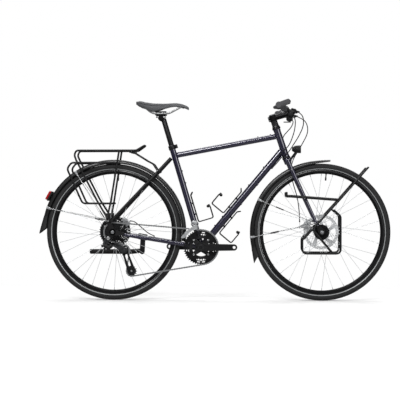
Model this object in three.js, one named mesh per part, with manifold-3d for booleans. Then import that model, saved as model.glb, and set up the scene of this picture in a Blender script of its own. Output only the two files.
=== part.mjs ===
// A touring bicycle with mudguards, racks, disc brakes, a hub dynamo and a 2 x 10 chain drive.
// Millimetres. X points forward, Y to the rider's left, Z up. The ground is at Z = 0.
// While it is built, X is counted from the rear axle; the last lines centre the whole bicycle.
import * as THREE from 'three';
import { mergeVertices } from 'three/addons/utils/BufferGeometryUtils.js';
import Module from 'manifold-3d';

const wasm = await Module();
wasm.setup();

// Driving dimensions

const gap = 0.3; // kept between pieces that touch
const overrun = 5; // how far a cutting tool passes the face that it cuts
const tubeSides = 12;
const pipeSides = 5;
const wireSides = 4;
const bendRoomShare = 0.48; // of the shorter leg, that a bend may take

const wheel = {
  radius: 351, tyreWidth: 40, rimInner: 299, rimOuter: 317.5, rimWidth: 23,
  rimWall: 1.8, rimShoulder: 304, rimNarrow: 14, treadHalf: 11, facets: 32,
  spokes: 32, spokeRadius: 1, spokeFacets: 3, rimStagger: 3, crossStagger: 1.6, headStagger: 1.1,
  crossAngle: 67.5, nippleGap: 0.45,
};
const wheelbase = 1068;
const rearHub = {
  overLocknuts: 135, shell: 15, bore: 6, flangeRight: -19, flangeLeft: 33, flangeRadius: 24,
  flangeThick: 5, spokeCircle: 22.8, end: 50, rotorPlane: 43.5, rotorRadius: 80,
};
const frontHub = {
  overLocknuts: 100, shell: 37, bore: 6, flangeRight: -27, flangeLeft: 27, flangeRadius: 39.5,
  flangeThick: 5, spokeCircle: 38.3, end: 46, rotorPlane: 36, rotorRadius: 90,
};
const rotor = { thick: 2, track: 15, arms: 5, armWidth: 11, carrier: 22 };
const axle = { radius: 5, coneRadius: 9, nutRadius: 9, nutLength: 8, facets: 6 };

const bottomBracket = { forward: 452, drop: 77, shellRadius: 20.5, shellWidth: 68, cupRadius: 22,
  cupWidth: 3.5 };
const seatTube = { angle: 73.46, length: 534, radius: 15.5, bore: 14, boreDepth: 300,
  collarRadius: 18.5, collarHeight: 22, boltRadius: 4, boltWidth: 26, earDepth: 12, earWidth: 14 };
const topTube = { seatPlace: 491, headPlace: 114, radius: 14.3 };
const downTube = { headPlace: 43, radius: 17.5 };
const headTube = { angle: 71.4, length: 150, radius: 18, bore: 15, cupRadius: 21.5, lowerCup: 9,
  upperCup: 17 };
const chainStay = { halfHigh: 10.5, halfWide: 7.5, frontX: 425, frontY: 23.5, frontZ: 278,
  backX: 70, backY: 62, backZ: 336, bridgeX: 377.2, bridgeRadius: 6, plugBack: 30 };
const seatStay = { radius: 8.2, topX: 297, topY: 24.1, topZ: 732, footX: -4, footY: 64.5,
  footZ: 411, bridgeReach: 379, bridgeRadius: 6, searchShare: 0.002 };
const dropout = { thick: 6, eyeletX: -22, eyeletZ: 57, hangerX: -20, hangerZ: -31, hub: 17,
  hangerRadius: 11, eyeletRadius: 9, slot: 5.4, frontReach: 52, frontDrop: -9, topReach: -6 };

const fork = {
  rake: 49, axisHeight: 423.5, steererRadius: 14.3, crownTop: 2, crownHeight: 32, crownHalf: 39,
  crownDeep: 19, bladeTopY: 38, bladeFootY: 54.5, bladeFootAhead: -22, bladeFootUp: 32,
  bladeTopRadius: 12.5, bladeFootRadius: 8, dropoutThick: 6, dropoutRadius: 15, dropoutBack: -28.6,
  dropoutUp: 48,
};
const stem = { spacers: 27, clampHeight: 31, clampRadius: 18, capHeight: 5, capRadius: 17,
  reach: 92, rise: 26, tubeRadius: 14.5, barClampRadius: 20, barClampWidth: 44 };
const bar = { radius: 11.1, bulgeRadius: 15.6, straight: 60, halfWidth: 302, sweep: 64, rise: 19,
  bend: 70 };
const grip = { length: 128, radius: 15.5, wingBack: 38, wingThick: 12, wingSpan: 92, cap: 12,
  hornReach: 62, hornHigh: 15, hornThick: 11, hornTilt: 18, hornKneeShare: 0.6, hornToeShare: 0.3,
  wingShares: [[0, 0], [0.55, 0.12], [1, 0.55], [0.95, 0.9], [0.4, 1], [0, 1]] };
const control = { inset: 26, clampRadius: 17, clampWidth: 14, bodyForward: 44, bodyDown: 30,
  bodyWidth: 40, bodyHigh: 18, podDown: 40, podRadius: 15, podWidth: 22, pivotForward: 46,
  pivotDown: 12, pivotRadius: 3, outletShare: 0.62, boreLength: 40 };
const brakeLever = { length: 118, reach: 12, high: 13, thick: 7, boss: 8, bossHigh: 12,
  kneeShare: 0.3, slotShift: 3.2 };
const shiftLever = { length: 34, wide: 14, thick: 5, forward: 16 };

const mudguard = { rearRadius: 373, frontRadius: 367, halfWidth: 25, skirt: 16, shoulder: 6,
  wall: 2, rearStart: -7.5, rearEnd: 176, frontStart: 83, frontEnd: 201, flapLength: 58, flapSpread: 14,
  flapOut: 14, facetAngle: 11, stayRadius: 1.9, stayOut: 34, eyeStep: 4.5 };
const rearGuardStays = { eyeX: -34.5, eyeRise: 62.5, eyeY: 77.5, footY: 76, angles: [142.5, 162] };
const frontGuardStays = { eyeX: -34, eyeRise: 47, eyeY: 66, footY: 62, angles: [152.5, 184] };

const crank = { length: 170, armHub: 19, armEnd: 16, armThick: 13, armOuter: 75, spindle: 8.5,
  bossOuter: 77, eyeRadius: 7.2, spiderReach: 57, spiderThick: 5, spiderArms: 4, spiderHalf: 8,
  bossInner: 43, facets: 16 };
const chain = { pitch: 12.7, rollerRadius: 3.8, plateHigh: 4.1, waistHigh: 2.7, innerHalf: 1.15,
  plateThick: 1.7 };
const sprocket = { thick: 1.7, rootDepth: 4.5, tipHeight: 2.4, rootHalf: 2.3 };
const chainring = { teeth: 44, smallTeeth: 32, plane: -46.5, spacing: 7, bore: 46, boltCircle: 52,
  spacerRadius: 6 };
const cassette = { teeth: [11, 13, 15, 17, 19, 21, 24, 28, 32, 36], used: 6, outerPlane: -62.5,
  coneEnd: 65.05, spacing: 3.95, bodyRadius: 17, bodyEnd: -23.5, bore: 6.2 };
const pulley = { teeth: 13, boltRadius: 3, bore: 3.5, guideX: 57, guideZ: 258, cageLength: 113.4,
  cageLean: 17, plateInner: 4.3, plateThick: 1.3, plateRadius: 15, plateFoot: 17, armHalf: 4.5,
  armSpread: 9, guideTeeth: 13 };
const derailleur = { knuckleRadius: 12, knuckleStart: -74, knuckleEnd: -90, lobeReach: 26.5,
  linkStartX: 3, linkStartZ: 303, linkHigh: 26, linkThick: 16, linkStartY: -76, footStart: -44.8,
  footEnd: -64, footRadius: 16 };
const frontDerailleur = { bandHeight: 118, bandHigh: 13, bandThick: 3, plateThick: 1.2,
  plateInner: 5, clearance: 6, topX: -18, topZ: 112.8, backX: -66, backZ: 110, tailX: -101,
  tailZ: 70, footX: -97, footZ: 48, bodyHigh: 24, bodyDeep: 20 };

const seatpost = { radius: 13.6, insertion: 150, showing: 158, headRadius: 15, headWidth: 40,
  setback: 12, yokeHigh: 11, yokeLength: 62, boltOffset: 21.7 };
const saddle = { length: 278, noseX: 390, halfWidth: 76, noseHalf: 20, top: 1019, kick: 11,
  noseDrop: 20, depth: 34, skirtDrop: 12, sections: 15, sides: 16, railY: 22, railRadius: 3.5,
  railZ: 962, railBackX: 150, railFrontX: 352, clampBackX: 196, clampFrontX: 282, railLift: 988 };

const rearRack = { tube: 5, crossbarRadius: 4, deckZ: 770, deckBack: -195, deckFront: 120,
  deckHalf: 57, stopX: 160, stopZ: 796, stopHalf: 32, strutTopX: -189, strutTopZ: 722, footX: -26, footZ: 424, footHalf: 82,
  sideY: 66, midTopX: 32, midKneeX: -8, kneeZ: 515, backKneeX: -82, railHalf: 74, railTop: 707,
  railFront: 16, railBack: -212, railHipX: -234, railHipZ: 676, railKneeX: -154, railFoot: 498,
  bend: 26, crossbars: 4, footEye: 8, armStartX: 96, armStartZ: 766, armKneeX: 178,
  armKneeZ: 708, armEndX: 228, armEndZ: 666, armY: 50, armRadius: 3.5, armEyeRadius: 5.6 };
const frontRack = { tube: 5, barRadius: 7, y: 80, barBackX: 887, barBackZ: 535, barFrontX: 1146,
  barFrontZ: 517, hookTop: 553, tipX: 1300, tipZ: 681, joinX: 1150, joinZ: 510, footX: 968,
  loopTopX: 1125, loopTopZ: 466, loopFrontX: 1161, loopShoulderZ: 434, loopBottomZ: 244,
  loopBackZ: 316, eyeX: 1016, eyeZ: 372, bend: 24, strutX: 1123, bladeX: 979, bossRadius: 7 };

const headlight = { x: 940, z: 776, length: 46, radius: 20, pivotX: 931, pivotZ: 752, strapY: 9,
  strapThick: 2.5, strapWide: 12, backShare: 0.45, waistShare: 0.8, waistPlace: 0.3,
  shoulderPlace: 0.7 };
const rearLight = { angle: 151, high: 56, wide: 48, deep: 20, stand: 3 };

const kickstand = { bracketX: 143, bracketLength: 46, bracketHigh: 30, bracketWide: 30,
  headLength: 56, headRadius: 13, headY: 71, headThick: 15, pivotX: 138, pivotZ: 246, pinTilt: 15,
  legLength: 278, legRadius: 11, legDrop: 6, legY: 91, boltRadius: 5 };

const bottle = { radius: 37, wire: 2.6, height: 144, front: 66, backHalf: 13, standOff: 7, lip: 12,
  bend: 9, hoopSteps: 4, seatPlace: 128, downPlace: 206, lowerPlace: 113.5, bossRadius: 5,
  bossShares: [0.3, 0.7] };

const caliper = { length: 62, deep: 34, outerHalf: 15, innerHalf: 9, slotHalf: 1.9, reach: 10,
  tabReach: 24, tabRadius: 7, tabThick: 6, armLength: 38, armWide: 12, armThick: 4,
  armGap: 0.8, frontAngle: 154, rearAngle: 42,
  armAngle: 200 };
// Guide points of the cable housings, in [forward, left, up]
const cable = {
  radius: 2.5, sides: 4, steps: 14, endGap: 2,
  frontBrake: [[990, 120, 925], [1000, 84, 870], [968, 64, 800], [925, 57, 725], [912, 57.5, 665],
    [925, 57, 600], [945, 54, 530], [955, 51, 460], [957.5, 51.5, 415], [958, 53.6, 383.4]],
  rearBrake: [[968, -125, 935], [972, -95, 895], [955, -66, 850], [925, -44, 800], [893, -30, 755],
    [867, -22, 737], [840, -12, 706], [811.9, -6.6, 675.5]],
  leftShift: [[925, 105, 925], [915, 65, 895], [893, 35, 868], [875, 25, 845], [862, 24, 800],
    [850, 23, 760], [835, 20, 728]],
  rightShift: [[930, -108, 922], [930, -75, 880], [918, -48, 835], [900, -34, 795],
    [872, -27, 765], [852, -23, 745], [835, -19.3, 728]],
  stayToBrake: [[206, 48, 326.8], [170, 51, 345], [130, 55, 378], [96, 60, 403], [73, 60.8, 407]],
};

// Points of the frame that other pieces are set by

const toRadians = degrees => degrees * Math.PI / 180;
const at = (x, y, z) => new THREE.Vector3(x, y, z);
const mirrored = point => at(point.x, -point.y, point.z);
const along = (from, direction, distance) => from.clone().addScaledVector(direction, distance);

const rearAxle = at(0, 0, wheel.radius);
const frontAxle = at(wheelbase, 0, wheel.radius);
const bracketCentre = at(bottomBracket.forward, 0, wheel.radius - bottomBracket.drop);
const seatUp = at(-Math.cos(toRadians(seatTube.angle)), 0, Math.sin(toRadians(seatTube.angle)));
const seatTop = along(bracketCentre, seatUp, seatTube.length);
const steerUp = at(-Math.cos(toRadians(headTube.angle)), 0, Math.sin(toRadians(headTube.angle)));
const steerAhead = at(steerUp.z, 0, -steerUp.x);
const headFoot = along(along(frontAxle, steerUp, fork.axisHeight), steerAhead, -fork.rake);
const onSteerer = (up, ahead = 0, y = 0) => along(along(headFoot, steerUp, up), steerAhead, ahead)
  .add(at(0, y, 0));
const stemFoot = headTube.length + headTube.upperCup + stem.spacers;
const barCentre = onSteerer(stemFoot + stem.clampHeight / 2).add(at(stem.reach, 0, stem.rise));
const barEnd = barCentre.clone().add(at(-bar.sweep, bar.halfWidth, bar.rise));
const barKnee = barCentre.clone().add(at(0, bar.straight, 0));
const barOut = barEnd.clone().sub(barKnee).normalize();

// A brake calliper's middle, and the end of it that a tab of the frame or the fork holds.
const calliperAt = (name, centre, hub, angle, tabSign) => {
  const out = at(Math.cos(toRadians(angle)), 0, Math.sin(toRadians(angle)));
  const tangent = at(-out.z, 0, out.x);
  const middle = along(centre, out, hub.rotorRadius - caliper.deep / 2 + caliper.reach);
  const tab = along(middle, tangent, tabSign * caliper.tabReach);
  const outerFace = hub.rotorPlane + caliper.outerHalf;
  return { name, centre, hub, angle, middle, tab, outerFace };
};
const frontCalliper = calliperAt('front', frontAxle, frontHub, caliper.frontAngle, -1);
const rearCalliper = calliperAt('rear', rearAxle, rearHub, caliper.rearAngle, -1);

// Geometry helpers

const positionsOnly = geometry => {
  const bare = new THREE.BufferGeometry();
  bare.setAttribute('position', geometry.getAttribute('position').clone());
  if (geometry.index) bare.setIndex(geometry.index.clone());
  return mergeVertices(bare);
};

const signedVolume = (vertices, triangles) => {
  const [a, b, c] = [at(0, 0, 0), at(0, 0, 0), at(0, 0, 0)];
  let sum = 0;
  for (let i = 0; i < triangles.length; i += 3) {
    a.fromArray(vertices, 3 * triangles[i]);
    b.fromArray(vertices, 3 * triangles[i + 1]);
    c.fromArray(vertices, 3 * triangles[i + 2]);
    sum += a.dot(b.cross(c));
  }
  return sum;
};

// A closed mesh as a solid that can be joined and cut, with its faces pointing out.
const solidOf = geometry => {
  const merged = positionsOnly(geometry);
  const vertices = new Float32Array(merged.getAttribute('position').array);
  const corners = [];
  for (let i = 0; i < merged.index.count; i += 3) {
    const [a, b, c] = [0, 1, 2].map(k => merged.index.getX(i + k));
    if (a !== b && b !== c && c !== a) corners.push(a, b, c);
  }
  const inward = signedVolume(vertices, corners) < 0;
  if (inward) corners.reverse();
  return new wasm.Manifold(new wasm.Mesh({
    numProp: 3, vertProperties: vertices, triVerts: new Uint32Array(corners),
  }));
};

const geometryOf = solid => {
  const mesh = solid.getMesh();
  const geometry = new THREE.BufferGeometry();
  const positions = new THREE.BufferAttribute(new Float32Array(mesh.vertProperties), 3);
  geometry.setAttribute('position', positions);
  geometry.setIndex(new THREE.BufferAttribute(new Uint32Array(mesh.triVerts), 1));
  return geometry;
};

const joinSolids = geometries => geometries.map(solidOf).reduce((whole, next) => whole.add(next));
const joined = geometries => geometryOf(joinSolids(geometries));
const cutBy = (geometries, tools) => {
  const whole = joinSolids(geometries);
  return geometryOf(tools.map(solidOf).reduce((rest, tool) => rest.subtract(tool), whole));
};

// The corner radius of a many-sided bore that clears a round piece.
const boreFor = (radius, sides) => (radius + gap) / Math.cos(Math.PI / sides);

const mirrorCopy = geometry => {
  const copy = positionsOnly(geometry);
  copy.scale(1, -1, 1);
  return geometryOf(solidOf(copy));
};
const bothSides = geometry => [geometry, mirrorCopy(geometry)];

const ringShape = (radius, sides, flatShare = 1) => {
  const corners = [];
  for (let i = 0; i < sides; i += 1) {
    const angle = 2 * Math.PI * (i + 0.5) / sides;
    corners.push(new THREE.Vector2(radius * flatShare * Math.cos(angle), radius * Math.sin(angle)));
  }
  return new THREE.Shape(corners);
};

// A path through stations, with a section's first axis kept along one direction if that is given.
class Route extends THREE.Curve {
  constructor(stations, across) {
    super();
    this.stations = stations;
    this.across = across;
  }

  getPoint(t, target = new THREE.Vector3()) {
    const place = t * (this.stations.length - 1);
    const i = Math.min(Math.floor(place), this.stations.length - 2);
    return target.lerpVectors(this.stations[i], this.stations[i + 1], place - i);
  }

  getPointAt(u, target) {
    return this.getPoint(u, target);
  }

  getTangentAt(u, target = new THREE.Vector3()) {
    const last = this.stations.length - 1;
    const i = Math.round(u * last);
    const here = this.stations[i];
    const before = this.stations[Math.max(i - 1, 0)];
    const after = this.stations[Math.min(i + 1, last)];
    const arriving = here.clone().sub(before).normalize();
    const leaving = after.clone().sub(here).normalize();
    return target.addVectors(arriving, leaving).normalize();
  }

  computeFrenetFrames(segments, closed) {
    if (!this.across) return super.computeFrenetFrames(segments, closed);
    const frames = { tangents: [], normals: [], binormals: [] };
    for (let i = 0; i <= segments; i += 1) {
      const tangent = this.getTangentAt(i / segments);
      const normal = this.across.clone().addScaledVector(tangent, -tangent.dot(this.across));
      normal.normalize();
      frames.tangents.push(tangent);
      frames.normals.push(normal);
      frames.binormals.push(tangent.clone().cross(normal));
    }
    return frames;
  }
}

const swept = (stations, shape, across) => new THREE.ExtrudeGeometry(shape, {
  steps: stations.length - 1, extrudePath: new Route(stations, across), bevelEnabled: false,
});

// Corner points with their corners rounded to a bend radius.
const rounded = (corners, bend, steps = 3) => {
  const stations = [corners[0]];
  for (let i = 1; i < corners.length - 1; i += 1) {
    const back = corners[i - 1].clone().sub(corners[i]);
    const ahead = corners[i + 1].clone().sub(corners[i]);
    const turn = Math.PI - back.angleTo(ahead);
    const room = Math.min(back.length(), ahead.length()) * bendRoomShare;
    const setback = Math.min(bend * Math.tan(turn / 2), room);
    const arc = new THREE.QuadraticBezierCurve3(
      along(corners[i], back.normalize(), setback), corners[i],
      along(corners[i], ahead.normalize(), setback),
    );
    stations.push(...arc.getPoints(steps));
  }
  stations.push(corners[corners.length - 1]);
  return stations;
};

const pipe = (corners, radius, { bend = radius * 3, sides = pipeSides, steps = 2 } = {}) =>
  swept(rounded(corners, bend, steps), ringShape(radius, sides));

const rod = (from, to, radius, { endRadius = radius, sides = 12 } = {}) => {
  const direction = to.clone().sub(from);
  const geometry = new THREE.CylinderGeometry(endRadius, radius, direction.length(), sides);
  const upright = at(0, 1, 0);
  const turn = new THREE.Quaternion().setFromUnitVectors(upright, direction.clone().normalize());
  geometry.applyQuaternion(turn);
  const middle = from.clone().add(to).multiplyScalar(0.5);
  return geometry.translate(middle.x, middle.y, middle.z);
};

// A round piece across the bicycle, from one Y to another, at a centre in the XZ plane.
const crossRod = (centre, fromY, toY, radius, sides = 12) =>
  rod(at(centre.x, fromY, centre.z), at(centre.x, toY, centre.z), radius, { sides });

const turned = (profile, facets) => {
  const points = profile.map(([radius, y]) => new THREE.Vector2(radius, y));
  return new THREE.LatheGeometry(points, facets);
};
const turnedRing = (profile, facets) => turned([...profile, profile[0]], facets);

// A flat plate in the XZ plane, from an outline of [x, z] points.
const plate = (outline, fromY, toY, holes = []) => {
  const shape = new THREE.Shape(outline.map(([x, z]) => new THREE.Vector2(x, z)));
  shape.holes = holes.map(hole => new THREE.Path(hole.map(([x, z]) => new THREE.Vector2(x, z))));
  const depth = Math.abs(toY - fromY);
  const geometry = new THREE.ExtrudeGeometry(shape, { depth, bevelEnabled: false });
  return geometry.rotateX(Math.PI / 2).translate(0, Math.max(fromY, toY), 0);
};

const arcPoints = (x, z, radius, fromAngle, toAngle, steps) => {
  const points = [];
  for (let i = 0; i <= steps; i += 1) {
    const angle = toRadians(fromAngle + (toAngle - fromAngle) * i / steps);
    points.push([x + radius * Math.cos(angle), z + radius * Math.sin(angle)]);
  }
  return points;
};
const circlePoints = (x, z, radius, sides) => arcPoints(x, z, radius, 0, 360, sides).slice(0, -1);

// The outline round two discs, as of a link, a lever or a crank arm.
const linkOutline = (from, fromRadius, to, toRadius, steps = 4) => {
  const heading = Math.atan2(to[1] - from[1], to[0] - from[0]) * 180 / Math.PI;
  const distance = Math.hypot(to[0] - from[0], to[1] - from[1]);
  const lean = Math.acos((fromRadius - toRadius) / distance) * 180 / Math.PI;
  return [
    ...arcPoints(from[0], from[1], fromRadius, heading + lean, heading + 360 - lean, steps),
    ...arcPoints(to[0], to[1], toRadius, heading - lean, heading + lean, steps),
  ];
};
const link = (from, fromRadius, to, toRadius, fromY, toY, steps = 3) =>
  plate(linkOutline(from, fromRadius, to, toRadius, steps), fromY, toY);

// Materials

const finish = (hex, roughness, metalness) =>
  new THREE.MeshStandardMaterial({ color: hex, roughness, metalness });
const finishes = {
  paint: finish(0x14101f, 0.35, 0.5),
  blackMetal: finish(0x18181a, 0.5, 0.6),
  blackPlastic: finish(0x1b1b1c, 0.6, 0.0),
  silver: finish(0xb9bbbd, 0.35, 0.9),
  steel: finish(0x9a9a98, 0.4, 0.9),
  rubber: finish(0x1d1d1e, 0.85, 0.0),
  gripRubber: finish(0x2a2a2c, 0.9, 0.0),
  saddleCover: finish(0x2b2b2d, 0.7, 0.0),
  redLens: finish(0x8a0c10, 0.2, 0.0),
};

const bicycle = new THREE.Group();
const add = (name, geometry, material, parent = bicycle) => {
  const mesh = new THREE.Mesh(geometryOf(solidOf(geometry)), material);
  mesh.name = name;
  parent.add(mesh);
  return mesh;
};
const groupAt = (point, parent = bicycle) => {
  const group = new THREE.Group();
  group.position.copy(point);
  parent.add(group);
  return group;
};

// The frame's tubes, each cut back from the one that it meets

const headAxis = [onSteerer(0), onSteerer(headTube.length)];
const headBody = extra => rod(headAxis[0], headAxis[1], headTube.radius + extra, { sides: tubeSides });
const headPieces = [
  headBody(0),
  rod(onSteerer(-headTube.lowerCup), onSteerer(gap), headTube.cupRadius, { sides: tubeSides }),
  rod(onSteerer(headTube.length - gap), onSteerer(headTube.length + headTube.upperCup),
    headTube.cupRadius, { sides: tubeSides, endRadius: headTube.radius }),
];
const steererBore = rod(onSteerer(-headTube.lowerCup - overrun),
  onSteerer(headTube.length + headTube.upperCup + overrun), headTube.bore, { sides: tubeSides });
add('head_tube', cutBy(headPieces, [steererBore]), finishes.paint);

const seatBody = extra => rod(bracketCentre, seatTop, seatTube.radius + extra, { sides: tubeSides });
const shellHalf = bottomBracket.shellWidth / 2;
const shellBody = extra => crossRod(bracketCentre, -shellHalf, shellHalf,
  bottomBracket.shellRadius + extra, crank.facets);
const cups = [-1, 1].map(side => crossRod(bracketCentre, side * (shellHalf - bottomBracket.cupWidth),
  side * (shellHalf + bottomBracket.cupWidth), bottomBracket.cupRadius, crank.facets));
const collarFoot = along(seatTop, seatUp, -seatTube.collarHeight / 2);
const collarTop = along(seatTop, seatUp, seatTube.collarHeight / 2);
const seatAhead = at(seatUp.z, 0, -seatUp.x);
const collarBolt = along(seatTop, seatAhead, seatTube.collarRadius + seatTube.earDepth / 2);
const collarEar = () => {
  const box = new THREE.BoxGeometry(seatTube.earDepth * 2, seatTube.earWidth,
    seatTube.collarHeight - gap);
  box.rotateY(-Math.PI / 2 + toRadians(seatTube.angle));
  const place = along(seatTop, seatAhead, seatTube.collarRadius);
  return box.translate(place.x, place.y, place.z);
};
const postBore = rod(along(seatTop, seatUp, -seatTube.boreDepth),
  along(collarTop, seatUp, overrun), seatTube.bore, { sides: tubeSides });
const spindleBore = crossRod(bracketCentre, -shellHalf * 2, shellHalf * 2,
  crank.spindle + 2 * gap, crank.facets);
add('seat_tube', cutBy([
  seatBody(0), shellBody(0), ...cups,
  rod(collarFoot, collarTop, seatTube.collarRadius, { sides: tubeSides }),
  collarEar(),
  crossRod(collarBolt, -seatTube.boltWidth / 2, seatTube.boltWidth / 2, seatTube.boltRadius, 8),
], [postBore, spindleBore]), finishes.paint);

const topTubeBack = along(bracketCentre, seatUp, topTube.seatPlace);
const topTubeFront = onSteerer(topTube.headPlace);
add('top_tube', cutBy([rod(topTubeBack, topTubeFront, topTube.radius, { sides: tubeSides })],
  [seatBody(gap), headBody(gap)]), finishes.paint);

const downTubeTop = onSteerer(downTube.headPlace);
const downTubeBody = extra => rod(bracketCentre, downTubeTop, downTube.radius + extra,
  { sides: tubeSides });
add('down_tube', cutBy([downTubeBody(0)], [seatBody(gap), shellBody(gap), headBody(gap)]),
  finishes.paint);

const dropoutInner = rearHub.overLocknuts / 2;
const dropoutOuter = dropoutInner + dropout.thick;
const chainStayEnds = [
  at(chainStay.frontX, chainStay.frontY, chainStay.frontZ),
  at(chainStay.backX, chainStay.backY, chainStay.backZ),
];
const chainStayPlug = at(chainStay.backX - chainStay.plugBack, dropoutInner + dropout.thick / 2,
  rearAxle.z + dropout.frontDrop);
const oneChainStay = extra => swept([...chainStayEnds, chainStayPlug], ringShape(
  chainStay.halfHigh + extra, 10, (chainStay.halfWide + extra) / (chainStay.halfHigh + extra),
), at(0, 1, 0));
const dropoutHub = [rearAxle.x, rearAxle.z];
const dropoutPlate = (side, withHanger) => {
  const [fromY, toY] = [side * dropoutInner, side * dropoutOuter];
  const eyelet = [dropout.eyeletX, rearAxle.z + dropout.eyeletZ];
  const front = [rearAxle.x + dropout.frontReach, rearAxle.z + dropout.frontDrop];
  const upper = [dropout.topReach, rearAxle.z + dropout.eyeletZ];
  const pieces = [
    link(dropoutHub, dropout.hub, front, dropout.hub / 2, fromY, toY),
    link(dropoutHub, dropout.hub, eyelet, dropout.eyeletRadius, fromY, toY),
    link(eyelet, dropout.eyeletRadius, upper, dropout.eyeletRadius, fromY, toY),
  ];
  if (withHanger) {
    const hanger = [dropout.hangerX, rearAxle.z + dropout.hangerZ];
    pieces.push(link(dropoutHub, dropout.hub, hanger, dropout.hangerRadius, fromY, toY));
  }
  return pieces;
};
const chainStayBridge = at(chainStay.bridgeX, 0, chainStay.frontZ
  + (chainStay.backZ - chainStay.frontZ) * (chainStay.frontX - chainStay.bridgeX)
  / (chainStay.frontX - chainStay.backX));
add('chain_stays', cutBy([
  ...bothSides(oneChainStay(0)),
  crossRod(chainStayBridge, -chainStay.frontY, chainStay.frontY, chainStay.bridgeRadius, 8),
  ...dropoutPlate(-1, true), ...dropoutPlate(1, false),
  link([rearCalliper.tab.x, chainStay.backZ], caliper.tabRadius,
    [rearCalliper.tab.x, rearCalliper.tab.z], caliper.tabRadius,
    rearCalliper.outerFace + gap, rearCalliper.outerFace + caliper.tabThick),
], [
  shellBody(gap), seatBody(gap),
  crossRod(rearAxle, -dropoutOuter - overrun, dropoutOuter + overrun, dropout.slot, 12),
  crossRod(rearAxle, -dropoutInner, dropoutInner, dropout.hub + overrun, 16),
]), finishes.paint);

const stayTop = at(seatStay.topX, seatStay.topY, seatStay.topZ);
const stayFoot = at(seatStay.footX, seatStay.footY, seatStay.footZ);
const stayDown = stayFoot.clone().sub(stayTop).normalize();
const stayBridgeShare = (() => {
  let share = 0;
  const reachAt = s => stayTop.clone().lerp(stayFoot, s).setY(0).distanceTo(rearAxle);
  while (reachAt(share) > seatStay.bridgeReach) share += seatStay.searchShare;
  return share;
})();
const stayBridge = stayTop.clone().lerp(stayFoot, stayBridgeShare);
add('seat_stays', cutBy([
  ...bothSides(rod(stayTop, stayFoot, seatStay.radius, { sides: 10 })),
  crossRod(stayBridge, -stayBridge.y, stayBridge.y, seatStay.bridgeRadius, 8),
], [
  seatBody(gap),
  plate(circlePoints(dropout.eyeletX, rearAxle.z + dropout.eyeletZ, dropout.hub * 2, 4),
    dropoutInner - gap, dropoutOuter + gap),
  plate(circlePoints(dropout.eyeletX, rearAxle.z + dropout.eyeletZ, dropout.hub * 2, 4),
    -dropoutInner + gap, -dropoutOuter - gap),
]), finishes.blackMetal);

// Mudguards: a channel swept round the wheel, a flap, and two wire stays

const guardSection = () => {
  const half = mudguard.halfWidth;
  const outer = [
    [-half, -mudguard.skirt], [-half + mudguard.shoulder, 0],
    [half - mudguard.shoulder, 0], [half, -mudguard.skirt],
  ];
  const wall = mudguard.wall;
  const inner = [
    [half - wall, -mudguard.skirt], [half - mudguard.shoulder - wall / 2, -wall],
    [-half + mudguard.shoulder + wall / 2, -wall], [-half + wall, -mudguard.skirt],
  ];
  return new THREE.Shape([...outer, ...inner].map(([x, y]) => new THREE.Vector2(x, y)));
};
const guardFacets = (from, to) => Math.round((to - from) / mudguard.facetAngle);
// How far the faceted crown lies from the wheel's centre at an angle
const guardSurface = (radius, from, to, angle) => {
  const facet = (to - from) / guardFacets(from, to);
  const pastMiddle = (angle - from) % facet - facet / 2;
  return radius * Math.cos(toRadians(facet / 2)) / Math.cos(toRadians(pastMiddle));
};
const guardChannel = (centre, radius, from, to) => {
  const steps = guardFacets(from, to);
  const stations = arcPoints(centre.x, centre.z, radius, from, to, steps)
    .map(([x, z]) => at(x, 0, z));
  return swept(stations, guardSection(), at(0, -1, 0));
};
const guardFlap = (centre, radius, from) => {
  const angle = toRadians(from);
  const down = at(-Math.sin(angle), 0, Math.cos(angle));
  const out = at(Math.cos(angle), 0, Math.sin(angle));
  const root = along(centre, out, radius - mudguard.wall);
  const start = along(root, down, -mudguard.wall * 2);
  const foot = along(along(root, down, mudguard.flapLength), out, mudguard.flapOut);
  const middle = start.clone().lerp(foot, 0.5).addScaledVector(out, -mudguard.flapOut / 5);
  const half = mudguard.halfWidth;
  const section = new THREE.Shape([
    new THREE.Vector2(-half, 0), new THREE.Vector2(half, 0),
    new THREE.Vector2(half, mudguard.wall), new THREE.Vector2(-half, mudguard.wall),
  ]);
  const flap = swept([start, middle, foot], section, at(0, -1, 0));
  const place = flap.getAttribute('position');
  for (let i = 0; i < place.count; i += 1) {
    const point = at(0, 0, 0).fromBufferAttribute(place, i);
    const share = Math.min(Math.max(point.clone().sub(root).dot(down) / mudguard.flapLength, 0), 1);
    place.setY(i, point.y * (1 + share * mudguard.flapSpread / half));
  }
  return flap;
};
const guardStay = (centre, surface, angle, eye, footY) => {
  const out = at(Math.cos(toRadians(angle)), 0, Math.sin(toRadians(angle)));
  const crown = along(centre, out, surface - mudguard.wall / 2);
  const side = crown.clone().add(at(0, mudguard.stayOut, 0));
  const half = [at(eye.x, footY, eye.z), eye, side];
  return pipe([...half, ...half.map(mirrored).reverse()], mudguard.stayRadius,
    { sides: wireSides, bend: mudguard.stayRadius * 2, steps: 1 });
};
// A mudguard with its two stays, whose eyes sit one above the other on one bolt.
const mudguardOn = (centre, radius, [from, to], stays) => {
  const eye = centre.clone().setY(stays.eyeY).add(at(stays.eyeX, 0, stays.eyeRise));
  return joined([
    guardChannel(centre, radius, from, to), guardFlap(centre, radius, to),
    ...stays.angles.map((angle, i) => guardStay(centre, guardSurface(radius, from, to, angle),
      angle, along(eye, at(0, 0, 1), -i * mudguard.eyeStep), stays.footY)),
  ]);
};
add('rear_mudguard', mudguardOn(rearAxle, mudguard.rearRadius,
  [mudguard.rearStart, mudguard.rearEnd], rearGuardStays), finishes.blackPlastic);
add('front_mudguard', mudguardOn(frontAxle, mudguard.frontRadius,
  [mudguard.frontStart, mudguard.frontEnd], frontGuardStays), finishes.blackPlastic);

// Wheels: tyre, rim, and a hub with its laced spokes and brake rotor

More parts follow.
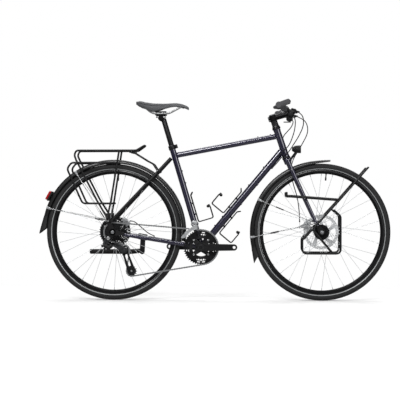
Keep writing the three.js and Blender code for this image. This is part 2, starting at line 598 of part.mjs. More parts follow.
const halfRim = wheel.rimWidth / 2;
const halfBead = halfRim - wheel.rimWall;
const rimProfile = [
  [wheel.rimInner, -wheel.rimNarrow / 2], [wheel.rimInner, wheel.rimNarrow / 2],
  [wheel.rimShoulder, halfRim], [wheel.rimOuter, halfRim],
  [wheel.rimOuter, -halfRim], [wheel.rimShoulder, -halfRim],
];
const halfTyre = wheel.tyreWidth / 2;
const tyreMiddle = (wheel.radius + wheel.rimOuter) / 2 - wheel.rimWall;
const tyreProfile = [
  [wheel.rimOuter + gap, -halfBead], [wheel.rimOuter + gap, halfBead],
  [tyreMiddle, halfTyre], [wheel.radius, wheel.treadHalf],
  [wheel.radius, -wheel.treadHalf], [tyreMiddle, -halfTyre],
];

const polar = (radius, degrees, y) =>
  at(radius * Math.sin(toRadians(degrees)), y, radius * Math.cos(toRadians(degrees)));
const lacedSpokes = hub => {
  const perSide = wheel.spokes / 2;
  const step = 360 / perSide;
  const spokes = [];
  for (let i = 0; i < wheel.spokes; i += 1) {
    const left = i % 2;
    const place = Math.floor(i / 2);
    const pulling = place % 2 ? 1 : -1;
    const angle = place * step + left * step / 2;
    const flange = left ? hub.flangeLeft : hub.flangeRight;
    const head = polar(hub.spokeCircle, angle, flange + pulling * wheel.headStagger);
    const rimEnd = polar(wheel.rimInner - wheel.nippleGap,
      angle + pulling * wheel.crossAngle,
      Math.sign(flange) * wheel.rimStagger + pulling * wheel.crossStagger);
    spokes.push(rod(head, rimEnd, wheel.spokeRadius, { sides: wheel.spokeFacets }));
  }
  return spokes;
};
const brakeRotor = hub => {
  const inner = hub.rotorRadius - rotor.track;
  const window = (inner - rotor.carrier) / 2;
  const half = 180 / rotor.arms;
  const holes = [circlePoints(0, 0, hub.bore * 2, 6)];
  for (let i = 0; i < rotor.arms; i += 1) {
    const middle = 2 * half * i;
    const outerTrim = rotor.armWidth / inner * 90 / Math.PI;
    const innerTrim = rotor.armWidth / rotor.carrier * 90 / Math.PI;
    holes.push([
      ...arcPoints(0, 0, inner, middle - half + outerTrim, middle + half - outerTrim, 2),
      ...arcPoints(0, 0, rotor.carrier + window / 4, middle + half - innerTrim,
        middle - half + innerTrim, 1),
    ]);
  }
  return plate(circlePoints(0, 0, hub.rotorRadius, wheel.facets * 2 / 3),
    hub.rotorPlane - rotor.thick / 2, hub.rotorPlane + rotor.thick / 2, holes);
};
// Each flange has a facet corner at every spoke head: the left one is turned half a step.
const hubBody = (hub, rightEnd) => {
  const [right, left, half] = [hub.flangeRight, hub.flangeLeft, hub.flangeThick / 2];
  const perSide = wheel.spokes / 2;
  const rightFlange = turnedRing([
    [hub.bore, right - half], [hub.flangeRadius, right - half],
    [hub.flangeRadius, right + half], [hub.bore, right + half],
  ], perSide);
  const shell = turnedRing([
    [hub.bore, rightEnd], [hub.shell, right - half + gap], [hub.shell, left - half],
    [hub.flangeRadius, left - half], [hub.flangeRadius, left + half],
    [rotor.carrier, left + half], [rotor.carrier, hub.rotorPlane], [hub.bore * 2, hub.end],
    [hub.bore, hub.end],
  ], perSide);
  return [rightFlange, shell.rotateY(Math.PI / perSide)];
};
const buildWheel = (prefix, centre, hub, rightEnd) => {
  const group = groupAt(centre);
  add(`${prefix}_tyre`, turnedRing(tyreProfile, wheel.facets), finishes.rubber, group);
  add(`${prefix}_rim`, turnedRing(rimProfile, wheel.facets), finishes.blackMetal, group);
  add(`${prefix}_hub`, joined([...hubBody(hub, rightEnd), brakeRotor(hub), ...lacedSpokes(hub)]),
    finishes.steel, group);
};
buildWheel('front', frontAxle, frontHub, -frontHub.end);
buildWheel('rear', rearAxle, rearHub, cassette.bodyEnd + gap * 4);

// Axles, clamped in the dropouts by a nut on each side

const axleProfile = (hubEnds, locknut, plateOuter) => {
  const nut = axle.nutRadius;
  const side = (sign, hubEnd) => [
    [axle.radius, sign * (hubEnd + gap)], [axle.coneRadius, sign * (hubEnd + gap)],
    [axle.coneRadius, sign * (locknut - gap)], [axle.radius, sign * (locknut - gap)],
    [axle.radius, sign * (plateOuter + gap)], [nut, sign * (plateOuter + gap)],
    [nut, sign * (plateOuter + axle.nutLength)], [0, sign * (plateOuter + axle.nutLength)],
  ];
  return [...side(-1, hubEnds[0]).reverse(), ...side(1, hubEnds[1])];
};
add('rear_axle', turned(axleProfile([cassette.coneEnd, rearHub.end],
  dropoutInner, dropoutOuter), axle.facets), finishes.steel, groupAt(rearAxle));
const forkDropout = frontHub.overLocknuts / 2;
add('front_axle', turned(axleProfile([frontHub.end, frontHub.end], forkDropout,
  forkDropout + fork.dropoutThick), axle.facets), finishes.steel, groupAt(frontAxle));

// Sprockets and the chain that runs on them

const pitchRadius = teeth => chain.pitch / (2 * Math.sin(Math.PI / teeth));
// A toothed outline with a pin's seat at firstPin, in degrees.
const toothedOutline = (teeth, firstPin, full) => {
  const radius = pitchRadius(teeth);
  const root = radius - sprocket.rootDepth;
  const tip = radius + sprocket.tipHeight;
  const rootHalf = sprocket.rootHalf / root * 180 / Math.PI;
  const outline = [];
  for (let i = 0; i < teeth; i += 1) {
    const middle = firstPin + (i + 0.5) * 360 / teeth;
    const stops = full
      ? [[root, middle - rootHalf], [tip, middle], [root, middle + rootHalf]]
      : [[root, middle - 180 / teeth], [tip, middle]];
    for (const [reach, degrees] of stops) {
      const angle = toRadians(degrees);
      outline.push([reach * Math.cos(angle), reach * Math.sin(angle)]);
    }
  }
  return outline;
};
const toothedWheel = (teeth, firstPin, full, plane, holes = []) =>
  plate(toothedOutline(teeth, firstPin, full), plane - sprocket.thick / 2,
    plane + sprocket.thick / 2, holes);

// The chain's loop in the XZ plane: four wheels, each with the way that the chain turns round it.
const cogPlane = cassette.outerPlane + cassette.used * cassette.spacing;
const chainWheels = cageAngle => {
  const guide = new THREE.Vector2(pulley.guideX, pulley.guideZ);
  const tension = guide.clone().add(new THREE.Vector2(Math.sin(cageAngle), -Math.cos(cageAngle))
    .multiplyScalar(pulley.cageLength));
  return [
    { centre: new THREE.Vector2(bracketCentre.x, bracketCentre.z), teeth: chainring.teeth, turn: 1 },
    { centre: new THREE.Vector2(rearAxle.x, rearAxle.z), teeth: cassette.teeth[cassette.used],
      turn: 1 },
    { centre: guide, teeth: pulley.guideTeeth, turn: -1 },
    { centre: tension, teeth: pulley.teeth, turn: 1 },
  ];
};
const fullTurn = 2 * Math.PI;
const wrapped = angle => ((angle % fullTurn) + fullTurn) % fullTurn;
const chainRoute = cageAngle => {
  const wheels = chainWheels(cageAngle);
  const runs = wheels.map((from, i) => {
    const to = wheels[(i + 1) % wheels.length];
    const [fromReach, toReach] = [from, to].map(w => w.turn * pitchRadius(w.teeth));
    const between = to.centre.clone().sub(from.centre);
    const heading = between.angle() + Math.asin((fromReach - toReach) / between.length());
    const left = new THREE.Vector2(-Math.sin(heading), Math.cos(heading));
    const start = from.centre.clone().addScaledVector(left, -fromReach);
    const end = to.centre.clone().addScaledVector(left, -toReach);
    return { start, end, links: start.distanceTo(end) / chain.pitch };
  });
  const wraps = wheels.map((w, i) => {
    const arriving = runs[(i + wheels.length - 1) % wheels.length].end.clone().sub(w.centre);
    const leaving = runs[i].start.clone().sub(w.centre);
    const sweep = wrapped(w.turn * (leaving.angle() - arriving.angle()));
    return { ...w, from: arriving.angle(), sweep, links: sweep * w.teeth / fullTurn };
  });
  const links = [...runs, ...wraps].reduce((sum, piece) => sum + piece.links, 0);
  return { wheels, runs, wraps, links };
};
// The cage swings until the loop holds a whole, even number of links.
const linkCount = 2 * Math.round(chainRoute(toRadians(pulley.cageLean)).links / 2);
const cageAngle = (() => {
  let [low, high] = [toRadians(pulley.cageLean - 20), toRadians(pulley.cageLean + 20)];
  const rising = chainRoute(high).links > chainRoute(low).links;
  for (let i = 0; i < 50; i += 1) {
    const middle = (low + high) / 2;
    if ((chainRoute(middle).links > linkCount) === rising) high = middle;
    else low = middle;
  }
  return (low + high) / 2;
})();
const route = chainRoute(cageAngle);
// The place and heading of the chain at a number of links from the start of its first wrap.
const chainPlace = links => {
  let rest = ((links % linkCount) + linkCount) % linkCount;
  for (let i = 0; i < route.wraps.length; i += 1) {
    const wrap = route.wraps[i];
    if (rest < wrap.links) {
      const angle = wrap.from + wrap.turn * rest * fullTurn / wrap.teeth;
      const out = new THREE.Vector2(Math.cos(angle), Math.sin(angle));
      const point = wrap.centre.clone().addScaledVector(out, pitchRadius(wrap.teeth));
      return { point, left: out.multiplyScalar(-wrap.turn) };
    }
    rest -= wrap.links;
    const run = route.runs[i];
    if (rest < run.links) {
      const point = run.start.clone().lerp(run.end, rest / run.links);
      const way = run.end.clone().sub(run.start).normalize();
      return { point, left: new THREE.Vector2(-way.y, way.x) };
    }
    rest -= run.links;
  }
  return chainPlace(0);
};
// Whether the pin at a number of links lies on a wheel.
const onWheel = links => {
  let rest = links % linkCount;
  for (let i = 0; i < route.wraps.length; i += 1) {
    if (rest <= route.wraps[i].links) return true;
    rest -= route.wraps[i].links;
    if (rest < route.runs[i].links) return false;
    rest -= route.runs[i].links;
  }
  return true;
};
// The angle of a pin's seat on each of the four wheels, in degrees.
const firstPins = route.wraps.map((wrap, i) => {
  const before = route.wraps.slice(0, i).reduce((sum, w, k) => sum + w.links
    + route.runs[k].links, 0);
  const toNextPin = Math.ceil(before) - before;
  return (wrap.from + wrap.turn * toNextPin * fullTurn / wrap.teeth) * 180 / Math.PI;
});

const chainEdge = side => {
  const edge = [];
  for (let i = 0; i < linkCount; i += 1) {
    for (const [share, high] of [[0, chain.plateHigh], [0.5, chain.waistHigh]]) {
      const { point, left } = chainPlace(i + share);
      const reached = point.clone().addScaledVector(left, side * high);
      edge.push([reached.x, reached.y]);
    }
  }
  return edge;
};
const chainSlant = () => {
  const [start, end] = [pulley.guideX + pulley.cageLength, bracketCentre.x - 3 * chain.pitch];
  return x => (chainring.plane - cogPlane)
    * Math.min(Math.max((x - start) / (end - start), 0), 1) + cogPlane;
};
const chainHalf = chain.innerHalf + chain.plateThick;
const chainBand = plate(chainEdge(-1), -chainHalf, chainHalf, [chainEdge(1)]);
// A window between two rollers, in which a tooth stands.
const chainWindow = links => {
  const { point, left } = chainPlace(links);
  const way = at(left.y, 0, -left.x);
  const half = chain.pitch / 2 - chain.rollerRadius;
  const box = new THREE.BoxGeometry(half * 2, chain.innerHalf * 2, chain.plateHigh * 4);
  box.rotateY(Math.atan2(-way.z, way.x));
  return box.translate(point.x, 0, point.y);
};
const chainWindows = [];
for (let i = 0; i < linkCount; i += 1) {
  const near = [-2, -1, 0, 1, 2, 3].some(step => onWheel(i + step + linkCount));
  if (near) chainWindows.push(chainWindow(i + 0.5));
}
const chainGeometry = cutBy([chainBand], chainWindows);
const chainPlaces = chainGeometry.getAttribute('position');
const slant = chainSlant();
for (let i = 0; i < chainPlaces.count; i += 1) {
  chainPlaces.setY(i, chainPlaces.getY(i) + slant(chainPlaces.getX(i)));
}
add('chain', chainGeometry, finishes.steel);

const [ringPin, cogPin, guidePin, tensionPin] = firstPins;
const cogs = cassette.teeth.map((teeth, i) => toothedWheel(teeth, i === cassette.used ? cogPin : 0,
  i === cassette.used, cassette.outerPlane + i * cassette.spacing));
const freehub = rod(at(0, cassette.outerPlane - sprocket.thick, 0), at(0, cassette.bodyEnd, 0),
  cassette.bodyRadius, { sides: pipeSides });
const freehubBore = rod(at(0, cassette.outerPlane - overrun, 0),
  at(0, cassette.bodyEnd + overrun, 0), cassette.bore, { sides: 8 });
add('cassette', cutBy([...cogs, freehub], [freehubBore]), finishes.steel, groupAt(rearAxle));

// Crankset: the right arm carries the spindle and a spider, the rings are bolted to the spider

const crankset = groupAt(bracketCentre);
const ringHole = circlePoints(0, 0, chainring.bore, crank.facets);
const smallPlane = chainring.plane + chainring.spacing;
const spacers = [];
for (let i = 0; i < crank.spiderArms; i += 1) {
  const angle = toRadians(45 + i * 360 / crank.spiderArms);
  const centre = at(chainring.boltCircle * Math.cos(angle), 0,
    chainring.boltCircle * Math.sin(angle));
  spacers.push(crossRod(centre, chainring.plane, smallPlane, chainring.spacerRadius, 4));
}
add('chainrings', joined([
  toothedWheel(chainring.teeth, ringPin, true, chainring.plane, [ringHole]),
  toothedWheel(chainring.smallTeeth, 0, false, smallPlane, [ringHole]),
  ...spacers,
]), finishes.blackMetal, crankset);

const crankArm = (side, heading) => {
  const eye = [heading * crank.length, 0];
  const outer = side * crank.armOuter;
  const inner = side * (crank.armOuter - crank.armThick);
  return {
    body: [
      link([0, 0], crank.armHub, eye, crank.armEnd, inner, outer, 5),
      crossRod(at(0, 0, 0), side * crank.bossInner, side * crank.bossOuter, crank.armHub, crank.facets),
    ],
    eye: crossRod(at(eye[0], 0, eye[1]), inner - side * overrun, outer + side * overrun,
      crank.eyeRadius, 12),
  };
};
const rightArm = crankArm(-1, 1);
const leftArm = crankArm(1, -1);
const spiderInner = chainring.plane - sprocket.thick / 2 - gap;
const spiderOutline = () => {
  const outline = [];
  for (let i = 0; i < crank.spiderArms; i += 1) {
    const middle = 45 + i * 360 / crank.spiderArms;
    const tipHalf = crank.spiderHalf / crank.spiderReach * 180 / Math.PI;
    const rootGap = 180 / crank.spiderArms;
    outline.push(...arcPoints(0, 0, crank.spiderReach, middle - tipHalf, middle + tipHalf, 2));
    outline.push(...arcPoints(0, 0, crank.armHub + overrun, middle + rootGap, middle + rootGap, 1)
      .slice(0, 1));
  }
  return outline;
};
const spindle = rod(at(0, spiderInner - crank.spiderThick, 0), at(0, crank.armOuter - gap, 0),
  crank.spindle, { sides: crank.facets });
const rightBoss = crossRod(at(0, 0, 0), spiderInner, -crank.bossOuter, crank.armHub, crank.facets);
add('crank_right', cutBy([
  rightArm.body[0], rightBoss,
  plate(spiderOutline(), spiderInner, spiderInner - crank.spiderThick), spindle,
], [rightArm.eye]), finishes.blackMetal, crankset);
add('crank_left', cutBy(leftArm.body, [
  leftArm.eye,
  crossRod(at(0, 0, 0), crank.bossInner - overrun, crank.armOuter, crank.spindle + gap,
    crank.facets),
]), finishes.blackMetal, crankset);

// Rear derailleur: knuckle on the hanger, links, and a cage with two toothed pulleys

const guideCentre = at(pulley.guideX, 0, pulley.guideZ);
const tensionCentre = at(route.wheels[3].centre.x, 0, route.wheels[3].centre.y);
const pulleyHole = [circlePoints(0, 0, pulley.bore, 12)];
add('guide_pulley', toothedWheel(pulley.guideTeeth, guidePin, true, cogPlane, pulleyHole),
  finishes.blackPlastic, groupAt(guideCentre));
add('tension_pulley', toothedWheel(pulley.teeth, tensionPin, true, cogPlane, pulleyHole),
  finishes.blackPlastic, groupAt(tensionCentre));

const guide2 = [guideCentre.x, guideCentre.z];
const tension2 = [tensionCentre.x, tensionCentre.z];
const cagePlate = side => {
  const from = cogPlane + side * pulley.plateInner;
  const to = from + side * pulley.plateThick;
  const way = tensionCentre.clone().sub(guideCentre).normalize();
  const across = at(-way.z, 0, way.x);
  const arms = [-1, 1].map(arm => {
    const start = along(guideCentre, across, arm * pulley.armSpread);
    const end = along(tensionCentre, across, arm * pulley.armSpread);
    return link([start.x, start.z], pulley.armHalf, [end.x, end.z], pulley.armHalf, from, to, 2);
  });
  return [
    ...arms,
    plate(circlePoints(...guide2, pulley.plateRadius, 10), from, to),
    plate(circlePoints(...tension2, pulley.plateFoot, 10), from, to),
  ];
};
const cageBolt = centre => crossRod(centre, cogPlane - pulley.plateInner - pulley.plateThick,
  cogPlane + pulley.plateInner + pulley.plateThick, pulley.boltRadius, 8);
add('derailleur_cage', joined([
  ...cagePlate(-1), ...cagePlate(1), cageBolt(guideCentre), cageBolt(tensionCentre),
]), finishes.blackMetal);

const hangerAt = [dropout.hangerX, rearAxle.z + dropout.hangerZ];
const knuckleFoot = [hangerAt[0] + derailleur.lobeReach, hangerAt[1] - derailleur.lobeReach];
add('rear_derailleur', joined([
  crossRod(at(hangerAt[0], 0, hangerAt[1]), derailleur.knuckleStart, derailleur.knuckleEnd,
    derailleur.knuckleRadius),
  link(hangerAt, derailleur.knuckleRadius, knuckleFoot, derailleur.knuckleRadius / 2,
    derailleur.knuckleStart, derailleur.knuckleEnd),
]), finishes.blackMetal);
const linkStart = at(derailleur.linkStartX + derailleur.linkHigh / 2, derailleur.linkStartY
  - derailleur.linkThick / 2, derailleur.linkStartZ - derailleur.linkHigh / 2);
const linkEnd = at(guideCentre.x, (derailleur.footStart + derailleur.footEnd) / 2, guideCentre.z);
add('derailleur_links', joined([
  swept([linkStart, linkEnd], ringShape(derailleur.linkHigh / 2, 8,
    derailleur.linkThick / derailleur.linkHigh), at(0, 1, 0)),
  crossRod(guideCentre, derailleur.footStart, derailleur.footEnd, derailleur.footRadius),
]), finishes.blackMetal);

// Front derailleur: a band on the seat tube and a cage round the chain

const fd = frontDerailleur;
const bandFoot = along(bracketCentre, seatUp, fd.bandHeight);
const bandTop = along(bandFoot, seatUp, fd.bandHigh);
const bandMiddle = along(bandFoot, seatUp, fd.bandHigh / 2);
const fdBodyEnd = chainring.plane + fd.plateInner + fd.plateThick + gap;
const fdBody = new THREE.BoxGeometry(fd.bodyDeep, Math.abs(fdBodyEnd), fd.bodyHigh);
fdBody.translate(bandMiddle.x, fdBodyEnd / 2, bandMiddle.z + (fd.bodyHigh - fd.bandHigh) / 2);
add('front_derailleur', cutBy([
  rod(bandFoot, bandTop, seatTube.radius + fd.bandThick, { sides: tubeSides }), fdBody,
], [seatBody(gap)]), finishes.silver);

const fdReach = pitchRadius(chainring.teeth) + fd.clearance;
const fdOutline = [
  [bracketCentre.x + fd.topX, bracketCentre.z + fd.topZ],
  [bracketCentre.x + fd.backX, bracketCentre.z + fd.backZ],
  [bracketCentre.x + fd.tailX, bracketCentre.z + fd.tailZ],
  [bracketCentre.x + fd.footX, bracketCentre.z + fd.footZ],
  ...arcPoints(bracketCentre.x, bracketCentre.z, fdReach, 150, 100, 6),
];
const fdPlate = side => plate(fdOutline, chainring.plane + side * fd.plateInner,
  chainring.plane + side * (fd.plateInner + fd.plateThick));
const fdBridge = (x, z, radius) => crossRod(at(bracketCentre.x + x, 0, bracketCentre.z + z),
  chainring.plane - fd.plateInner - fd.plateThick / 2,
  chainring.plane + fd.plateInner + fd.plateThick / 2, radius, 8);
add('front_derailleur_cage', joined([
  fdPlate(-1), fdPlate(1),
  fdBridge((fd.topX + fd.backX) / 2, fd.topZ - fd.plateInner, fd.plateInner / 2),
  fdBridge(fd.footX + fd.plateInner / 2, fd.footZ + fd.plateInner * 2, fd.plateInner / 2),
]), finishes.silver);

// Fork: steerer, crown, two blades and the dropouts in one piece

const crownTop = -headTube.lowerCup - fork.crownTop + gap * 5;
const crownFoot = crownTop - fork.crownHeight;
const crownBox = () => {
  const box = new THREE.BoxGeometry(fork.crownDeep * 2, fork.crownHalf * 2, fork.crownHeight);
  box.rotateY(-Math.PI / 2 + toRadians(headTube.angle));
  const middle = onSteerer((crownTop + crownFoot) / 2);
  return box.translate(middle.x, middle.y, middle.z);
};
const bladeTop = onSteerer(crownTop - fork.crownHeight / 3, 0, fork.bladeTopY);
const bladeFoot = frontAxle.clone().add(at(fork.bladeFootAhead, fork.bladeFootY, fork.bladeFootUp));
const blade = rod(bladeTop, bladeFoot, fork.bladeTopRadius,
  { endRadius: fork.bladeFootRadius, sides: 10 });
const bladeAtTab = bladeFoot.clone().lerp(bladeTop,
  (frontCalliper.tab.z - bladeFoot.z) / (bladeTop.z - bladeFoot.z));
const calliperTab = link([bladeAtTab.x, bladeAtTab.z], caliper.tabRadius,
  [frontCalliper.tab.x, frontCalliper.tab.z], caliper.tabRadius,
  frontCalliper.outerFace + gap, frontCalliper.outerFace + caliper.tabThick);
// Two straps on the crown that hold the headlight
const crownMiddle = onSteerer((crownTop + crownFoot) / 2, fork.crownDeep / 2);
const lampStrap = side => link([crownMiddle.x, crownMiddle.z], headlight.strapWide / 2,
  [headlight.pivotX, headlight.pivotZ], headlight.strapWide / 2,
  side * headlight.strapY, side * (headlight.strapY + headlight.strapThick));
const forkPlate = side => {
  const [fromY, toY] = [side * (forkDropout), side * (forkDropout + fork.dropoutThick)];
  const eye = [frontAxle.x + fork.dropoutBack, frontAxle.z + fork.dropoutUp];
  return link([frontAxle.x, frontAxle.z], fork.dropoutRadius, eye, fork.bladeFootRadius, fromY, toY);
};
const steererTop = stemFoot + stem.clampHeight - gap;
add('fork', cutBy([
  rod(onSteerer(crownTop - fork.crownHeight / 2), onSteerer(steererTop), fork.steererRadius,
    { sides: tubeSides }),
  crownBox(), ...bothSides(blade), forkPlate(-1), forkPlate(1), calliperTab,
  lampStrap(-1), lampStrap(1),
], [
  crossRod(frontAxle, -forkDropout * 2, forkDropout * 2, dropout.slot, 12),
  crossRod(frontAxle, -forkDropout, forkDropout, fork.dropoutRadius + overrun, 16),
]), finishes.paint);

// Stem with its spacers and top cap

const stemTop = stemFoot + stem.clampHeight;
const stemCentre = onSteerer(stemFoot + stem.clampHeight / 2);
const clampBore = crossRod(barCentre, -stem.barClampWidth, stem.barClampWidth,
  bar.bulgeRadius + gap, tubeSides);
const spacerFoot = headTube.length + headTube.upperCup + gap;
add('stem', cutBy([
  rod(onSteerer(spacerFoot), onSteerer(stemFoot + gap), stem.capRadius, { sides: tubeSides }),
  rod(onSteerer(stemFoot), onSteerer(stemTop), stem.clampRadius, { sides: tubeSides }),
  rod(onSteerer(stemTop - gap), onSteerer(stemTop + stem.capHeight), stem.capRadius,
    { sides: tubeSides }),
  rod(stemCentre, barCentre, stem.tubeRadius, { sides: 12 }),
  crossRod(barCentre, -stem.barClampWidth / 2, stem.barClampWidth / 2, stem.barClampRadius, tubeSides),
], [
  clampBore,
  rod(onSteerer(spacerFoot - overrun), onSteerer(steererTop + gap), fork.steererRadius + gap,
    { sides: tubeSides }),
]), finishes.blackMetal);

// Handlebar, grips and controls

const barCorners = [barEnd, barKnee, mirrored(barKnee), mirrored(barEnd)];
add('handlebar', joined([
  swept(rounded(barCorners, bar.bend, 2), ringShape(bar.radius, 10), at(1, 0, 0)),
  crossRod(barCentre, -stem.barClampWidth / 2, stem.barClampWidth / 2, bar.bulgeRadius, tubeSides),
]), finishes.blackMetal);

// The left grip's local frame: +Y outwards along the bar, +X forward, +Z up.
const barTurn = (() => {
  const out = barOut.clone();
  const ahead = at(1, 0, 0).addScaledVector(out, -out.x).normalize();
  const up = ahead.clone().cross(out);
  return new THREE.Matrix4().makeBasis(ahead, out, up);
})();
const onBar = (geometry, distance) => {
  const start = along(barEnd, barOut, -distance);
  geometry.applyMatrix4(barTurn);
  return geometry.translate(start.x, start.y, start.z);
};
const gripGeometry = () => {
  const wing = new THREE.Shape(grip.wingShares.map(([back, outwards]) =>
    new THREE.Vector2(-grip.wingBack * back, grip.length - grip.wingSpan * (1 - outwards))));
  const wingPlate = new THREE.ExtrudeGeometry(wing, { depth: grip.wingThick, bevelEnabled: false });
  wingPlate.translate(0, 0, -grip.wingThick / 2);
  const tilt = -toRadians(grip.hornTilt);
  wingPlate.rotateY(tilt);
  const horn = swept([
    at(0, 0, 0), at(grip.hornReach * grip.hornKneeShare, 0, 0),
    at(grip.hornReach, -grip.cap * grip.hornToeShare, 0),
  ], ringShape(grip.hornHigh, 8, grip.hornThick / grip.hornHigh), at(0, 1, 0));
  horn.rotateY(tilt).translate(0, grip.length - grip.hornThick, 0);
  const pieces = [
    rod(at(0, 0, 0), at(0, grip.length, 0), grip.radius, { sides: 12 }), wingPlate, horn,
  ];
  const bore = rod(at(0, -overrun, 0), at(0, grip.length - grip.cap + gap, 0),
    boreFor(bar.radius, tubeSides), { sides: tubeSides });
  return onBar(cutBy(pieces, [bore]), grip.length - grip.cap);
};
const leftGrip = gripGeometry();
add('grip_left', leftGrip, finishes.gripRubber);
add('grip_right', mirrorCopy(leftGrip), finishes.gripRubber);

const controlPlace = grip.length - grip.cap + control.inset;
const controlGeometry = () => {
  const half = control.clampWidth / 2;
  const body = new THREE.BoxGeometry(control.bodyForward, control.bodyWidth, control.bodyHigh);
  body.translate(control.bodyForward / 2 + bar.radius, -control.bodyWidth / 2 + half,
    -control.pivotDown);
  const pod = crossRod(at(control.bodyForward / 2, 0, -control.podDown / 2 - bar.radius / 2),
    -control.podWidth - half, half, control.podRadius, 12);
  const neck = rod(at(0, 0, 0), at(control.bodyForward / 2, 0, -control.pivotDown), bar.radius / 2,
    { sides: 8 });
  const pivotHole = rod(at(control.pivotForward, 0, -control.bodyDown * 2),
    at(control.pivotForward, 0, control.bodyDown), boreFor(control.pivotRadius, 8), { sides: 8 });
  const leverSlot = new THREE.BoxGeometry(brakeLever.boss * 3, control.bodyWidth,
    brakeLever.bossHigh + gap * 2);
  leverSlot.translate(control.pivotForward + brakeLever.slotShift, 0, -control.pivotDown);
  return onBar(cutBy([
    rod(at(0, -half, 0), at(0, half, 0), control.clampRadius, { sides: 16 }), body, pod, neck,
  ], [
    rod(at(0, -half - control.boreLength, 0), at(0, half + overrun, 0),
      boreFor(bar.radius, tubeSides), { sides: tubeSides }),
    pivotHole, leverSlot,
  ]), controlPlace);
};
const leverGeometry = () => {
  const [x, z] = [control.pivotForward, -control.pivotDown];
  const boss = rod(at(x, 0, z - brakeLever.bossHigh / 2), at(x, 0, z + brakeLever.bossHigh / 2),
    brakeLever.boss, { sides: 12 });
  const pin = rod(at(x, 0, z - control.bodyHigh / 2), at(x, 0, z + control.bodyHigh / 2),
    control.pivotRadius, { sides: 8 });
  const knee = at(x + brakeLever.reach, brakeLever.length * brakeLever.kneeShare, z);
  const blade = swept(rounded([
    at(x, 0, z), knee, at(x + brakeLever.reach, brakeLever.length, z - brakeLever.thick),
  ], brakeLever.length / 4, 2), ringShape(brakeLever.high / 2, pipeSides,
    brakeLever.thick / brakeLever.high), at(1, 0, 0));
  return onBar(joined([boss, pin, blade]), controlPlace);
};
const leftControl = controlGeometry();
add('control_left', leftControl, finishes.blackPlastic);
add('control_right', mirrorCopy(leftControl), finishes.blackPlastic);
const leftLever = leverGeometry();
add('brake_lever_left', leftLever, finishes.blackMetal);
add('brake_lever_right', mirrorCopy(leftLever), finishes.blackMetal);

// A thumb trigger under the pod, turning on an upright pin.
const shiftPivot = at(control.bodyForward / 2, -control.podWidth / 2,
  -control.podDown / 2 - bar.radius / 2 - control.podRadius - gap - shiftLever.thick / 2);
const shiftGeometry = () => {
  const blade = new THREE.Shape(linkOutline([0, 0], shiftLever.wide / 2,
    [-shiftLever.forward, shiftLever.length], shiftLever.wide / 2, 4)
    .map(([x, y]) => new THREE.Vector2(x, y)));
  const trigger = new THREE.ExtrudeGeometry(blade, { depth: shiftLever.thick, bevelEnabled: false });
  trigger.translate(shiftPivot.x, shiftPivot.y, shiftPivot.z - shiftLever.thick / 2);
  return onBar(geometryOf(solidOf(trigger)), controlPlace);
};
const leftShift = shiftGeometry();
add('shift_lever_left', leftShift, finishes.blackPlastic);
add('shift_lever_right', mirrorCopy(leftShift), finishes.blackPlastic);

// Seatpost and saddle

const postFoot = along(seatTop, seatUp, -seatpost.insertion);
const postTop = along(seatTop, seatUp, seatpost.showing);
const headAt = postTop.clone().add(at(-seatpost.setback, 0, 0));
const yokeZ = saddle.railZ;
const yoke = [-1, 1].map(side => {
  const box = new THREE.BoxGeometry(seatpost.yokeLength, seatpost.headWidth,
    seatpost.yokeHigh - saddle.railRadius);
  return box.translate(headAt.x, 0, yokeZ + side * (saddle.railRadius + gap
    + (seatpost.yokeHigh - saddle.railRadius) / 2));
});
const yokeBolt = crossX => rod(at(headAt.x + crossX, 0, yokeZ - seatpost.yokeHigh * 2),
  at(headAt.x + crossX, 0, yokeZ + seatpost.yokeHigh), saddle.railRadius, { sides: 8 });
add('seatpost', joined([
  rod(postFoot, postTop, seatpost.radius, { sides: tubeSides }),
  crossRod(at(headAt.x, 0, postTop.z), -seatpost.headWidth / 2, seatpost.headWidth / 2,
    seatpost.headRadius, 12),
  ...yoke, yokeBolt(-seatpost.boltOffset), yokeBolt(seatpost.boltOffset),
]), finishes.blackMetal);

// The saddle's half width, top and underside at a share of its length from the tail.
const saddleHalf = share => {
  const tail = Math.sqrt(Math.max(1 - Math.pow(1 - Math.min(share / 0.16, 1), 2), 0));
  const nose = Math.sqrt(Math.max(1 - Math.pow(Math.max((share - 0.93) / 0.07, 0), 2), 0));
  const taper = 0.5 + 0.5 * Math.cos(Math.PI * Math.min(Math.max((share - 0.12) / 0.55, 0), 1));
  return (saddle.noseHalf + (saddle.halfWidth - saddle.noseHalf) * taper) * tail * nose;
};
const saddleTop = share => saddle.top + saddle.kick * Math.pow(1 - share, 3)
  + saddle.kick * 0.3 * Math.sin(Math.PI * Math.min(share / 0.9, 1) + Math.PI)
  - saddle.noseDrop * Math.pow(Math.max((share - 0.78) / 0.22, 0), 2);
const saddleUnder = share => saddleTop(share) - saddle.depth * (0.62 + 0.38 * Math.sin(Math.PI
  * Math.min(Math.max((share - 0.05) / 0.62, 0), 1)));
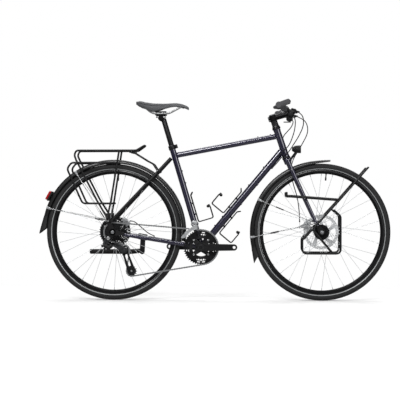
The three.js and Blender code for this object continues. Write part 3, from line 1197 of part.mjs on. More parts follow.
const saddleCushion = (() => {
  const form = new THREE.SphereGeometry(1, saddle.sides, saddle.sections);
  form.rotateZ(Math.PI / 2);
  const place = form.getAttribute('position');
  for (let i = 0; i < place.count; i += 1) {
    const [x, y, z] = [place.getX(i), place.getY(i), place.getZ(i)];
    const share = Math.min(Math.max(0.5 + x / 2, 0), 1);
    const around = Math.atan2(z, y);
    const round = Math.hypot(y, z) > 0 ? 1 : 0;
    const widthShare = Math.sign(Math.cos(around)) * Math.pow(Math.abs(Math.cos(around)), 0.8);
    const upShare = Math.sin(around);
    const half = saddleHalf(share);
    const [top, under] = [saddleTop(share), saddleUnder(share)];
    const edge = top - saddle.skirtDrop;
    const height = upShare > 0
      ? edge + (top - edge) * Math.pow(upShare, 0.9)
      : edge + (under - edge) * Math.pow(-upShare, 1.4);
    const drawn = upShare < 0 ? 1 - 0.5 * Math.pow(-upShare, 2) : 1;
    place.setXYZ(i, saddle.noseX - saddle.length * (1 - share), round * half * widthShare * drawn,
      round ? height : edge);
  }
  return form;
})();
const saddleRail = pipe([
  at(saddle.railFrontX, saddle.railY * 0.3, saddle.railLift + saddle.railRadius * 2),
  at(saddle.clampFrontX, saddle.railY, saddle.railZ), at(saddle.clampBackX, saddle.railY, saddle.railZ),
  at(saddle.railBackX, saddle.railY, saddle.railLift + saddle.railRadius * 3),
], saddle.railRadius, { bend: saddle.railY, sides: 8 });
add('saddle', joined([saddleCushion, ...bothSides(saddleRail)]), finishes.saddleCover);

// Rear rack

const rack = rearRack;
const deckSide = [
  at(rack.deckBack, rack.deckHalf, rack.deckZ), at(rack.deckFront, rack.deckHalf, rack.deckZ),
  at(rack.stopX, rack.stopHalf, rack.stopZ),
];
const deckMiddle = at(rack.deckBack, 0, rack.deckZ);
const deck = pipe([
  deckMiddle, ...deckSide, ...deckSide.map(mirrored).reverse(), deckMiddle.clone().setY(-gap * 2),
], rack.tube, { bend: rack.bend, steps: 1 });
const deckBars = [];
for (let i = 0; i < rack.crossbars; i += 1) {
  const x = rack.deckBack + (rack.deckFront - rack.deckBack) * i / (rack.crossbars - 1);
  deckBars.push(crossRod(at(x, 0, rack.deckZ), -rack.deckHalf, rack.deckHalf,
    rack.crossbarRadius, pipeSides));
}
const rackFoot = at(rack.footX, rack.footHalf, rack.footZ);
const backStrut = pipe([
  at(rack.deckBack + rack.tube, rack.deckHalf, rack.deckZ),
  at(rack.strutTopX, rack.sideY, rack.strutTopZ), at(rack.backKneeX, rack.sideY, rack.kneeZ),
  rackFoot,
], rack.tube, { bend: rack.bend, steps: 1 });
const midStrut = pipe([
  at(rack.midTopX, rack.deckHalf, rack.deckZ), at(rack.midKneeX, rack.sideY, rack.kneeZ), rackFoot,
], rack.tube, { bend: rack.bend * 2, steps: 1 });
const pannierRail = pipe([
  at(rack.railFront, rack.sideY, rack.railTop),
  at(rack.railFront - rack.bend, rack.railHalf, rack.railTop),
  at(rack.railBack, rack.railHalf, rack.railTop), at(rack.railHipX, rack.railHalf, rack.railHipZ),
  at(rack.railKneeX, rack.railHalf, rack.railFoot),
  at(rack.midKneeX - rack.tube, rack.railHalf, rack.railFoot),
  at(rack.midKneeX + rack.tube, rack.sideY, rack.railFoot),
], rack.tube, { bend: rack.bend, steps: 1 });
const footEye = link([rack.footX, rack.footZ], rack.footEye,
  [dropout.eyeletX, rearAxle.z + dropout.eyeletZ], rack.footEye, dropoutOuter + gap,
  rack.footHalf + rack.tube);
const rackArm = pipe([
  at(rack.armStartX, rack.armY, rack.armStartZ), at(rack.armKneeX, rack.armY, rack.armKneeZ),
  at(rack.armEndX, rack.armY, rack.armEndZ),
], rack.armRadius, { bend: rack.bend, sides: wireSides });
const armStart = crossRod(at(rack.armStartX, 0, rack.armStartZ), rack.armY - rack.armRadius,
  rack.deckHalf, rack.armRadius, 6);
const stayAtArm = stayTop.clone().lerp(stayFoot, (stayTop.z - rack.armEndZ) / (stayTop.z - stayFoot.z));
const armEye = crossRod(at(rack.armEndX, 0, rack.armEndZ), rack.armY + rack.armRadius,
  stayAtArm.y, rack.armEyeRadius, 8);
add('rear_rack', cutBy([
  deck, ...deckBars,
  ...[backStrut, midStrut, pannierRail, footEye, rackArm, armStart, armEye].flatMap(bothSides),
], bothSides(rod(stayTop, stayFoot, seatStay.radius + gap, { sides: 12 }))), finishes.blackMetal);

// Front low-rider racks, one on each fork blade

const low = frontRack;
const lowRider = joined([
  pipe([at(low.barBackX, low.y, low.hookTop), at(low.barBackX, low.y, low.barBackZ),
    at(low.barBackX + low.bend, low.y, low.barBackZ), at(low.barFrontX, low.y, low.barFrontZ)],
  low.barRadius, { bend: low.barRadius, steps: 1 }),
  pipe([at(low.tipX, low.y, low.tipZ), at(low.joinX, low.y, low.joinZ),
    at(low.footX + low.tube, low.y, low.loopBackZ)], low.tube, { bend: low.bend, steps: 1 }),
  pipe([
    at(low.loopTopX, low.y, low.loopTopZ), at(low.loopFrontX, low.y, low.loopShoulderZ),
    at(low.loopFrontX, low.y, low.loopBottomZ), at(low.footX, low.y, low.loopBottomZ),
    at(low.footX, low.y, low.loopBackZ), at(low.eyeX, low.y, low.eyeZ),
  ], low.tube, { bend: low.bend, steps: 1 }),
  pipe([at(low.eyeX, low.y, low.eyeZ), at(low.strutX, low.y, low.loopBottomZ)], low.tube),
  crossRod(at(low.eyeX, 0, low.eyeZ), forkDropout + fork.dropoutThick + gap, low.y,
    low.bossRadius, pipeSides),
  crossRod(at(low.bladeX, 0, low.barBackZ - low.barRadius), fork.bladeTopY + fork.bladeTopRadius,
    low.y, low.bossRadius, pipeSides),
]);
const bladeClear = rod(bladeTop, bladeFoot, fork.bladeTopRadius + gap,
  { endRadius: fork.bladeFootRadius + gap, sides: 12 });
const leftLowRider = geometryOf(solidOf(lowRider).subtract(solidOf(bladeClear)));
add('front_rack_left', leftLowRider, finishes.blackMetal);
add('front_rack_right', mirrorCopy(leftLowRider), finishes.blackMetal);

// Lights

const lampFront = headlight.x + headlight.length / 2;
const lampBack = headlight.x - headlight.length / 2;
const lampBody = new THREE.LatheGeometry([
  [0, 0], [headlight.radius * headlight.backShare, 0],
  [headlight.radius * headlight.waistShare, headlight.length * headlight.waistPlace],
  [headlight.radius, headlight.length * headlight.shoulderPlace],
  [headlight.radius, headlight.length], [0, headlight.length],
].map(([r, y]) => new THREE.Vector2(r, y)), 16);
lampBody.rotateZ(-Math.PI / 2).translate(lampBack, 0, headlight.z);
const lampEar = crossRod(at(headlight.pivotX, 0, headlight.pivotZ),
  -headlight.strapY + gap, headlight.strapY - gap, headlight.strapWide / 2, 12);
const lampNeck = rod(at(headlight.pivotX, 0, headlight.pivotZ), at(headlight.x, 0, headlight.z),
  headlight.strapWide / 3, { sides: 8 });
add('headlight', joined([lampBody, lampEar, lampNeck]), finishes.blackPlastic);

const lightOut = at(Math.cos(toRadians(rearLight.angle)), 0, Math.sin(toRadians(rearLight.angle)));
const lightRoot = along(rearAxle, lightOut, gap * 2 + guardSurface(mudguard.rearRadius,
  mudguard.rearStart, mudguard.rearEnd, rearLight.angle));
const rearLamp = new THREE.BoxGeometry(rearLight.deep, rearLight.wide, rearLight.high);
rearLamp.rotateY(toRadians(90 - rearLight.angle) + Math.PI / 2);
const lightMiddle = along(lightRoot, lightOut, rearLight.deep / 2 + rearLight.stand);
rearLamp.translate(lightMiddle.x, 0, lightMiddle.z);
const lightFoot = rod(lightRoot, lightMiddle, rearLight.wide / 6, { sides: 8 });
add('rear_light', joined([rearLamp, lightFoot]), finishes.redLens);

// Disc brake callipers and their arms

for (const { name, centre, hub, angle, middle } of [frontCalliper, rearCalliper]) {
  const block = new THREE.BoxGeometry(caliper.deep, caliper.outerHalf + caliper.innerHalf,
    caliper.length);
  block.rotateY(-toRadians(angle)).translate(middle.x,
    hub.rotorPlane + (caliper.outerHalf - caliper.innerHalf) / 2, middle.z);
  const slotTool = crossRod(centre, hub.rotorPlane - caliper.slotHalf,
    hub.rotorPlane + caliper.slotHalf, hub.rotorRadius + caliper.slotHalf, wheel.facets);
  add(`${name}_brake_caliper`, cutBy([block], [slotTool]), finishes.silver);
  const outerFace = hub.rotorPlane + caliper.outerHalf + caliper.armGap;
  const armWay = toRadians(caliper.armAngle);
  const armEnd = [middle.x + caliper.armLength * Math.cos(armWay),
    middle.z + caliper.armLength * Math.sin(armWay)];
  add(`${name}_brake_arm`, link([middle.x, middle.z], caliper.armWide, armEnd, caliper.armWide / 2,
    outerFace, outerFace + caliper.armThick), finishes.silver);
}

// Kickstand on the left chain stay, folded back

const ks = kickstand;
const stayAtStand = chainStayEnds[0].clone().lerp(chainStayEnds[1],
  (chainStay.frontX - ks.bracketX) / (chainStay.frontX - chainStay.backX));
const standBlock = new THREE.BoxGeometry(ks.bracketLength, ks.bracketWide, ks.bracketHigh);
standBlock.translate(stayAtStand.x, stayAtStand.y, stayAtStand.z);
const headInner = ks.headY - ks.headThick / 2;
const headOuter = ks.headY + ks.headThick / 2;
const standPivot = at(ks.pivotX, ks.headY, ks.pivotZ);
// The pin leans, so that the leg swings outwards on its way down.
const leaned = geometry => geometry.translate(-standPivot.x, -standPivot.y, -standPivot.z)
  .rotateX(toRadians(ks.pinTilt)).translate(standPivot.x, standPivot.y, standPivot.z);
add('kickstand_bracket', cutBy([
  standBlock,
  leaned(link([stayAtStand.x, stayAtStand.z - ks.bracketHigh / 2], ks.headRadius,
    [ks.pivotX, ks.pivotZ], ks.headRadius, headInner, headOuter)),
], [
  oneChainStay(gap),
  leaned(crossRod(standPivot, headInner - overrun, headOuter + overrun,
    boreFor(ks.boltRadius, 8), 8)),
]), finishes.blackMetal);
add('kickstand_leg', leaned(joined([
  crossRod(standPivot, headOuter + gap, ks.legY + ks.legRadius, ks.legRadius, 10),
  crossRod(standPivot, headInner, ks.legY, ks.boltRadius, 8),
  pipe([at(ks.pivotX, ks.legY, ks.pivotZ), at(ks.pivotX - ks.headLength, ks.legY,
    ks.pivotZ - ks.legDrop), at(ks.pivotX - ks.legLength, ks.legY, ks.pivotZ - ks.legDrop)],
  ks.legRadius, { bend: ks.headLength, sides: 8 }),
])), finishes.blackMetal);

// Bottle cages of bent wire, drawn standing up at a tube's face: +X away from the tube, +Z up

const cageGeometry = () => {
  const depth = 2 * bottle.radius + 2 * bottle.wire;
  const back = bottle.standOff;
  const frontX = back + depth;
  const side = pipe([
    at(back, bottle.backHalf, bottle.height), at(back, bottle.backHalf, 0),
    at(frontX, bottle.backHalf, 0), at(frontX, bottle.backHalf, bottle.front),
    at(frontX, -bottle.backHalf, bottle.front), at(frontX, -bottle.backHalf, 0),
    at(back, -bottle.backHalf, 0), at(back, -bottle.backHalf, bottle.height),
    at(back + bottle.lip, -bottle.backHalf, bottle.height + bottle.lip),
    at(back + bottle.lip, bottle.backHalf, bottle.height + bottle.lip),
    at(back, bottle.backHalf, bottle.height - bottle.wire),
  ], bottle.wire, { sides: pipeSides, bend: bottle.bend, steps: 1 });
  const middle = back + depth / 2;
  const reach = depth / 2;
  const startAngle = Math.asin(bottle.backHalf / reach) * 180 / Math.PI;
  const hoop = arcPoints(middle, 0, reach, startAngle, 180 - startAngle, bottle.hoopSteps)
    .map(([x, y]) => at(x, y, bottle.front - bottle.wire));
  const hoopPipe = swept(hoop, ringShape(bottle.wire, wireSides), at(0, 0, 1));
  const strap = new THREE.BoxGeometry(bottle.wire, bottle.backHalf * 2, bottle.height / 2);
  strap.translate(back, 0, bottle.height / 2);
  const bosses = bottle.bossShares.map(share => rod(at(0, 0, bottle.height * share),
    at(back, 0, bottle.height * share), bottle.bossRadius, { sides: 8 }));
  return joined([side, ...bothSides(hoopPipe), strap, ...bosses]);
};
const cageOn = (geometry, foot, up, away) => {
  const across = up.clone().cross(away);
  const turn = new THREE.Matrix4().makeBasis(away, across, up);
  const placed = positionsOnly(geometry);
  placed.applyMatrix4(turn);
  return geometryOf(solidOf(placed.translate(foot.x, foot.y, foot.z)));
};
const cage = cageGeometry();
const downUp = downTubeTop.clone().sub(bracketCentre).normalize();
const downAway = at(-downUp.z, 0, downUp.x);
add('bottle_cage_seat_tube', cageOn(cage, along(along(bracketCentre, seatUp, bottle.seatPlace),
  seatAhead, seatTube.radius + gap), seatUp, seatAhead), finishes.blackMetal);
add('bottle_cage_down_tube', cageOn(cage, along(along(bracketCentre, downUp, bottle.downPlace),
  downAway, downTube.radius + gap), downUp, downAway), finishes.blackMetal);
add('bottle_cage_lower', cageOn(cage, along(along(bracketCentre, downUp, bottle.lowerPlace),
  downAway, -downTube.radius - gap), downUp, downAway.clone().negate()), finishes.blackMetal);

// Cables: each from its control to the frame, and the two housings that the frame carries

const cableAlong = points => {
  const curve = new THREE.CatmullRomCurve3(points);
  return swept(curve.getPoints(cable.steps), ringShape(cable.radius, cable.sides));
};
const controlPoint = (side, ahead, out, up) => {
  const local = at(ahead, out, up).applyMatrix4(barTurn);
  const place = along(barEnd, barOut, -controlPlace).add(local);
  return at(place.x, side * place.y, place.z);
};
const leverOutlet = side => controlPoint(side, control.bodyForward + bar.radius + cable.endGap,
  -control.bodyWidth * control.outletShare, -control.pivotDown);
const podOutlet = side => controlPoint(side, control.bodyForward / 2,
  -control.podWidth - control.clampWidth / 2 - cable.endGap, -control.podDown / 2 - bar.radius / 2);

// A housing through guide points of [forward, left, up]
const housing = (name, start, guides, ends = []) => add(name, cableAlong([
  ...start, ...guides.map(([x, y, z]) => at(x, y, z)), ...ends,
]), finishes.blackPlastic);
housing('front_brake_cable', [leverOutlet(1)], cable.frontBrake);
housing('rear_brake_cable', [leverOutlet(-1)], cable.rearBrake);
housing('left_shift_cable', [podOutlet(1)], cable.leftShift);
housing('right_shift_cable', [podOutlet(-1)], cable.rightShift);
housing('rear_brake_run', [], cable.stayToBrake);

// The bicycle is centred on its own length

bicycle.updateMatrixWorld(true);
const reach = new THREE.Box3().setFromObject(bicycle);
bicycle.position.x = -(reach.min.x + reach.max.x) / 2;

export default bicycle;
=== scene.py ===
# Looks of the touring bicycle. Sizes are millimetres from the rear axle along X, from the middle
# plane along Y and from the ground along Z; each finished piece is put into the frame's metres.
import math

import bmesh
import bpy
from mathutils import Matrix, Vector


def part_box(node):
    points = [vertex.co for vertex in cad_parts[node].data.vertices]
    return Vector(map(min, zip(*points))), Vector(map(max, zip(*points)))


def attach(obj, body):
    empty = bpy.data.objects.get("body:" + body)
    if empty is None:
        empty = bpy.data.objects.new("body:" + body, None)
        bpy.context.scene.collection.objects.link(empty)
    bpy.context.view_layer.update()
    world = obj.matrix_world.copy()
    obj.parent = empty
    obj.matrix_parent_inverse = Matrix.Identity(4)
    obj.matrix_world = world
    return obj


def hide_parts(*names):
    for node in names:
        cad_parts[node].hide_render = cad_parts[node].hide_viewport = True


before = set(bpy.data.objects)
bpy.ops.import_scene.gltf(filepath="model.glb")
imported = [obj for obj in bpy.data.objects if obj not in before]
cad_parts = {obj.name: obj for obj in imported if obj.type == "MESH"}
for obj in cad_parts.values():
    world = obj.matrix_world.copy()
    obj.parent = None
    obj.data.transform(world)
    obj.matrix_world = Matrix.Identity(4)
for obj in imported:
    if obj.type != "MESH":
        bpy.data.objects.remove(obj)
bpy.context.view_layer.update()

axle_low, axle_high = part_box("rear_axle")
TO_ROW = Matrix.Translation(((axle_low.x + axle_high.x) / 2, 0, 0)) @ Matrix.Scale(0.001, 4)
TO_MM = TO_ROW.inverted()
ALONG_Y = Vector((0, 1, 0))
UP = Vector((0, 0, 1))
FULL = 2 * math.pi


def at(x, y, z):
    return Vector((x, y, z))


def middle_of(node):
    low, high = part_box(node)
    return TO_MM @ ((low + high) / 2)


def flipped(point):
    return Vector((point[0], -point[1], point[2]))


def toward(degrees):
    """The direction at an angle up from straight ahead, in the middle plane."""
    return at(math.cos(math.radians(degrees)), 0, math.sin(math.radians(degrees)))


def quarter_on(way):
    """The direction a quarter turn up from another one in the middle plane."""
    return at(-way.z, 0, way.x)


# Places of the frame

AXLE_Z = 351
SEAT_LENGTH, HEAD_LENGTH, CUPS, SPACERS = 534, 150, 17, 27
TOP_RADIUS, DOWN_RADIUS, SEAT_RADIUS = 14.3, 17.5, 15.5
HEAD_RADIUS, SHELL_RADIUS = 18, 20.5
REAR = at(0, 0, AXLE_Z)
FRONT = at(1068, 0, AXLE_Z)
BRACKET = at(452, 0, 274)
SEAT_ANGLE, HEAD_ANGLE = math.radians(73.46), math.radians(71.4)
SEAT_UP = at(-math.cos(SEAT_ANGLE), 0, math.sin(SEAT_ANGLE))
SEAT_AHEAD = at(SEAT_UP.z, 0, -SEAT_UP.x)
STEER_UP = at(-math.cos(HEAD_ANGLE), 0, math.sin(HEAD_ANGLE))
STEER_AHEAD = at(STEER_UP.z, 0, -STEER_UP.x)
SEAT_TOP = BRACKET + SEAT_UP * SEAT_LENGTH
HEAD_FOOT = FRONT + STEER_UP * 423.5 - STEER_AHEAD * 49


def on_steerer(up, ahead=0, y=0):
    return HEAD_FOOT + STEER_UP * up + STEER_AHEAD * ahead + at(0, y, 0)


STEM_FOOT = HEAD_LENGTH + CUPS + SPACERS
BAR_CENTRE = on_steerer(STEM_FOOT + 15.5) + at(92, 0, 26)
BAR_END = BAR_CENTRE + at(-64, 302, 19)
BAR_KNEE = BAR_CENTRE + at(0, 60, 0)
BAR_OUT = (BAR_END - BAR_KNEE).normalized()
BAR_AHEAD = (at(1, 0, 0) - BAR_OUT * BAR_OUT.x).normalized()
BAR_UP = BAR_AHEAD.cross(BAR_OUT)
GRIP_LENGTH, GRIP_CAP = 128, 12
CONTROL_AT = GRIP_LENGTH - GRIP_CAP + 26


def spot_on_bar(distance, side=1):
    """Axes of the bar at a distance in from its end: X ahead, Y outwards, Z up."""
    start = BAR_END - BAR_OUT * distance
    axes = Matrix((BAR_AHEAD, BAR_OUT, BAR_UP)).transposed().to_4x4()
    spot = Matrix.Translation(start) @ axes
    return spot if side > 0 else Matrix.Scale(-1, 4, ALONG_Y) @ spot


# Shaping


def only(kind, geometry):
    """The verts, edges or faces among what an operator made."""
    return [g for g in geometry if isinstance(g, kind)]


def circle_points(x, z, radius, sides, start=0):
    return [(x + radius * math.cos(start + FULL * i / sides),
             z + radius * math.sin(start + FULL * i / sides)) for i in range(sides)]


def arc(x, z, radius, first, last, steps):
    turn = [math.radians(first + (last - first) * i / steps) for i in range(steps + 1)]
    return [(x + radius * math.cos(a), z + radius * math.sin(a)) for a in turn]


def link_outline(start, start_radius, end, end_radius, steps=8):
    heading = math.degrees(math.atan2(end[1] - start[1], end[0] - start[0]))
    reach = math.hypot(end[0] - start[0], end[1] - start[1])
    lean = math.degrees(math.acos((start_radius - end_radius) / reach))
    return (arc(*start, start_radius, heading + lean, heading + 360 - lean, steps)
            + arc(*end, end_radius, heading - lean, heading + lean, steps))


def rounded(corners, bend, steps=6):
    """Corner points with each inner corner turned into a bend."""
    corners = [Vector(c) for c in corners]
    path = [corners[0]]
    for before, here, after in zip(corners, corners[1:], corners[2:]):
        back, ahead = before - here, after - here
        turn = math.pi - back.angle(ahead)
        reach = min(bend * math.tan(turn / 2), min(back.length, ahead.length) * 0.48)
        if reach < 0.02:
            path.append(here)
            continue
        start, end = here + back.normalized() * reach, here + ahead.normalized() * reach
        for i in range(steps + 1):
            t = i / steps
            path.append(start * (1 - t) ** 2 + here * 2 * t * (1 - t) + end * t ** 2)
    return path + [corners[-1]]


def smooth_curve(points, per_span=8):
    """A smooth curve through every point."""
    points = [Vector(p) for p in points]
    padded = [points[0] * 2 - points[1], *points, points[-1] * 2 - points[-2]]
    path = []
    for a, b, c, d in zip(padded, padded[1:], padded[2:], padded[3:]):
        for i in range(per_span):
            t = i / per_span
            path.append(0.5 * ((2 * b) + (c - a) * t + (2 * a - 5 * b + 4 * c - d) * t ** 2
                               + (3 * b - a - 3 * c + d) * t ** 3))
    return path + [points[-1]]


def axes_along(path, across=None):
    """A frame at each point of a path, turning as little as it can, or with X kept near across."""
    ways = []
    for i, here in enumerate(path):
        before, after = path[max(i - 1, 0)], path[min(i + 1, len(path) - 1)]
        arriving = (here - before).normalized() if i else Vector()
        leaving = (after - here).normalized() if i < len(path) - 1 else Vector()
        ways.append((arriving + leaving).normalized())
    side = Vector(across) if across else ways[0].orthogonal()
    frames = []
    for here, way in zip(path, ways):
        aim = Vector(across) if across else side
        side = (aim - way * aim.dot(way)).normalized()
        axes = Matrix((side, way.cross(side), way)).transposed().to_4x4()
        frames.append(Matrix.Translation(here) @ axes)
    return frames


def sweep(bm, path, section, across=None, sizes=None, capped=True):
    """Extrudes a ring from point to point of a path. Section is a radius with sides, or points."""
    path = [Vector(p) for p in path]
    frames = axes_along(path, across)
    if sizes:
        frames = [f @ Matrix.Diagonal((*((s, s) if isinstance(s, (int, float)) else s), 1, 1))
                  for f, s in zip(frames, sizes)]
    if isinstance(section, tuple):
        radius, sides = section
        ring = bmesh.ops.create_circle(bm, segments=sides, radius=radius,
                                       matrix=frames[0])["verts"]
        edges = list({e for v in ring for e in v.link_edges})
    else:
        ring = [bm.verts.new(frames[0] @ Vector((u, v, 0))) for u, v in section]
        edges = [bm.edges.new(pair) for pair in zip(ring, ring[1:] + ring[:1])]
    first = edges
    for before, here in zip(frames, frames[1:]):
        made = bmesh.ops.extrude_edge_only(bm, edges=edges)["geom"]
        edges = only(bmesh.types.BMEdge, made)
        bmesh.ops.transform(bm, matrix=here @ before.inverted(),
                            verts=only(bmesh.types.BMVert, made))
    if capped:
        bmesh.ops.contextual_create(bm, geom=first)
        bmesh.ops.contextual_create(bm, geom=edges)


def pipe(bm, corners, radius, bend, sides):
    sweep(bm, rounded(corners, bend), (radius, sides))


def rod(bm, start, end, radius, end_radius=None, sides=28, edge=0):
    """A round bar, with its end edges softened if edge is given."""
    start, end = Vector(start), Vector(end)
    way = end - start
    turn = way.to_track_quat("Z", "Y").to_matrix().to_4x4()
    made = bmesh.ops.create_cone(
        bm, cap_ends=True, segments=sides, radius1=radius,
        radius2=radius if end_radius is None else end_radius, depth=way.length,
        matrix=Matrix.Translation((start + end) / 2) @ turn)["verts"]
    if edge:
        caps = {f for v in made for f in v.link_faces if len(f.verts) == sides}
        soften(bm, {e for f in caps for e in f.edges}, edge)


def cross_rod(bm, x, z, from_y, to_y, radius, sides=28, edge=0):
    rod(bm, at(x, from_y, z), at(x, to_y, z), radius, sides=sides, edge=edge)


def soften(bm, edges, width, segments=2):
    bmesh.ops.bevel(bm, geom=list(edges), offset=width, offset_type="OFFSET", segments=segments,
                    profile=0.5, affect="EDGES", material=-1, clamp_overlap=True)


def revolve(bm, profile, centre, axis=ALONG_Y, steps=64, ring=False):
    """Spins (radius, along) points about an axis; ring closes the profile on itself."""
    axis = Vector(axis).normalized()
    out = at(1, 0, 0) if abs(axis.x) < 0.5 else UP
    out = (out - axis * out.dot(axis)).normalized()
    verts = [bm.verts.new(Vector(centre) + out * r + axis * y) for r, y in profile]
    pairs = list(zip(verts, verts[1:])) + ([(verts[-1], verts[0])] if ring else [])
    edges = [bm.edges.new(pair) for pair in pairs]
    bmesh.ops.spin(bm, geom=verts + edges, cent=Vector(centre), axis=axis, angle=FULL,
                   steps=steps, use_merge=True)


def collar(bm, centre, axis, inner, outer, low, high, steps, edge=None):
    """A tube or washer; edge gives how far its rims are cut, inwards and along."""
    if edge:
        rim = [(outer - edge[0], low), (outer, low + edge[1]), (outer, high - edge[1]),
               (outer - edge[0], high)]
    else:
        rim = [(outer, low), (outer, high)]
    revolve(bm, [(inner, low), *rim, (inner, high)], centre, axis, steps, ring=True)


def plate(bm, outline, from_y, to_y, holes=(), edge=0, turn=None):
    """A flat plate in the XZ plane with holes through it and softened rims."""
    before = set(bm.faces)
    rims = []
    for loop in (outline, *holes):
        verts = [bm.verts.new((x, from_y, z)) for x, z in loop]
        rims += [bm.edges.new(pair) for pair in zip(verts, verts[1:] + verts[:1])]
    filled = bmesh.ops.triangle_fill(bm, use_beauty=True, edges=rims)["geom"]
    pushed = bmesh.ops.extrude_face_region(bm, geom=only(bmesh.types.BMFace, filled))["geom"]
    bmesh.ops.translate(bm, vec=(0, to_y - from_y, 0), verts=only(bmesh.types.BMVert, pushed))
    made = [f for f in bm.faces if f not in before]
    bmesh.ops.recalc_face_normals(bm, faces=made)
    edges = {e for f in made for e in f.edges}
    if edge:
        soften(bm, [e for e in edges if abs(e.verts[0].co.y - e.verts[1].co.y) < 1e-6
                    and len(e.link_faces) == 2 and e.calc_face_angle() > 0.6], edge, 1)
    if turn is not None:
        verts = {v for f in bm.faces if f not in before for v in f.verts}
        bmesh.ops.transform(bm, matrix=turn, verts=list(verts))


def link(bm, start, start_radius, end, end_radius, from_y, to_y, edge=0, holes=()):
    """A plate with two round ends."""
    plate(bm, link_outline(start, start_radius, end, end_radius), from_y, to_y, holes, edge)


def placed(centre, size, turn):
    """Where a unit shape goes, with its size and its turn about its own centre."""
    axes = turn.to_4x4() if turn is not None else Matrix.Identity(4)
    return Matrix.Translation(Vector(centre)) @ axes @ Matrix.Diagonal((*size, 1))


def block(bm, centre, size, turn=None, edge=1.0, segments=3):
    """A box with rounded edges."""
    made = bmesh.ops.create_cube(bm, size=1, matrix=placed(centre, size, turn))["verts"]
    if edge:
        soften(bm, {e for v in made for e in v.link_edges}, edge, segments)


def bolt(bm, head, way, radius, high, socket=0.5):
    """A round cap screw: head is the middle of its seat and way points out of it."""
    hole = radius * socket
    revolve(bm, [(0, 0), (radius, 0), (radius, high * 0.75), (radius * 0.86, high),
                 (hole * 1.1, high), (hole, high * 0.9), (hole, high * 0.35), (0, high * 0.35)],
            head, way, 20)


def ball(bm, centre, size, turn=None):
    bmesh.ops.create_uvsphere(bm, u_segments=24, v_segments=12, radius=1,
                              matrix=placed(centre, size, turn))


def about_y(degrees):
    return Matrix.Rotation(math.radians(degrees), 3, "Y")


def new_object(name, bm):
    """An object of the scene that takes over a finished bmesh."""
    mesh = bpy.data.meshes.new(name)
    bm.to_mesh(mesh)
    bm.free()
    obj = bpy.data.objects.new(name, mesh)
    bpy.context.scene.collection.objects.link(obj)
    return obj


def remeshed(obj, voxel):
    """Has the object's mesh built anew from small cubes, so that overlapping shapes merge."""
    remesh = obj.modifiers.new("Remesh", "REMESH")
    remesh.mode, remesh.voxel_size = "VOXEL", voxel


def relaxed(obj, rounds):
    """Has the object's mesh smoothed."""
    relax = obj.modifiers.new("Smooth", "SMOOTH")
    relax.factor, relax.iterations = 0.5, rounds


def modified_mesh(obj):
    """A mesh with the object's modifiers applied."""
    return bpy.data.meshes.new_from_object(
        obj.evaluated_get(bpy.context.evaluated_depsgraph_get()))


def piece(name, bm, material, body, stands_for=(), sharp=38):
    """Closes a mesh, puts it into the frame and lets it ride on a body."""
    bmesh.ops.remove_doubles(bm, verts=bm.verts, dist=0.004)
    bmesh.ops.recalc_face_normals(bm, faces=bm.faces)
    bm.transform(TO_ROW)
    obj = new_object(name, bm)
    obj.data.materials.append(material)
    obj.data.shade_smooth()
    obj.data.set_sharp_from_angle(angle=math.radians(sharp))
    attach(obj, body)
    if stands_for:
        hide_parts(*([stands_for] if isinstance(stands_for, str) else stands_for))
    return obj


def mirror_across(bm):
    """Adds the same shape on the other side of the middle plane."""
    copy = bmesh.ops.duplicate(bm, geom=bm.verts[:] + bm.edges[:] + bm.faces[:])["geom"]
    bmesh.ops.scale(bm, vec=(1, -1, 1), verts=only(bmesh.types.BMVert, copy))


# Finishes


def colour(code):
    """A linear colour from a six-figure code."""
    parts = [int(code[i:i + 2], 16) / 255 for i in (0, 2, 4)]
    return [c / 12.92 if c <= 0.04045 else ((c + 0.055) / 1.055) ** 2.4 for c in parts] + [1]


def new_group(name, inputs, outputs):
    group = bpy.data.node_groups.new(name, "ShaderNodeTree")
    for label, kind, value in inputs:
        socket = group.interface.new_socket(name=label, in_out="INPUT", socket_type=kind)
        if value is not None:
            socket.default_value = value
    for label, kind in outputs:
        group.interface.new_socket(name=label, in_out="OUTPUT", socket_type=kind)
    return group, group.nodes.new("NodeGroupInput"), group.nodes.new("NodeGroupOutput")


def node(tree, kind, settings=None, **values):
    """A node with its settings, and each named socket set to a value or fed by an output."""
    made = tree.nodes.new(kind)
    for key, value in (settings or {}).items():
        setattr(made, key, value)
    for key, value in values.items():
        socket = made.inputs[int(key[1:])] if key[0] == "i" and key[1:].isdigit() else made.inputs[
            key.replace("_", " ")]
        if isinstance(value, bpy.types.NodeSocket):
            tree.links.new(value, socket)
        else:
            socket.default_value = value
    return made


def math_node(tree, operation, first, second=0.0, third=None):
    values = {"i0": first, "i1": second}
    if third is not None:
        values["i2"] = third
    return node(tree, "ShaderNodeMath", {"operation": operation}, **values).outputs[0]


def make_grain_group():
    """Fine surface texture, as on moulded plastic, powder coat, rubber or leather."""
    group, given, out = new_group("Fine grain", [
        ("Vector", "NodeSocketVector", None), ("Scale", "NodeSocketFloat", 900.0),
        ("Cells", "NodeSocketFloat", 0.5)], [("Height", "NodeSocketFloat")])
    noise = node(group, "ShaderNodeTexNoise", Vector=given.outputs["Vector"],
                 Scale=given.outputs["Scale"], Detail=3.0)
    cells = node(group, "ShaderNodeTexVoronoi", Vector=given.outputs["Vector"],
                 Scale=given.outputs["Scale"])
    mixed = node(group, "ShaderNodeMix", {"data_type": "FLOAT"}, i0=given.outputs["Cells"],
                 i2=noise.outputs["Fac"], i3=cells.outputs["Distance"])
    group.links.new(mixed.outputs[0], out.inputs["Height"])
    return group


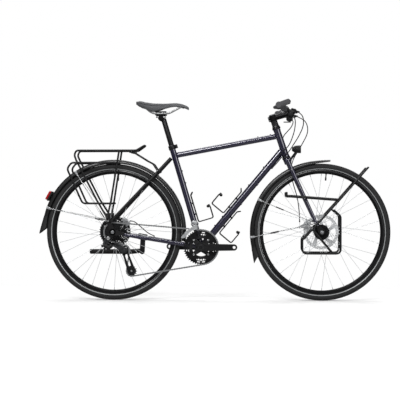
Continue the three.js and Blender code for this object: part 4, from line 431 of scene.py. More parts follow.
def make_cloud_group():
    """Slow and quick variation over a surface, as of polish, dust and handling."""
    group, given, out = new_group("Surface variation", [
        ("Vector", "NodeSocketVector", None), ("Scale", "NodeSocketFloat", 12.0),
        ("Contrast", "NodeSocketFloat", 1.0)], [("Mask", "NodeSocketFloat")])
    slow = node(group, "ShaderNodeTexNoise", Vector=given.outputs["Vector"],
                Scale=given.outputs["Scale"], Detail=5.0, Roughness=0.6)
    quick_scale = math_node(group, "MULTIPLY", given.outputs["Scale"], 9.0)
    quick = node(group, "ShaderNodeTexNoise", Vector=given.outputs["Vector"],
                 Scale=quick_scale, Detail=2.0)
    both = math_node(group, "MULTIPLY_ADD", quick.outputs["Fac"], 0.35, math_node(
        group, "MULTIPLY", slow.outputs["Fac"], 0.65))
    centred = math_node(group, "SUBTRACT", both, 0.5)
    spread = math_node(group, "MULTIPLY_ADD", centred, given.outputs["Contrast"], 0.5)
    limited = node(group, "ShaderNodeClamp", Value=spread)
    group.links.new(limited.outputs[0], out.inputs["Mask"])
    return group


def make_edge_group():
    """Where edges are rubbed bright: the sharp places, broken up by noise."""
    group, given, out = new_group("Rubbed edges", [
        ("Vector", "NodeSocketVector", None), ("Sharpness", "NodeSocketFloat", None),
        ("Amount", "NodeSocketFloat", 0.5)], [("Mask", "NodeSocketFloat")])
    noise = node(group, "ShaderNodeTexNoise", Vector=given.outputs["Vector"], Scale=160.0,
                 Detail=4.0)
    ramp = node(group, "ShaderNodeMapRange", Value=given.outputs["Sharpness"], From_Min=0.53,
                From_Max=0.62)
    broken = math_node(group, "MULTIPLY", ramp.outputs[0], noise.outputs["Fac"])
    amount = math_node(group, "MULTIPLY", broken, given.outputs["Amount"])
    group.links.new(amount, out.inputs["Mask"])
    return group


GRAIN, CLOUD, EDGES = make_grain_group(), make_cloud_group(), make_edge_group()


def finish(name, dark, light, rough=(0.4, 0.5), metallic=0.0, grain=(900.0, 0.5, 0.05),
           cloud=14.0, rub=0.0, rub_colour="8a8a8a", coat=0.0, coat_rough=0.08, specular=0.5,
           stretch=(1, 1, 1), coat_ior=1.5):
    """A finish from two tones, a roughness range, a fine grain and rubbed edges."""
    material = bpy.data.materials.new(name)
    material.use_nodes = True
    tree = material.node_tree
    shader = tree.nodes["Principled BSDF"]
    place = tree.nodes.new("ShaderNodeTexCoord")
    mapped = node(tree, "ShaderNodeMapping", Vector=place.outputs["Object"], Scale=stretch)
    vector = mapped.outputs[0]
    mask = node(tree, "ShaderNodeGroup", {"node_tree": CLOUD}, Vector=vector, Scale=cloud,
                Contrast=1.6).outputs["Mask"]
    tone = node(tree, "ShaderNodeMix", {"data_type": "RGBA"}, i0=mask, i6=colour(dark),
                i7=colour(light)).outputs[2]
    roughness = node(tree, "ShaderNodeMapRange", Value=mask, To_Min=rough[0], To_Max=rough[1])
    if rub:
        geometry = tree.nodes.new("ShaderNodeNewGeometry")
        worn = node(tree, "ShaderNodeGroup", {"node_tree": EDGES}, Vector=vector,
                    Sharpness=geometry.outputs["Pointiness"], Amount=rub).outputs["Mask"]
        tone = node(tree, "ShaderNodeMix", {"data_type": "RGBA"}, i0=worn, i6=tone,
                    i7=colour(rub_colour)).outputs[2]
    height = node(tree, "ShaderNodeGroup", {"node_tree": GRAIN}, Vector=vector, Scale=grain[0],
                  Cells=grain[1]).outputs["Height"]
    bump = node(tree, "ShaderNodeBump", Height=height, Strength=1.0, Distance=grain[2] * 0.001)
    tree.links.new(tone, shader.inputs["Base Color"])
    tree.links.new(roughness.outputs[0], shader.inputs["Roughness"])
    tree.links.new(bump.outputs[0], shader.inputs["Normal"])
    shader.inputs["Metallic"].default_value = metallic
    shader.inputs["Coat Weight"].default_value = coat
    shader.inputs["Coat Roughness"].default_value = coat_rough
    shader.inputs["Coat IOR"].default_value = coat_ior
    shader.inputs["Specular IOR Level"].default_value = specular
    return material


paint = finish("Dark violet paint", "0b0820", "1b1442", (0.26, 0.36), 0.5, (2600.0, 1.0, 0.02),
               420.0, coat=1.0, coat_rough=0.06, coat_ior=2.1)
black_coat = finish("Satin black coat", "0b0b0c", "151517", (0.38, 0.52), 0.2,
                    (1500.0, 0.3, 0.05), 22.0, rub=0.25, rub_colour="3a3a3c")
black_metal = finish("Black anodised metal", "0d0d0e", "1a1a1c", (0.3, 0.42), 0.7,
                     (2200.0, 0.2, 0.02), 30.0, rub=0.5, rub_colour="8d8d90")
black_plastic = finish("Moulded black plastic", "0c0c0d", "161617", (0.48, 0.62), 0.0,
                       (1100.0, 0.7, 0.06), 26.0, rub=0.2, rub_colour="333335")
guard_plastic = finish("Mudguard plastic", "090909", "121213", (0.3, 0.42), 0.0,
                       (700.0, 0.4, 0.03), 9.0, coat=0.25, coat_rough=0.2)
silver = finish("Brushed silver", "b4b6b9", "dcdee0", (0.28, 0.42), 0.72, (1200.0, 0.1, 0.04),
                60.0, rub=0.5, rub_colour="e6e6e6", stretch=(1, 8, 1))
steel = finish("Bright steel", "b0b1b2", "d6d7d8", (0.25, 0.38), 0.8, (1400.0, 0.1, 0.03), 80.0)
spoke_steel = finish("Stainless wire", "b4b6b8", "dcdee0", (0.26, 0.36), 0.4,
                     (1400.0, 0.1, 0.02), 90.0)
rotor_steel = finish("Ground rotor steel", "c6c8ca", "e4e5e6", (0.28, 0.4), 0.3,
                     (1300.0, 0.1, 0.03), 70.0, stretch=(1, 6, 1))
# Dark steel of the cassette's cogs. The rear brake rotor wears it too, as painted shade in place
# of its own bright ground steel.
cog_steel_and_painted_rotor_shade = finish("Dark cog steel and painted rotor shade", "0f1011", "242527", (0.28, 0.42), 0.5, (1200.0, 0.2, 0.03),
                   130.0, rub=0.25, rub_colour="6f7072")
chain_steel = finish("Oiled chain steel", "77797c", "adafb2", (0.28, 0.42), 0.7,
                     (900.0, 0.4, 0.05), 140.0, rub=0.5, rub_colour="b5b5b5")
tyre_rubber = finish("Tyre rubber", "161617", "222223", (0.72, 0.88), 0.0, (600.0, 0.8, 0.12),
                     18.0, rub=0.2, rub_colour="4a4a4a")
cable_cover = finish("Cable cover", "0a0a0b", "131314", (0.34, 0.46), 0.0, (1600.0, 0.4, 0.02),
                     40.0)
grip_rubber = finish("Grip rubber", "343436", "48484b", (0.7, 0.85), 0.0, (520.0, 0.95, 0.25),
                     30.0)
saddle_cover = finish("Grained saddle cover", "48494b", "5e5f62", (0.42, 0.56), 0.0,
                      (620.0, 0.9, 0.16), 18.0, rub=0.15, rub_colour="4a4a4c")
flap_rubber = finish("Flap rubber", "101011", "1b1b1c", (0.6, 0.75), 0.0, (500.0, 0.6, 0.1), 20.0)
red_lens = finish("Red lens", "7d0a12", "b3141d", (0.12, 0.2), 0.0, (260.0, 1.0, 0.35), 50.0,
                  coat=0.6, coat_rough=0.04)
clear_lens = finish("Clear lens", "c9ced2", "e4e8ea", (0.05, 0.1), 0.0, (240.0, 1.0, 0.5), 40.0,
                    coat=0.8, coat_rough=0.03, specular=0.8)
dark_alloy = finish("Dark painted alloy", "2c2d2f", "48494c", (0.34, 0.46), 0.6,
                    (1500.0, 0.3, 0.03), 30.0, rub=0.4, rub_colour="8d8d90")
reflector = finish("Reflecting strip", "a8abac", "d2d5d6", (0.3, 0.4), 0.6, (1900.0, 1.0, 0.04),
                   260.0)

# Wheels

# The planes of a hub's flanges and rotor are counted from the middle, right being negative
SPOKES = 32
WHEELS = {
    "rear": dict(centre=REAR, body="rear_wheel", shell=15, right=-19, left=33, flange=24,
                 circle=22.8, rotor_at=43.5, rotor=80),
    "front": dict(centre=FRONT, body="front_wheel", shell=37, right=-27, left=27, flange=39.5,
                  circle=38.3, rotor_at=36, rotor=90),
}
CARRIER = 22
TREAD_FROM, GROOVE_DEPTH = 344, 0.9


def tyre_section():
    """The tyre's cross-section as (radius, across): bead, sidewall, shoulder and tread."""
    half = [(318.2, 9.4), (320, 10.6), (322, 12.6), (325, 15.4), (329, 18.2), (333, 19.6),
            (336.5, 19.9), (340, 19.1), (343.2, 17.4), (346, 15)]
    crown = [(347.8, 12.6), (349.2, 9.6), (350.2, 6.4), (350.8, 3.2), (351, 0)]
    right = [(r, -y) for r, y in half + crown]
    return right + [(r, -y) for r, y in reversed(right[:-1])]


def make_tyre(side, spec):
    bm = bmesh.new()
    centre = spec["centre"]

    def reach(point):
        return math.hypot(point.x - centre.x, point.z - AXLE_Z)

    revolve(bm, tyre_section(), centre, steps=168, ring=True)
    bmesh.ops.remove_doubles(bm, verts=bm.verts, dist=0.01)
    tread = [f for f in bm.faces if reach(f.calc_center_median()) > TREAD_FROM]
    bmesh.ops.recalc_face_normals(bm, faces=bm.faces)
    bmesh.ops.inset_individual(bm, faces=tread, thickness=0.55, depth=0, use_even_offset=True)
    blocks = set(tread)
    grooves = [v for v in bm.verts if not any(f in blocks for f in v.link_faces)
               and reach(v.co) > TREAD_FROM + 1]
    for v in grooves:
        out = (v.co - centre) * Vector((1, 0, 1))
        v.co -= out.normalized() * GROOVE_DEPTH
    piece(f"{side}_tyre_casing", bm, tyre_rubber, spec["body"], f"{side}_tyre", 25)
    bm = bmesh.new()
    for way in (-1, 1):
        revolve(bm, [(322.6, way * 13.5), (322.4, way * 13.9), (325.9, way * 16.6),
                     (326.2, way * 16.1)], centre, steps=128, ring=True)
    piece(f"{side}_tyre_reflecting_line", bm, reflector, spec["body"])


def make_rim(side, spec):
    bm = bmesh.new()
    half = [(299, 0), (299, 5), (299.8, 7), (304, 10.6), (306, 11.5), (316.4, 11.5), (317.5, 10.8),
            (317.5, 9.7), (312.5, 9.2), (309, 5), (308, 0)]
    revolve(bm, half + [(r, -y) for r, y in reversed(half[1:-1])], spec["centre"], steps=160,
            ring=True)
    piece(f"{side}_rim_hoop", bm, black_metal, spec["body"], f"{side}_rim")
    bm = bmesh.new()
    way = toward(85.5)
    foot = spec["centre"] + way * 300
    revolve(bm, [(3, 0), (3, -1), (4.6, -1.2), (4.6, -3.4), (3, -3.6), (3, -19), (3.9, -19.2),
                 (4.1, -21), (4.1, -33), (3.4, -35), (0, -35)], foot, way, 18)
    piece(f"{side}_valve", bm, black_plastic, spec["body"])


def spoke_ends(spec, i):
    """Where a spoke starts at its flange and ends in the rim, and the side its head is on."""
    left, place = i % 2, i // 2
    step = FULL / (SPOKES / 2)
    pulling = 1 if place % 2 else -1
    angle = place * step + left * step / 2
    flange = spec["left"] if left else spec["right"]
    head = spec["centre"] + at(spec["circle"] * math.sin(angle), flange + pulling * 1.1,
                               spec["circle"] * math.cos(angle))
    far = angle + pulling * math.radians(67.5)
    side = 1 if flange > 0 else -1
    rim = spec["centre"] + at(298.6 * math.sin(far), side * 3 + pulling * 1.6,
                              298.6 * math.cos(far))
    return head, rim, pulling


def make_spokes(side, spec):
    wires, nipples = bmesh.new(), bmesh.new()
    for i in range(SPOKES):
        head, rim, pulling = spoke_ends(spec, i)
        way = (rim - head).normalized()
        elbow = head - at(0, pulling * 2.6, 0)
        sweep(wires, [elbow, head + at(0, pulling * 0.2, 0), head + way * 2.4, rim], (1.0, 6))
        rod(wires, elbow, elbow - at(0, pulling * 0.9, 0), 1.9, sides=8)
        rod(nipples, rim - way * 11, rim + way * 1.5, 1.7, 2.0, sides=8)
    piece(f"{side}_spokes", wires, spoke_steel, spec["body"])
    piece(f"{side}_spoke_nipples", nipples, spoke_steel, spec["body"])


def rotor_holes(spec):
    """Slots in the braking track and the openings between the curved arms."""
    radius = spec["rotor"]
    holes = []
    count = 40 if radius > 85 else 36
    for i in range(count):
        reach = radius - (4.4 if i % 2 else 10)
        angle = FULL * i / count
        holes.append(circle_points(reach * math.cos(angle), reach * math.sin(angle),
                                   2.1 if i % 2 else 2.5, 8))
    arms, inner, carrier = 5, radius - 15, CARRIER + 5
    for i in range(arms):
        start, swing = 360 * i / arms, 26
        outer = arc(0, 0, inner, start + swing + 9, start + swing + 360 / arms - 9, 8)
        near = arc(0, 0, carrier, start + 360 / arms - 12, start + 12, 6)
        holes.append(outer + near)
    return holes


def make_hub(side, spec):
    centre, body = spec["centre"], spec["body"]
    bm = bmesh.new()
    shell, flange = spec["shell"], spec["flange"]
    if side == "front":
        profile = [(6, -46), (10, -46), (10.5, -44), (11, -33), (16, -31.5), (24, -30.6),
                   (flange - 1, -29.6), (flange, -28.6), (flange, -25.6), (flange - 1, -24.6),
                   (shell, -23.6), (shell, 23.6), (flange - 1, 24.6), (flange, 25.6),
                   (flange, 28.6), (flange - 1, 29.5), (24, 30.2), (CARRIER - 2, 31),
                   (CARRIER - 2, 38.6), (12, 38.8), (11.5, 44), (10.5, 46), (6, 46)]
    else:
        profile = [(6, -23), (15, -23), (16, -22), (flange - 1, -21.4), (flange, -20.6),
                   (flange, -17.4), (flange - 1, -16.6), (shell + 4, -15), (shell, -9),
                   (shell - 1, 4), (shell, 20), (shell + 3, 27), (flange - 1, 31.3),
                   (flange, 32.2), (flange, 34.2), (flange - 1, 35), (CARRIER - 2, 36),
                   (CARRIER - 2, 46), (12, 46.4), (11, 49), (10, 50), (6, 50)]
    revolve(bm, profile, centre, steps=72, ring=True)
    piece(f"{side}_hub_shell", bm, black_metal, body)
    bm = bmesh.new()
    track = spec["rotor_at"]
    plate(bm, circle_points(0, 0, spec["rotor"], 96), track - 0.95, track + 0.95,
          [circle_points(0, 0, 15, 32), *rotor_holes(spec)], 0.25, Matrix.Translation(centre))
    # The rear rotor is the same bright ground steel part as the front one. It takes the dark cog
    # steel here, which paints the shade it sits in behind the cassette.
    piece(f"{side}_brake_rotor", bm, rotor_steel if side == "front" else cog_steel_and_painted_rotor_shade, body,
          f"{side}_hub")
    bm = bmesh.new()
    revolve(bm, [(11.6, track + 1), (17, track + 1), (17.5, track + 1.6), (17.5, track + 3.4),
                 (16.6, track + 4), (11.6, track + 4)], centre, steps=40, ring=True)
    for x, z in circle_points(centre.x, centre.z, 24.5, 5, math.radians(30)):
        bolt(bm, at(x, track + 0.9, z), ALONG_Y, 2.6, 1.2)
    piece(f"{side}_rotor_lockring", bm, black_metal, body)
    if side == "front":
        bm = bmesh.new()
        for i in range(24):
            angle = FULL * i / 24
            spot = centre + at(30 * math.cos(angle), -31, 30 * math.sin(angle))
            turn = Matrix.Rotation(-angle, 3, "Y")
            block(bm, spot, (9, 1.2, 1.6), turn, 0.4, 2)
        piece("front_hub_cooling_ribs", bm, black_metal, body)


def make_axle(side, right_end, left_end, dropout_half, plate_thick):
    centre = REAR if side == "rear" else FRONT
    bm = bmesh.new()
    outer = dropout_half + plate_thick
    rod(bm, centre + at(0, -outer - 8, 0), centre + at(0, outer + 8, 0), 5, sides=24, edge=0.6)
    for way, end in ((-1, right_end), (1, left_end)):
        revolve(bm, [(5, way * (end + 0.4)), (8, way * (end + 0.4)), (9, way * (end + 1.2)),
                     (9, way * (dropout_half - 0.3)), (5, way * (dropout_half - 0.3))],
                centre, steps=32, ring=True)
        rod(bm, centre + at(0, way * (outer + 0.3), 0), centre + at(0, way * (outer + 2), 0), 9,
            sides=32, edge=0.5)
        rod(bm, centre + at(0, way * (outer + 2), 0), centre + at(0, way * (outer + 7.4), 0), 8.6,
            sides=6, edge=0.7)
    piece(f"{side}_axle_and_nuts", bm, chain_steel, "frame" if side == "rear" else "fork",
          f"{side}_axle")


for wheel_side, wheel_spec in WHEELS.items():
    make_tyre(wheel_side, wheel_spec)
    make_rim(wheel_side, wheel_spec)
    make_spokes(wheel_side, wheel_spec)
    make_hub(wheel_side, wheel_spec)
make_axle("rear", 65, 50, 67.5, 6)
make_axle("front", 46, 46, 50, 6)

# Frame tubes, with a weld bead where each meets the next


def joint_curve(start, way, radius, main_start, main_way, main_radius):
    """Where a round tube's surface first meets a thicker tube's."""
    side = way.orthogonal().normalized()
    other = way.cross(side)
    curve = []
    for i in range(49):
        angle = FULL * i / 48
        origin = start + (side * math.cos(angle) + other * math.sin(angle)) * radius - main_start
        a, b = way - main_way * way.dot(main_way), origin - main_way * origin.dot(main_way)
        qa, qb, qc = a.dot(a), 2 * a.dot(b), b.dot(b) - main_radius ** 2
        root = qb * qb - 4 * qa * qc
        t = (-qb - math.sqrt(root)) / (2 * qa) if root > 0 else -qb / (2 * qa)
        curve.append(origin + main_start + way * t)
    return curve


def weld(bm, curve, across):
    """A bead of overlapping ripples along a closed curve."""
    count, halves = len(curve) - 1, 128
    path, sizes = [], []
    for i in range(halves + 1):
        place = i / halves * count
        k = min(int(place), count - 1)
        path.append(curve[k].lerp(curve[k + 1], place - k))
        sizes.append(1.0 if i % 2 else 0.82)
    sweep(bm, path, (1.5, 8), across, sizes, capped=False)


DOWN_TOP = on_steerer(43)
DOWN_UP = (DOWN_TOP - BRACKET).normalized()
DOWN_AWAY = at(-DOWN_UP.z, 0, DOWN_UP.x)
TOP_BACK = BRACKET + SEAT_UP * 491
TOP_FRONT = on_steerer(114)
TOP_WAY = (TOP_FRONT - TOP_BACK).normalized()
STAY_TOP, STAY_FOOT = at(297, 24.1, 732), at(-4, 64.5, 411)

bm = bmesh.new()
revolve(bm, [(15.4, 0.2), (18.6, 0.2), (18.8, 1), (18.8, 6), (18.1, 9), (17.8, 14), (17.8, 136),
             (18.1, 141), (18.8, 144), (18.8, 149), (18.6, 149.8), (15.4, 149.8)],
        HEAD_FOOT, STEER_UP, 64, ring=True)
weld(bm, joint_curve(TOP_BACK, TOP_WAY, TOP_RADIUS, HEAD_FOOT, STEER_UP, HEAD_RADIUS), TOP_WAY)
weld(bm, joint_curve(BRACKET, DOWN_UP, DOWN_RADIUS, HEAD_FOOT, STEER_UP, HEAD_RADIUS), DOWN_UP)
piece("head_tube_shell", bm, paint, "frame", "head_tube")

bm = bmesh.new()
revolve(bm, [(15.2, -9), (20.6, -9), (21.4, -8.2), (21.5, -3), (20.6, -1.6), (20.6, -0.9),
             (20.1, 0), (15.2, 0)], HEAD_FOOT, STEER_UP, 64, ring=True)
revolve(bm, [(15.2, 150.1), (20.6, 150.1), (21.4, 151), (21.4, 158), (20.4, 160), (19.4, 160.3),
             (19.2, 161.6), (19.6, 162), (18.2, 166.8), (15.2, 166.8)], HEAD_FOOT, STEER_UP, 64,
        ring=True)
piece("headset_cups", bm, black_metal, "frame")

bm = bmesh.new()
collar(bm, BRACKET, SEAT_UP, 14.1, SEAT_RADIUS, 12, SEAT_LENGTH - 1, 56)
collar(bm, BRACKET, ALONG_Y, 17.4, SHELL_RADIUS, -34, 34, 64, (0.5, 0.5))
weld(bm, joint_curve(TOP_FRONT, -TOP_WAY, TOP_RADIUS, BRACKET, SEAT_UP, SEAT_RADIUS), TOP_WAY)
weld(bm, joint_curve(DOWN_TOP, -DOWN_UP, DOWN_RADIUS, BRACKET, ALONG_Y, SHELL_RADIUS), DOWN_UP)
weld(bm, joint_curve(SEAT_TOP, -SEAT_UP, SEAT_RADIUS, BRACKET, ALONG_Y, SHELL_RADIUS), SEAT_UP)
piece("seat_tube_and_bracket_shell", bm, paint, "frame", "seat_tube")

bm = bmesh.new()
for way in (-1, 1):
    revolve(bm, [(10, way * 34.2), (21.2, way * 34.2), (22, way * 34.8), (22, way * 36.9),
                 (21.2, way * 37.5), (12.4, way * 37.5), (12.4, way * 37), (10, way * 37)],
            BRACKET, ALONG_Y, 48, ring=True)
    for x, z in circle_points(BRACKET.x, BRACKET.z, 21.4, 16):
        cross_rod(bm, x, z, way * 34.3, way * 37.3, 1.1, 8)
piece("bracket_cups", bm, black_metal, "frame")

bm = bmesh.new()
revolve(bm, [(15.6, -10.5), (17.9, -10.5), (18.5, -9.6), (18.5, 9.6), (17.9, 10.8), (14, 11),
             (14, 9.4), (15.6, 9.2)], SEAT_TOP, SEAT_UP, 56, ring=True)
for way in (-1, 1):
    block(bm, SEAT_TOP + SEAT_AHEAD * 23.4 + at(0, way * 4, 0), (12, 5.6, 20),
          about_y(-16.5), 1.6)
clamp_bolt = SEAT_TOP + SEAT_AHEAD * 24.5
rod(bm, clamp_bolt + at(0, -13, 0), clamp_bolt + at(0, 13, 0), 2.6, sides=18)
bolt(bm, clamp_bolt + at(0, -8, 0), -ALONG_Y, 4, 4.8)
rod(bm, clamp_bolt + at(0, 7, 0), clamp_bolt + at(0, 11, 0), 4, sides=6, edge=0.4)
piece("seat_collar", bm, black_metal, "frame")

bm = bmesh.new()
sweep(bm, [TOP_BACK + TOP_WAY * 15.2, TOP_FRONT - TOP_WAY * 17.6], (TOP_RADIUS, 56))
piece("top_tube_shell", bm, paint, "frame", "top_tube")

bm = bmesh.new()
sweep(bm, [BRACKET + DOWN_UP * 19.6, DOWN_TOP - DOWN_UP * 16.6], (DOWN_RADIUS, 56))
piece("down_tube_shell", bm, paint, "frame", "down_tube")


EYELET = (-22, 408)
stay_front, stay_back = at(425, 23.5, 278), at(70, 62, 336)


def dropout(way, with_hanger):
    """One rear dropout: the axle's plate, its tongue into the stay, and the mudguard eyelets."""
    bm = bmesh.new()
    hub, front, upper, hanger = (0, AXLE_Z), (52, 342), (-6, 408), (-20, 320)
    bore, eye = circle_points(*hub, 5.3, 24), circle_points(*EYELET, 2.6, 16)
    links = [(hub, 17, front, 8.5, [bore]), (hub, 17, EYELET, 9, [bore, eye]),
             (EYELET, 9, upper, 9, [eye])]
    if with_hanger:
        links.append((hub, 17, hanger, 11, [bore]))
    for start, radius, end, end_radius, holes in links:
        link(bm, start, radius, end, end_radius, way * 67.6, way * 73.4, 0.6, holes)
    return bm


bm = bmesh.new()
stay = [stay_front, at(396, 27.2, 282.7), at(300, 39.7, 298.4), at(180, 54.5, 318),
        at(100, 61, 331), stay_back, at(48, 68, 341)]
sweep(bm, smooth_curve(stay, 6), (10.4, 32), ALONG_Y,
      [(0.72, 1.0)] * 12 + [(0.74 - 0.005 * i, 1.0 - 0.012 * i) for i in range(25)])
mirror_across(bm)
cross_rod(bm, 377.2, 285.8, -23, 23, 6, 28)
piece("chain_stay_tubes", bm, paint, "frame", "chain_stays")
for name, way in (("right", -1), ("left", 1)):
    piece(f"dropout_{name}", dropout(way, way < 0), black_coat, "frame")

bm = bmesh.new()
stay_way = (STAY_FOOT - STAY_TOP).normalized()
sweep(bm, [STAY_TOP + stay_way * 1.5, STAY_TOP.lerp(STAY_FOOT, 0.5), STAY_FOOT - stay_way * 14,
           STAY_FOOT - stay_way * 4, STAY_FOOT + stay_way * 0.5], (8.2, 32), None,
      [1, 1, 0.98, 0.86, 0.62])
mirror_across(bm)
piece("seat_stay_tubes", bm, black_coat, "frame", "seat_stays")
bm = bmesh.new()
bridge = STAY_TOP.lerp(STAY_FOOT, 0.37)
cross_rod(bm, bridge.x, bridge.z, -bridge.y, bridge.y, 6, 28)
for way in (-1, 1):
    revolve(bm, [(5.8, 0), (7.1, -0.6), (7.4, 0.8), (6, 2)],
            at(bridge.x, way * (bridge.y - 9.4), bridge.z), ALONG_Y, 32, ring=True)
cross_rod(bm, bridge.x, bridge.z, -9, 9, 8, 28, 1)
piece("seat_stay_bridge", bm, black_coat, "frame")

# Bosses of the tubes, and the cable guides under the down tube


def tube_boss(bm, spot, out, radius, high, deep=4):
    """A threaded boss with a low screw in it."""
    revolve(bm, [(0, -deep), (radius, -deep), (radius, high - 1), (radius - 0.8, high), (0, high)],
            spot, out, 24)
    bolt(bm, spot + out * (high + 0.05), out, radius * 0.72, 1.5)


bm = bmesh.new()
top_tube_up = TOP_WAY.cross(ALONG_Y)
top_tube_up *= math.copysign(1, top_tube_up.z)
for share in (0.80, 0.92):
    tube_boss(bm, TOP_BACK.lerp(TOP_FRONT, share) + at(0, 0, 14.1), top_tube_up, 3.6, 2.2)
for reach in (520, 400, 190, 129):
    tube_boss(bm, BRACKET + DOWN_UP * reach + DOWN_AWAY * 17.3, DOWN_AWAY, 4, 2.4)
for reach in (150, 214):
    tube_boss(bm, BRACKET + SEAT_UP * (reach + 190) + SEAT_AHEAD * 15.3, SEAT_AHEAD, 4, 2.2,
              0.9)
piece("frame_bosses", bm, black_metal, "frame")

bm = bmesh.new()
for reach in (430, 300, 160):
    for side in (-1, 1):
        spot = BRACKET + DOWN_UP * reach - DOWN_AWAY * 15.5 + at(0, side * 7, 0)
        rod(bm, spot - DOWN_UP * 6, spot + DOWN_UP * 6, 3.5, sides=16, edge=0.8)
piece("cable_guides", bm, paint, "frame")

# Mudguards: a rolled channel, its flap, its wire stays and their clips

GUARDS = {
    "rear": dict(centre=REAR, radius=373, start=-7.5, end=176, eye_x=-34.5, eye_up=62.5,
                 eye_y=77.5, foot_y=76, angles=(122.6, 160), body="frame",
                 flap=(167, 181.3, 15.4)),
    "front": dict(centre=FRONT, radius=367, start=83, end=201, eye_x=-34, eye_up=47, eye_y=66,
                  foot_y=62, angles=(152.5, 184), body="fork",
                  flap=(192.5, 205, 13)),
}


def guard_section(radius, skirt=20.0):
    """The channel's section as (radius, across), outside first, with rolled rims."""
    k = (skirt - 7) / 9
    outer = [(radius - skirt, 25), (radius - 7 - 5 * k, 24.8), (radius - 7, 23.2),
             (radius - 3, 20.2), (radius - 1, 16.6), (radius, 12), (radius, 0)]
    inner = [(radius - 2, 0), (radius - 2, 11.6), (radius - 3, 15.6), (radius - 5, 18.6),
             (radius - 8.4, 21.2), (radius - 8.4 - 4.2 * k, 22.8), (radius + 1 - skirt, 23),
             (radius + 0.2 - skirt, 23.4)]
    return (outer + [(r, -y) for r, y in reversed(outer[:-1])]
            + [(r, -y) for r, y in reversed(inner[1:])] + inner)


def guard_loft(bm, centre, stations):
    """Joins sections of the channel, each at its own angle, into one shell."""
    rings = []
    for degrees, section, slant in stations:
        top = max(r for r, y in section)
        angles = [math.radians(degrees - slant * (top - r)) for r, y in section]
        rings.append([bm.verts.new(centre + at(r * math.cos(a), y, r * math.sin(a)))
                      for (r, y), a in zip(section, angles)])
    for before, after in zip(rings, rings[1:]):
        for k in range(len(before)):
            bm.faces.new((before[k - 1], before[k], after[k], after[k - 1]))
    for ring in (rings[0], rings[-1]):
        bm.faces.new(ring)


def make_guard(side, g):
    """One mudguard with its flap, its bent wire stays, their clips and sleeves."""
    centre, radius = g["centre"], g["radius"]
    bm = bmesh.new()
    stations = []
    for i in range(121):
        degrees = g["start"] + (g["end"] - g["start"]) * i / 120
        skirt = 20 if side == "rear" else 8.6 + 11.4 * min((degrees - g["start"]) / 24, 1) ** 0.8
        lift = 0 if side == "rear" else 6 * max(1 - (degrees - g["start"]) / 14, 0) ** 2
        stations.append((degrees, guard_section(radius + lift, skirt), 0))
    guard_loft(bm, centre, stations)
    piece(f"{side}_mudguard_channel", bm, guard_plastic, g["body"],
          f"{side}_mudguard", 50)
    bm = bmesh.new()
    from_angle, to_angle, flare = g["flap"]
    stations = []
    for i in range(15):
        t = i / 14
        out = flare * t ** 1.5
        section = guard_section(radius + 0.9 + out, 21.4 + out * 1.15)
        stations.append((from_angle + (to_angle - from_angle) * t,
                         [(r, y * (1.03 + 0.22 * t * t)) for r, y in section], 0.12 * t))
    guard_loft(bm, centre, stations)
    out = toward(from_angle + 2.4)
    for way in (-1, 1):
        bolt(bm, centre + out * (radius + 1) + at(0, way * 9, 0), out, 3, 1.6)
    piece(f"{side}_mudguard_flap", bm, flap_rubber, g["body"])
    wires, clips, sleeves = bmesh.new(), bmesh.new(), bmesh.new()
    eye = at(centre.x + g["eye_x"], g["eye_y"], centre.z + g["eye_up"])
    for i, degrees in enumerate(g["angles"]):
        way_out, turned = toward(degrees), about_y(-degrees)
        crown = centre + way_out * (radius - 1.2)
        rim = centre + way_out * (radius - 20) + at(0, 30, 0)
        low_eye = eye - at(0, 0, 4.5 * i)
        for sign in (-1, 1):
            turn = Vector((1, sign, 1))
            foot = at(eye.x, g["foot_y"], low_eye.z) * turn
            sweep(wires, rounded([foot, low_eye * turn, rim * turn], 5), (1.7, 12))
            way = (rim - low_eye).normalized()
            mid = low_eye.lerp(rim, 0.66 if side == "front" else 0.12)
            sweep(sleeves, [(mid + way * d) * turn for d in (-22, -21, 21, 22)],
                  (3.0, 16), None, [0.7, 1, 1, 0.7])
            clip = (rim + at(0, -2, 0)) * turn
            block(clips, clip, (13, 6.5, 9), turned, 1.4)
            block(clips, (centre + way_out * (radius - 9) + at(0, 25.6, 0)) * turn,
                  (16, 2.4, 11), turned, 0.8)
            bolt(clips, clip + at(0, sign * 3.2, 0), at(0, sign, 0), 2.8, 2.2)
        bow = [(centre + way_out * (radius - 9) + at(0, 26.4, 0)),
               (centre + way_out * (radius - 0.5) + at(0, 17, 0)),
               crown + way_out * 0.9]
        flat = [*bow, *[flipped(p) for p in reversed(bow[:-1])]]
        sweep(clips, smooth_curve(flat, 5), [(-4.4, -0.6), (4.4, -0.6), (4.4, 0.6), (-4.4, 0.6)],
              quarter_on(way_out))
    for sign in (-1, 1):
        for drop in (0, 4.5):
            cross_rod(wires, eye.x, eye.z - drop, sign * (g["foot_y"] - 8), sign * g["foot_y"],
                      3.6, 20, 0.5)
    piece(f"{side}_mudguard_stays", wires, steel, g["body"])
    piece(f"{side}_stay_clips", clips, silver, g["body"])
    piece(f"{side}_stay_sleeves", sleeves, black_plastic, g["body"])


for guard_side, guard in GUARDS.items():
    make_guard(guard_side, guard)

# Chain drive

PITCH = 12.7
BIG_RING, SMALL_RING, PULLEY_TEETH = 44, 32, 13
CASSETTE = (11, 13, 15, 17, 19, 21, 24, 28, 32, 36)
COG_IN_USE, FIRST_COG, COG_STEP = 6, -62.5, 3.95
COG_PLANE = FIRST_COG + COG_IN_USE * COG_STEP
RING_PLANE, RING_STEP, CRANK_LENGTH = -46.5, 7, 170
ROLLER_SEAT = 3.95
GUIDE, TENSION = middle_of("guide_pulley"), middle_of("tension_pulley")
GUIDE.y = TENSION.y = COG_PLANE
BEND_BACK, BEND_FRONT = 170.4, BRACKET.x - 3 * PITCH


def pitch_radius(teeth):
    return PITCH / (2 * math.sin(math.pi / teeth))


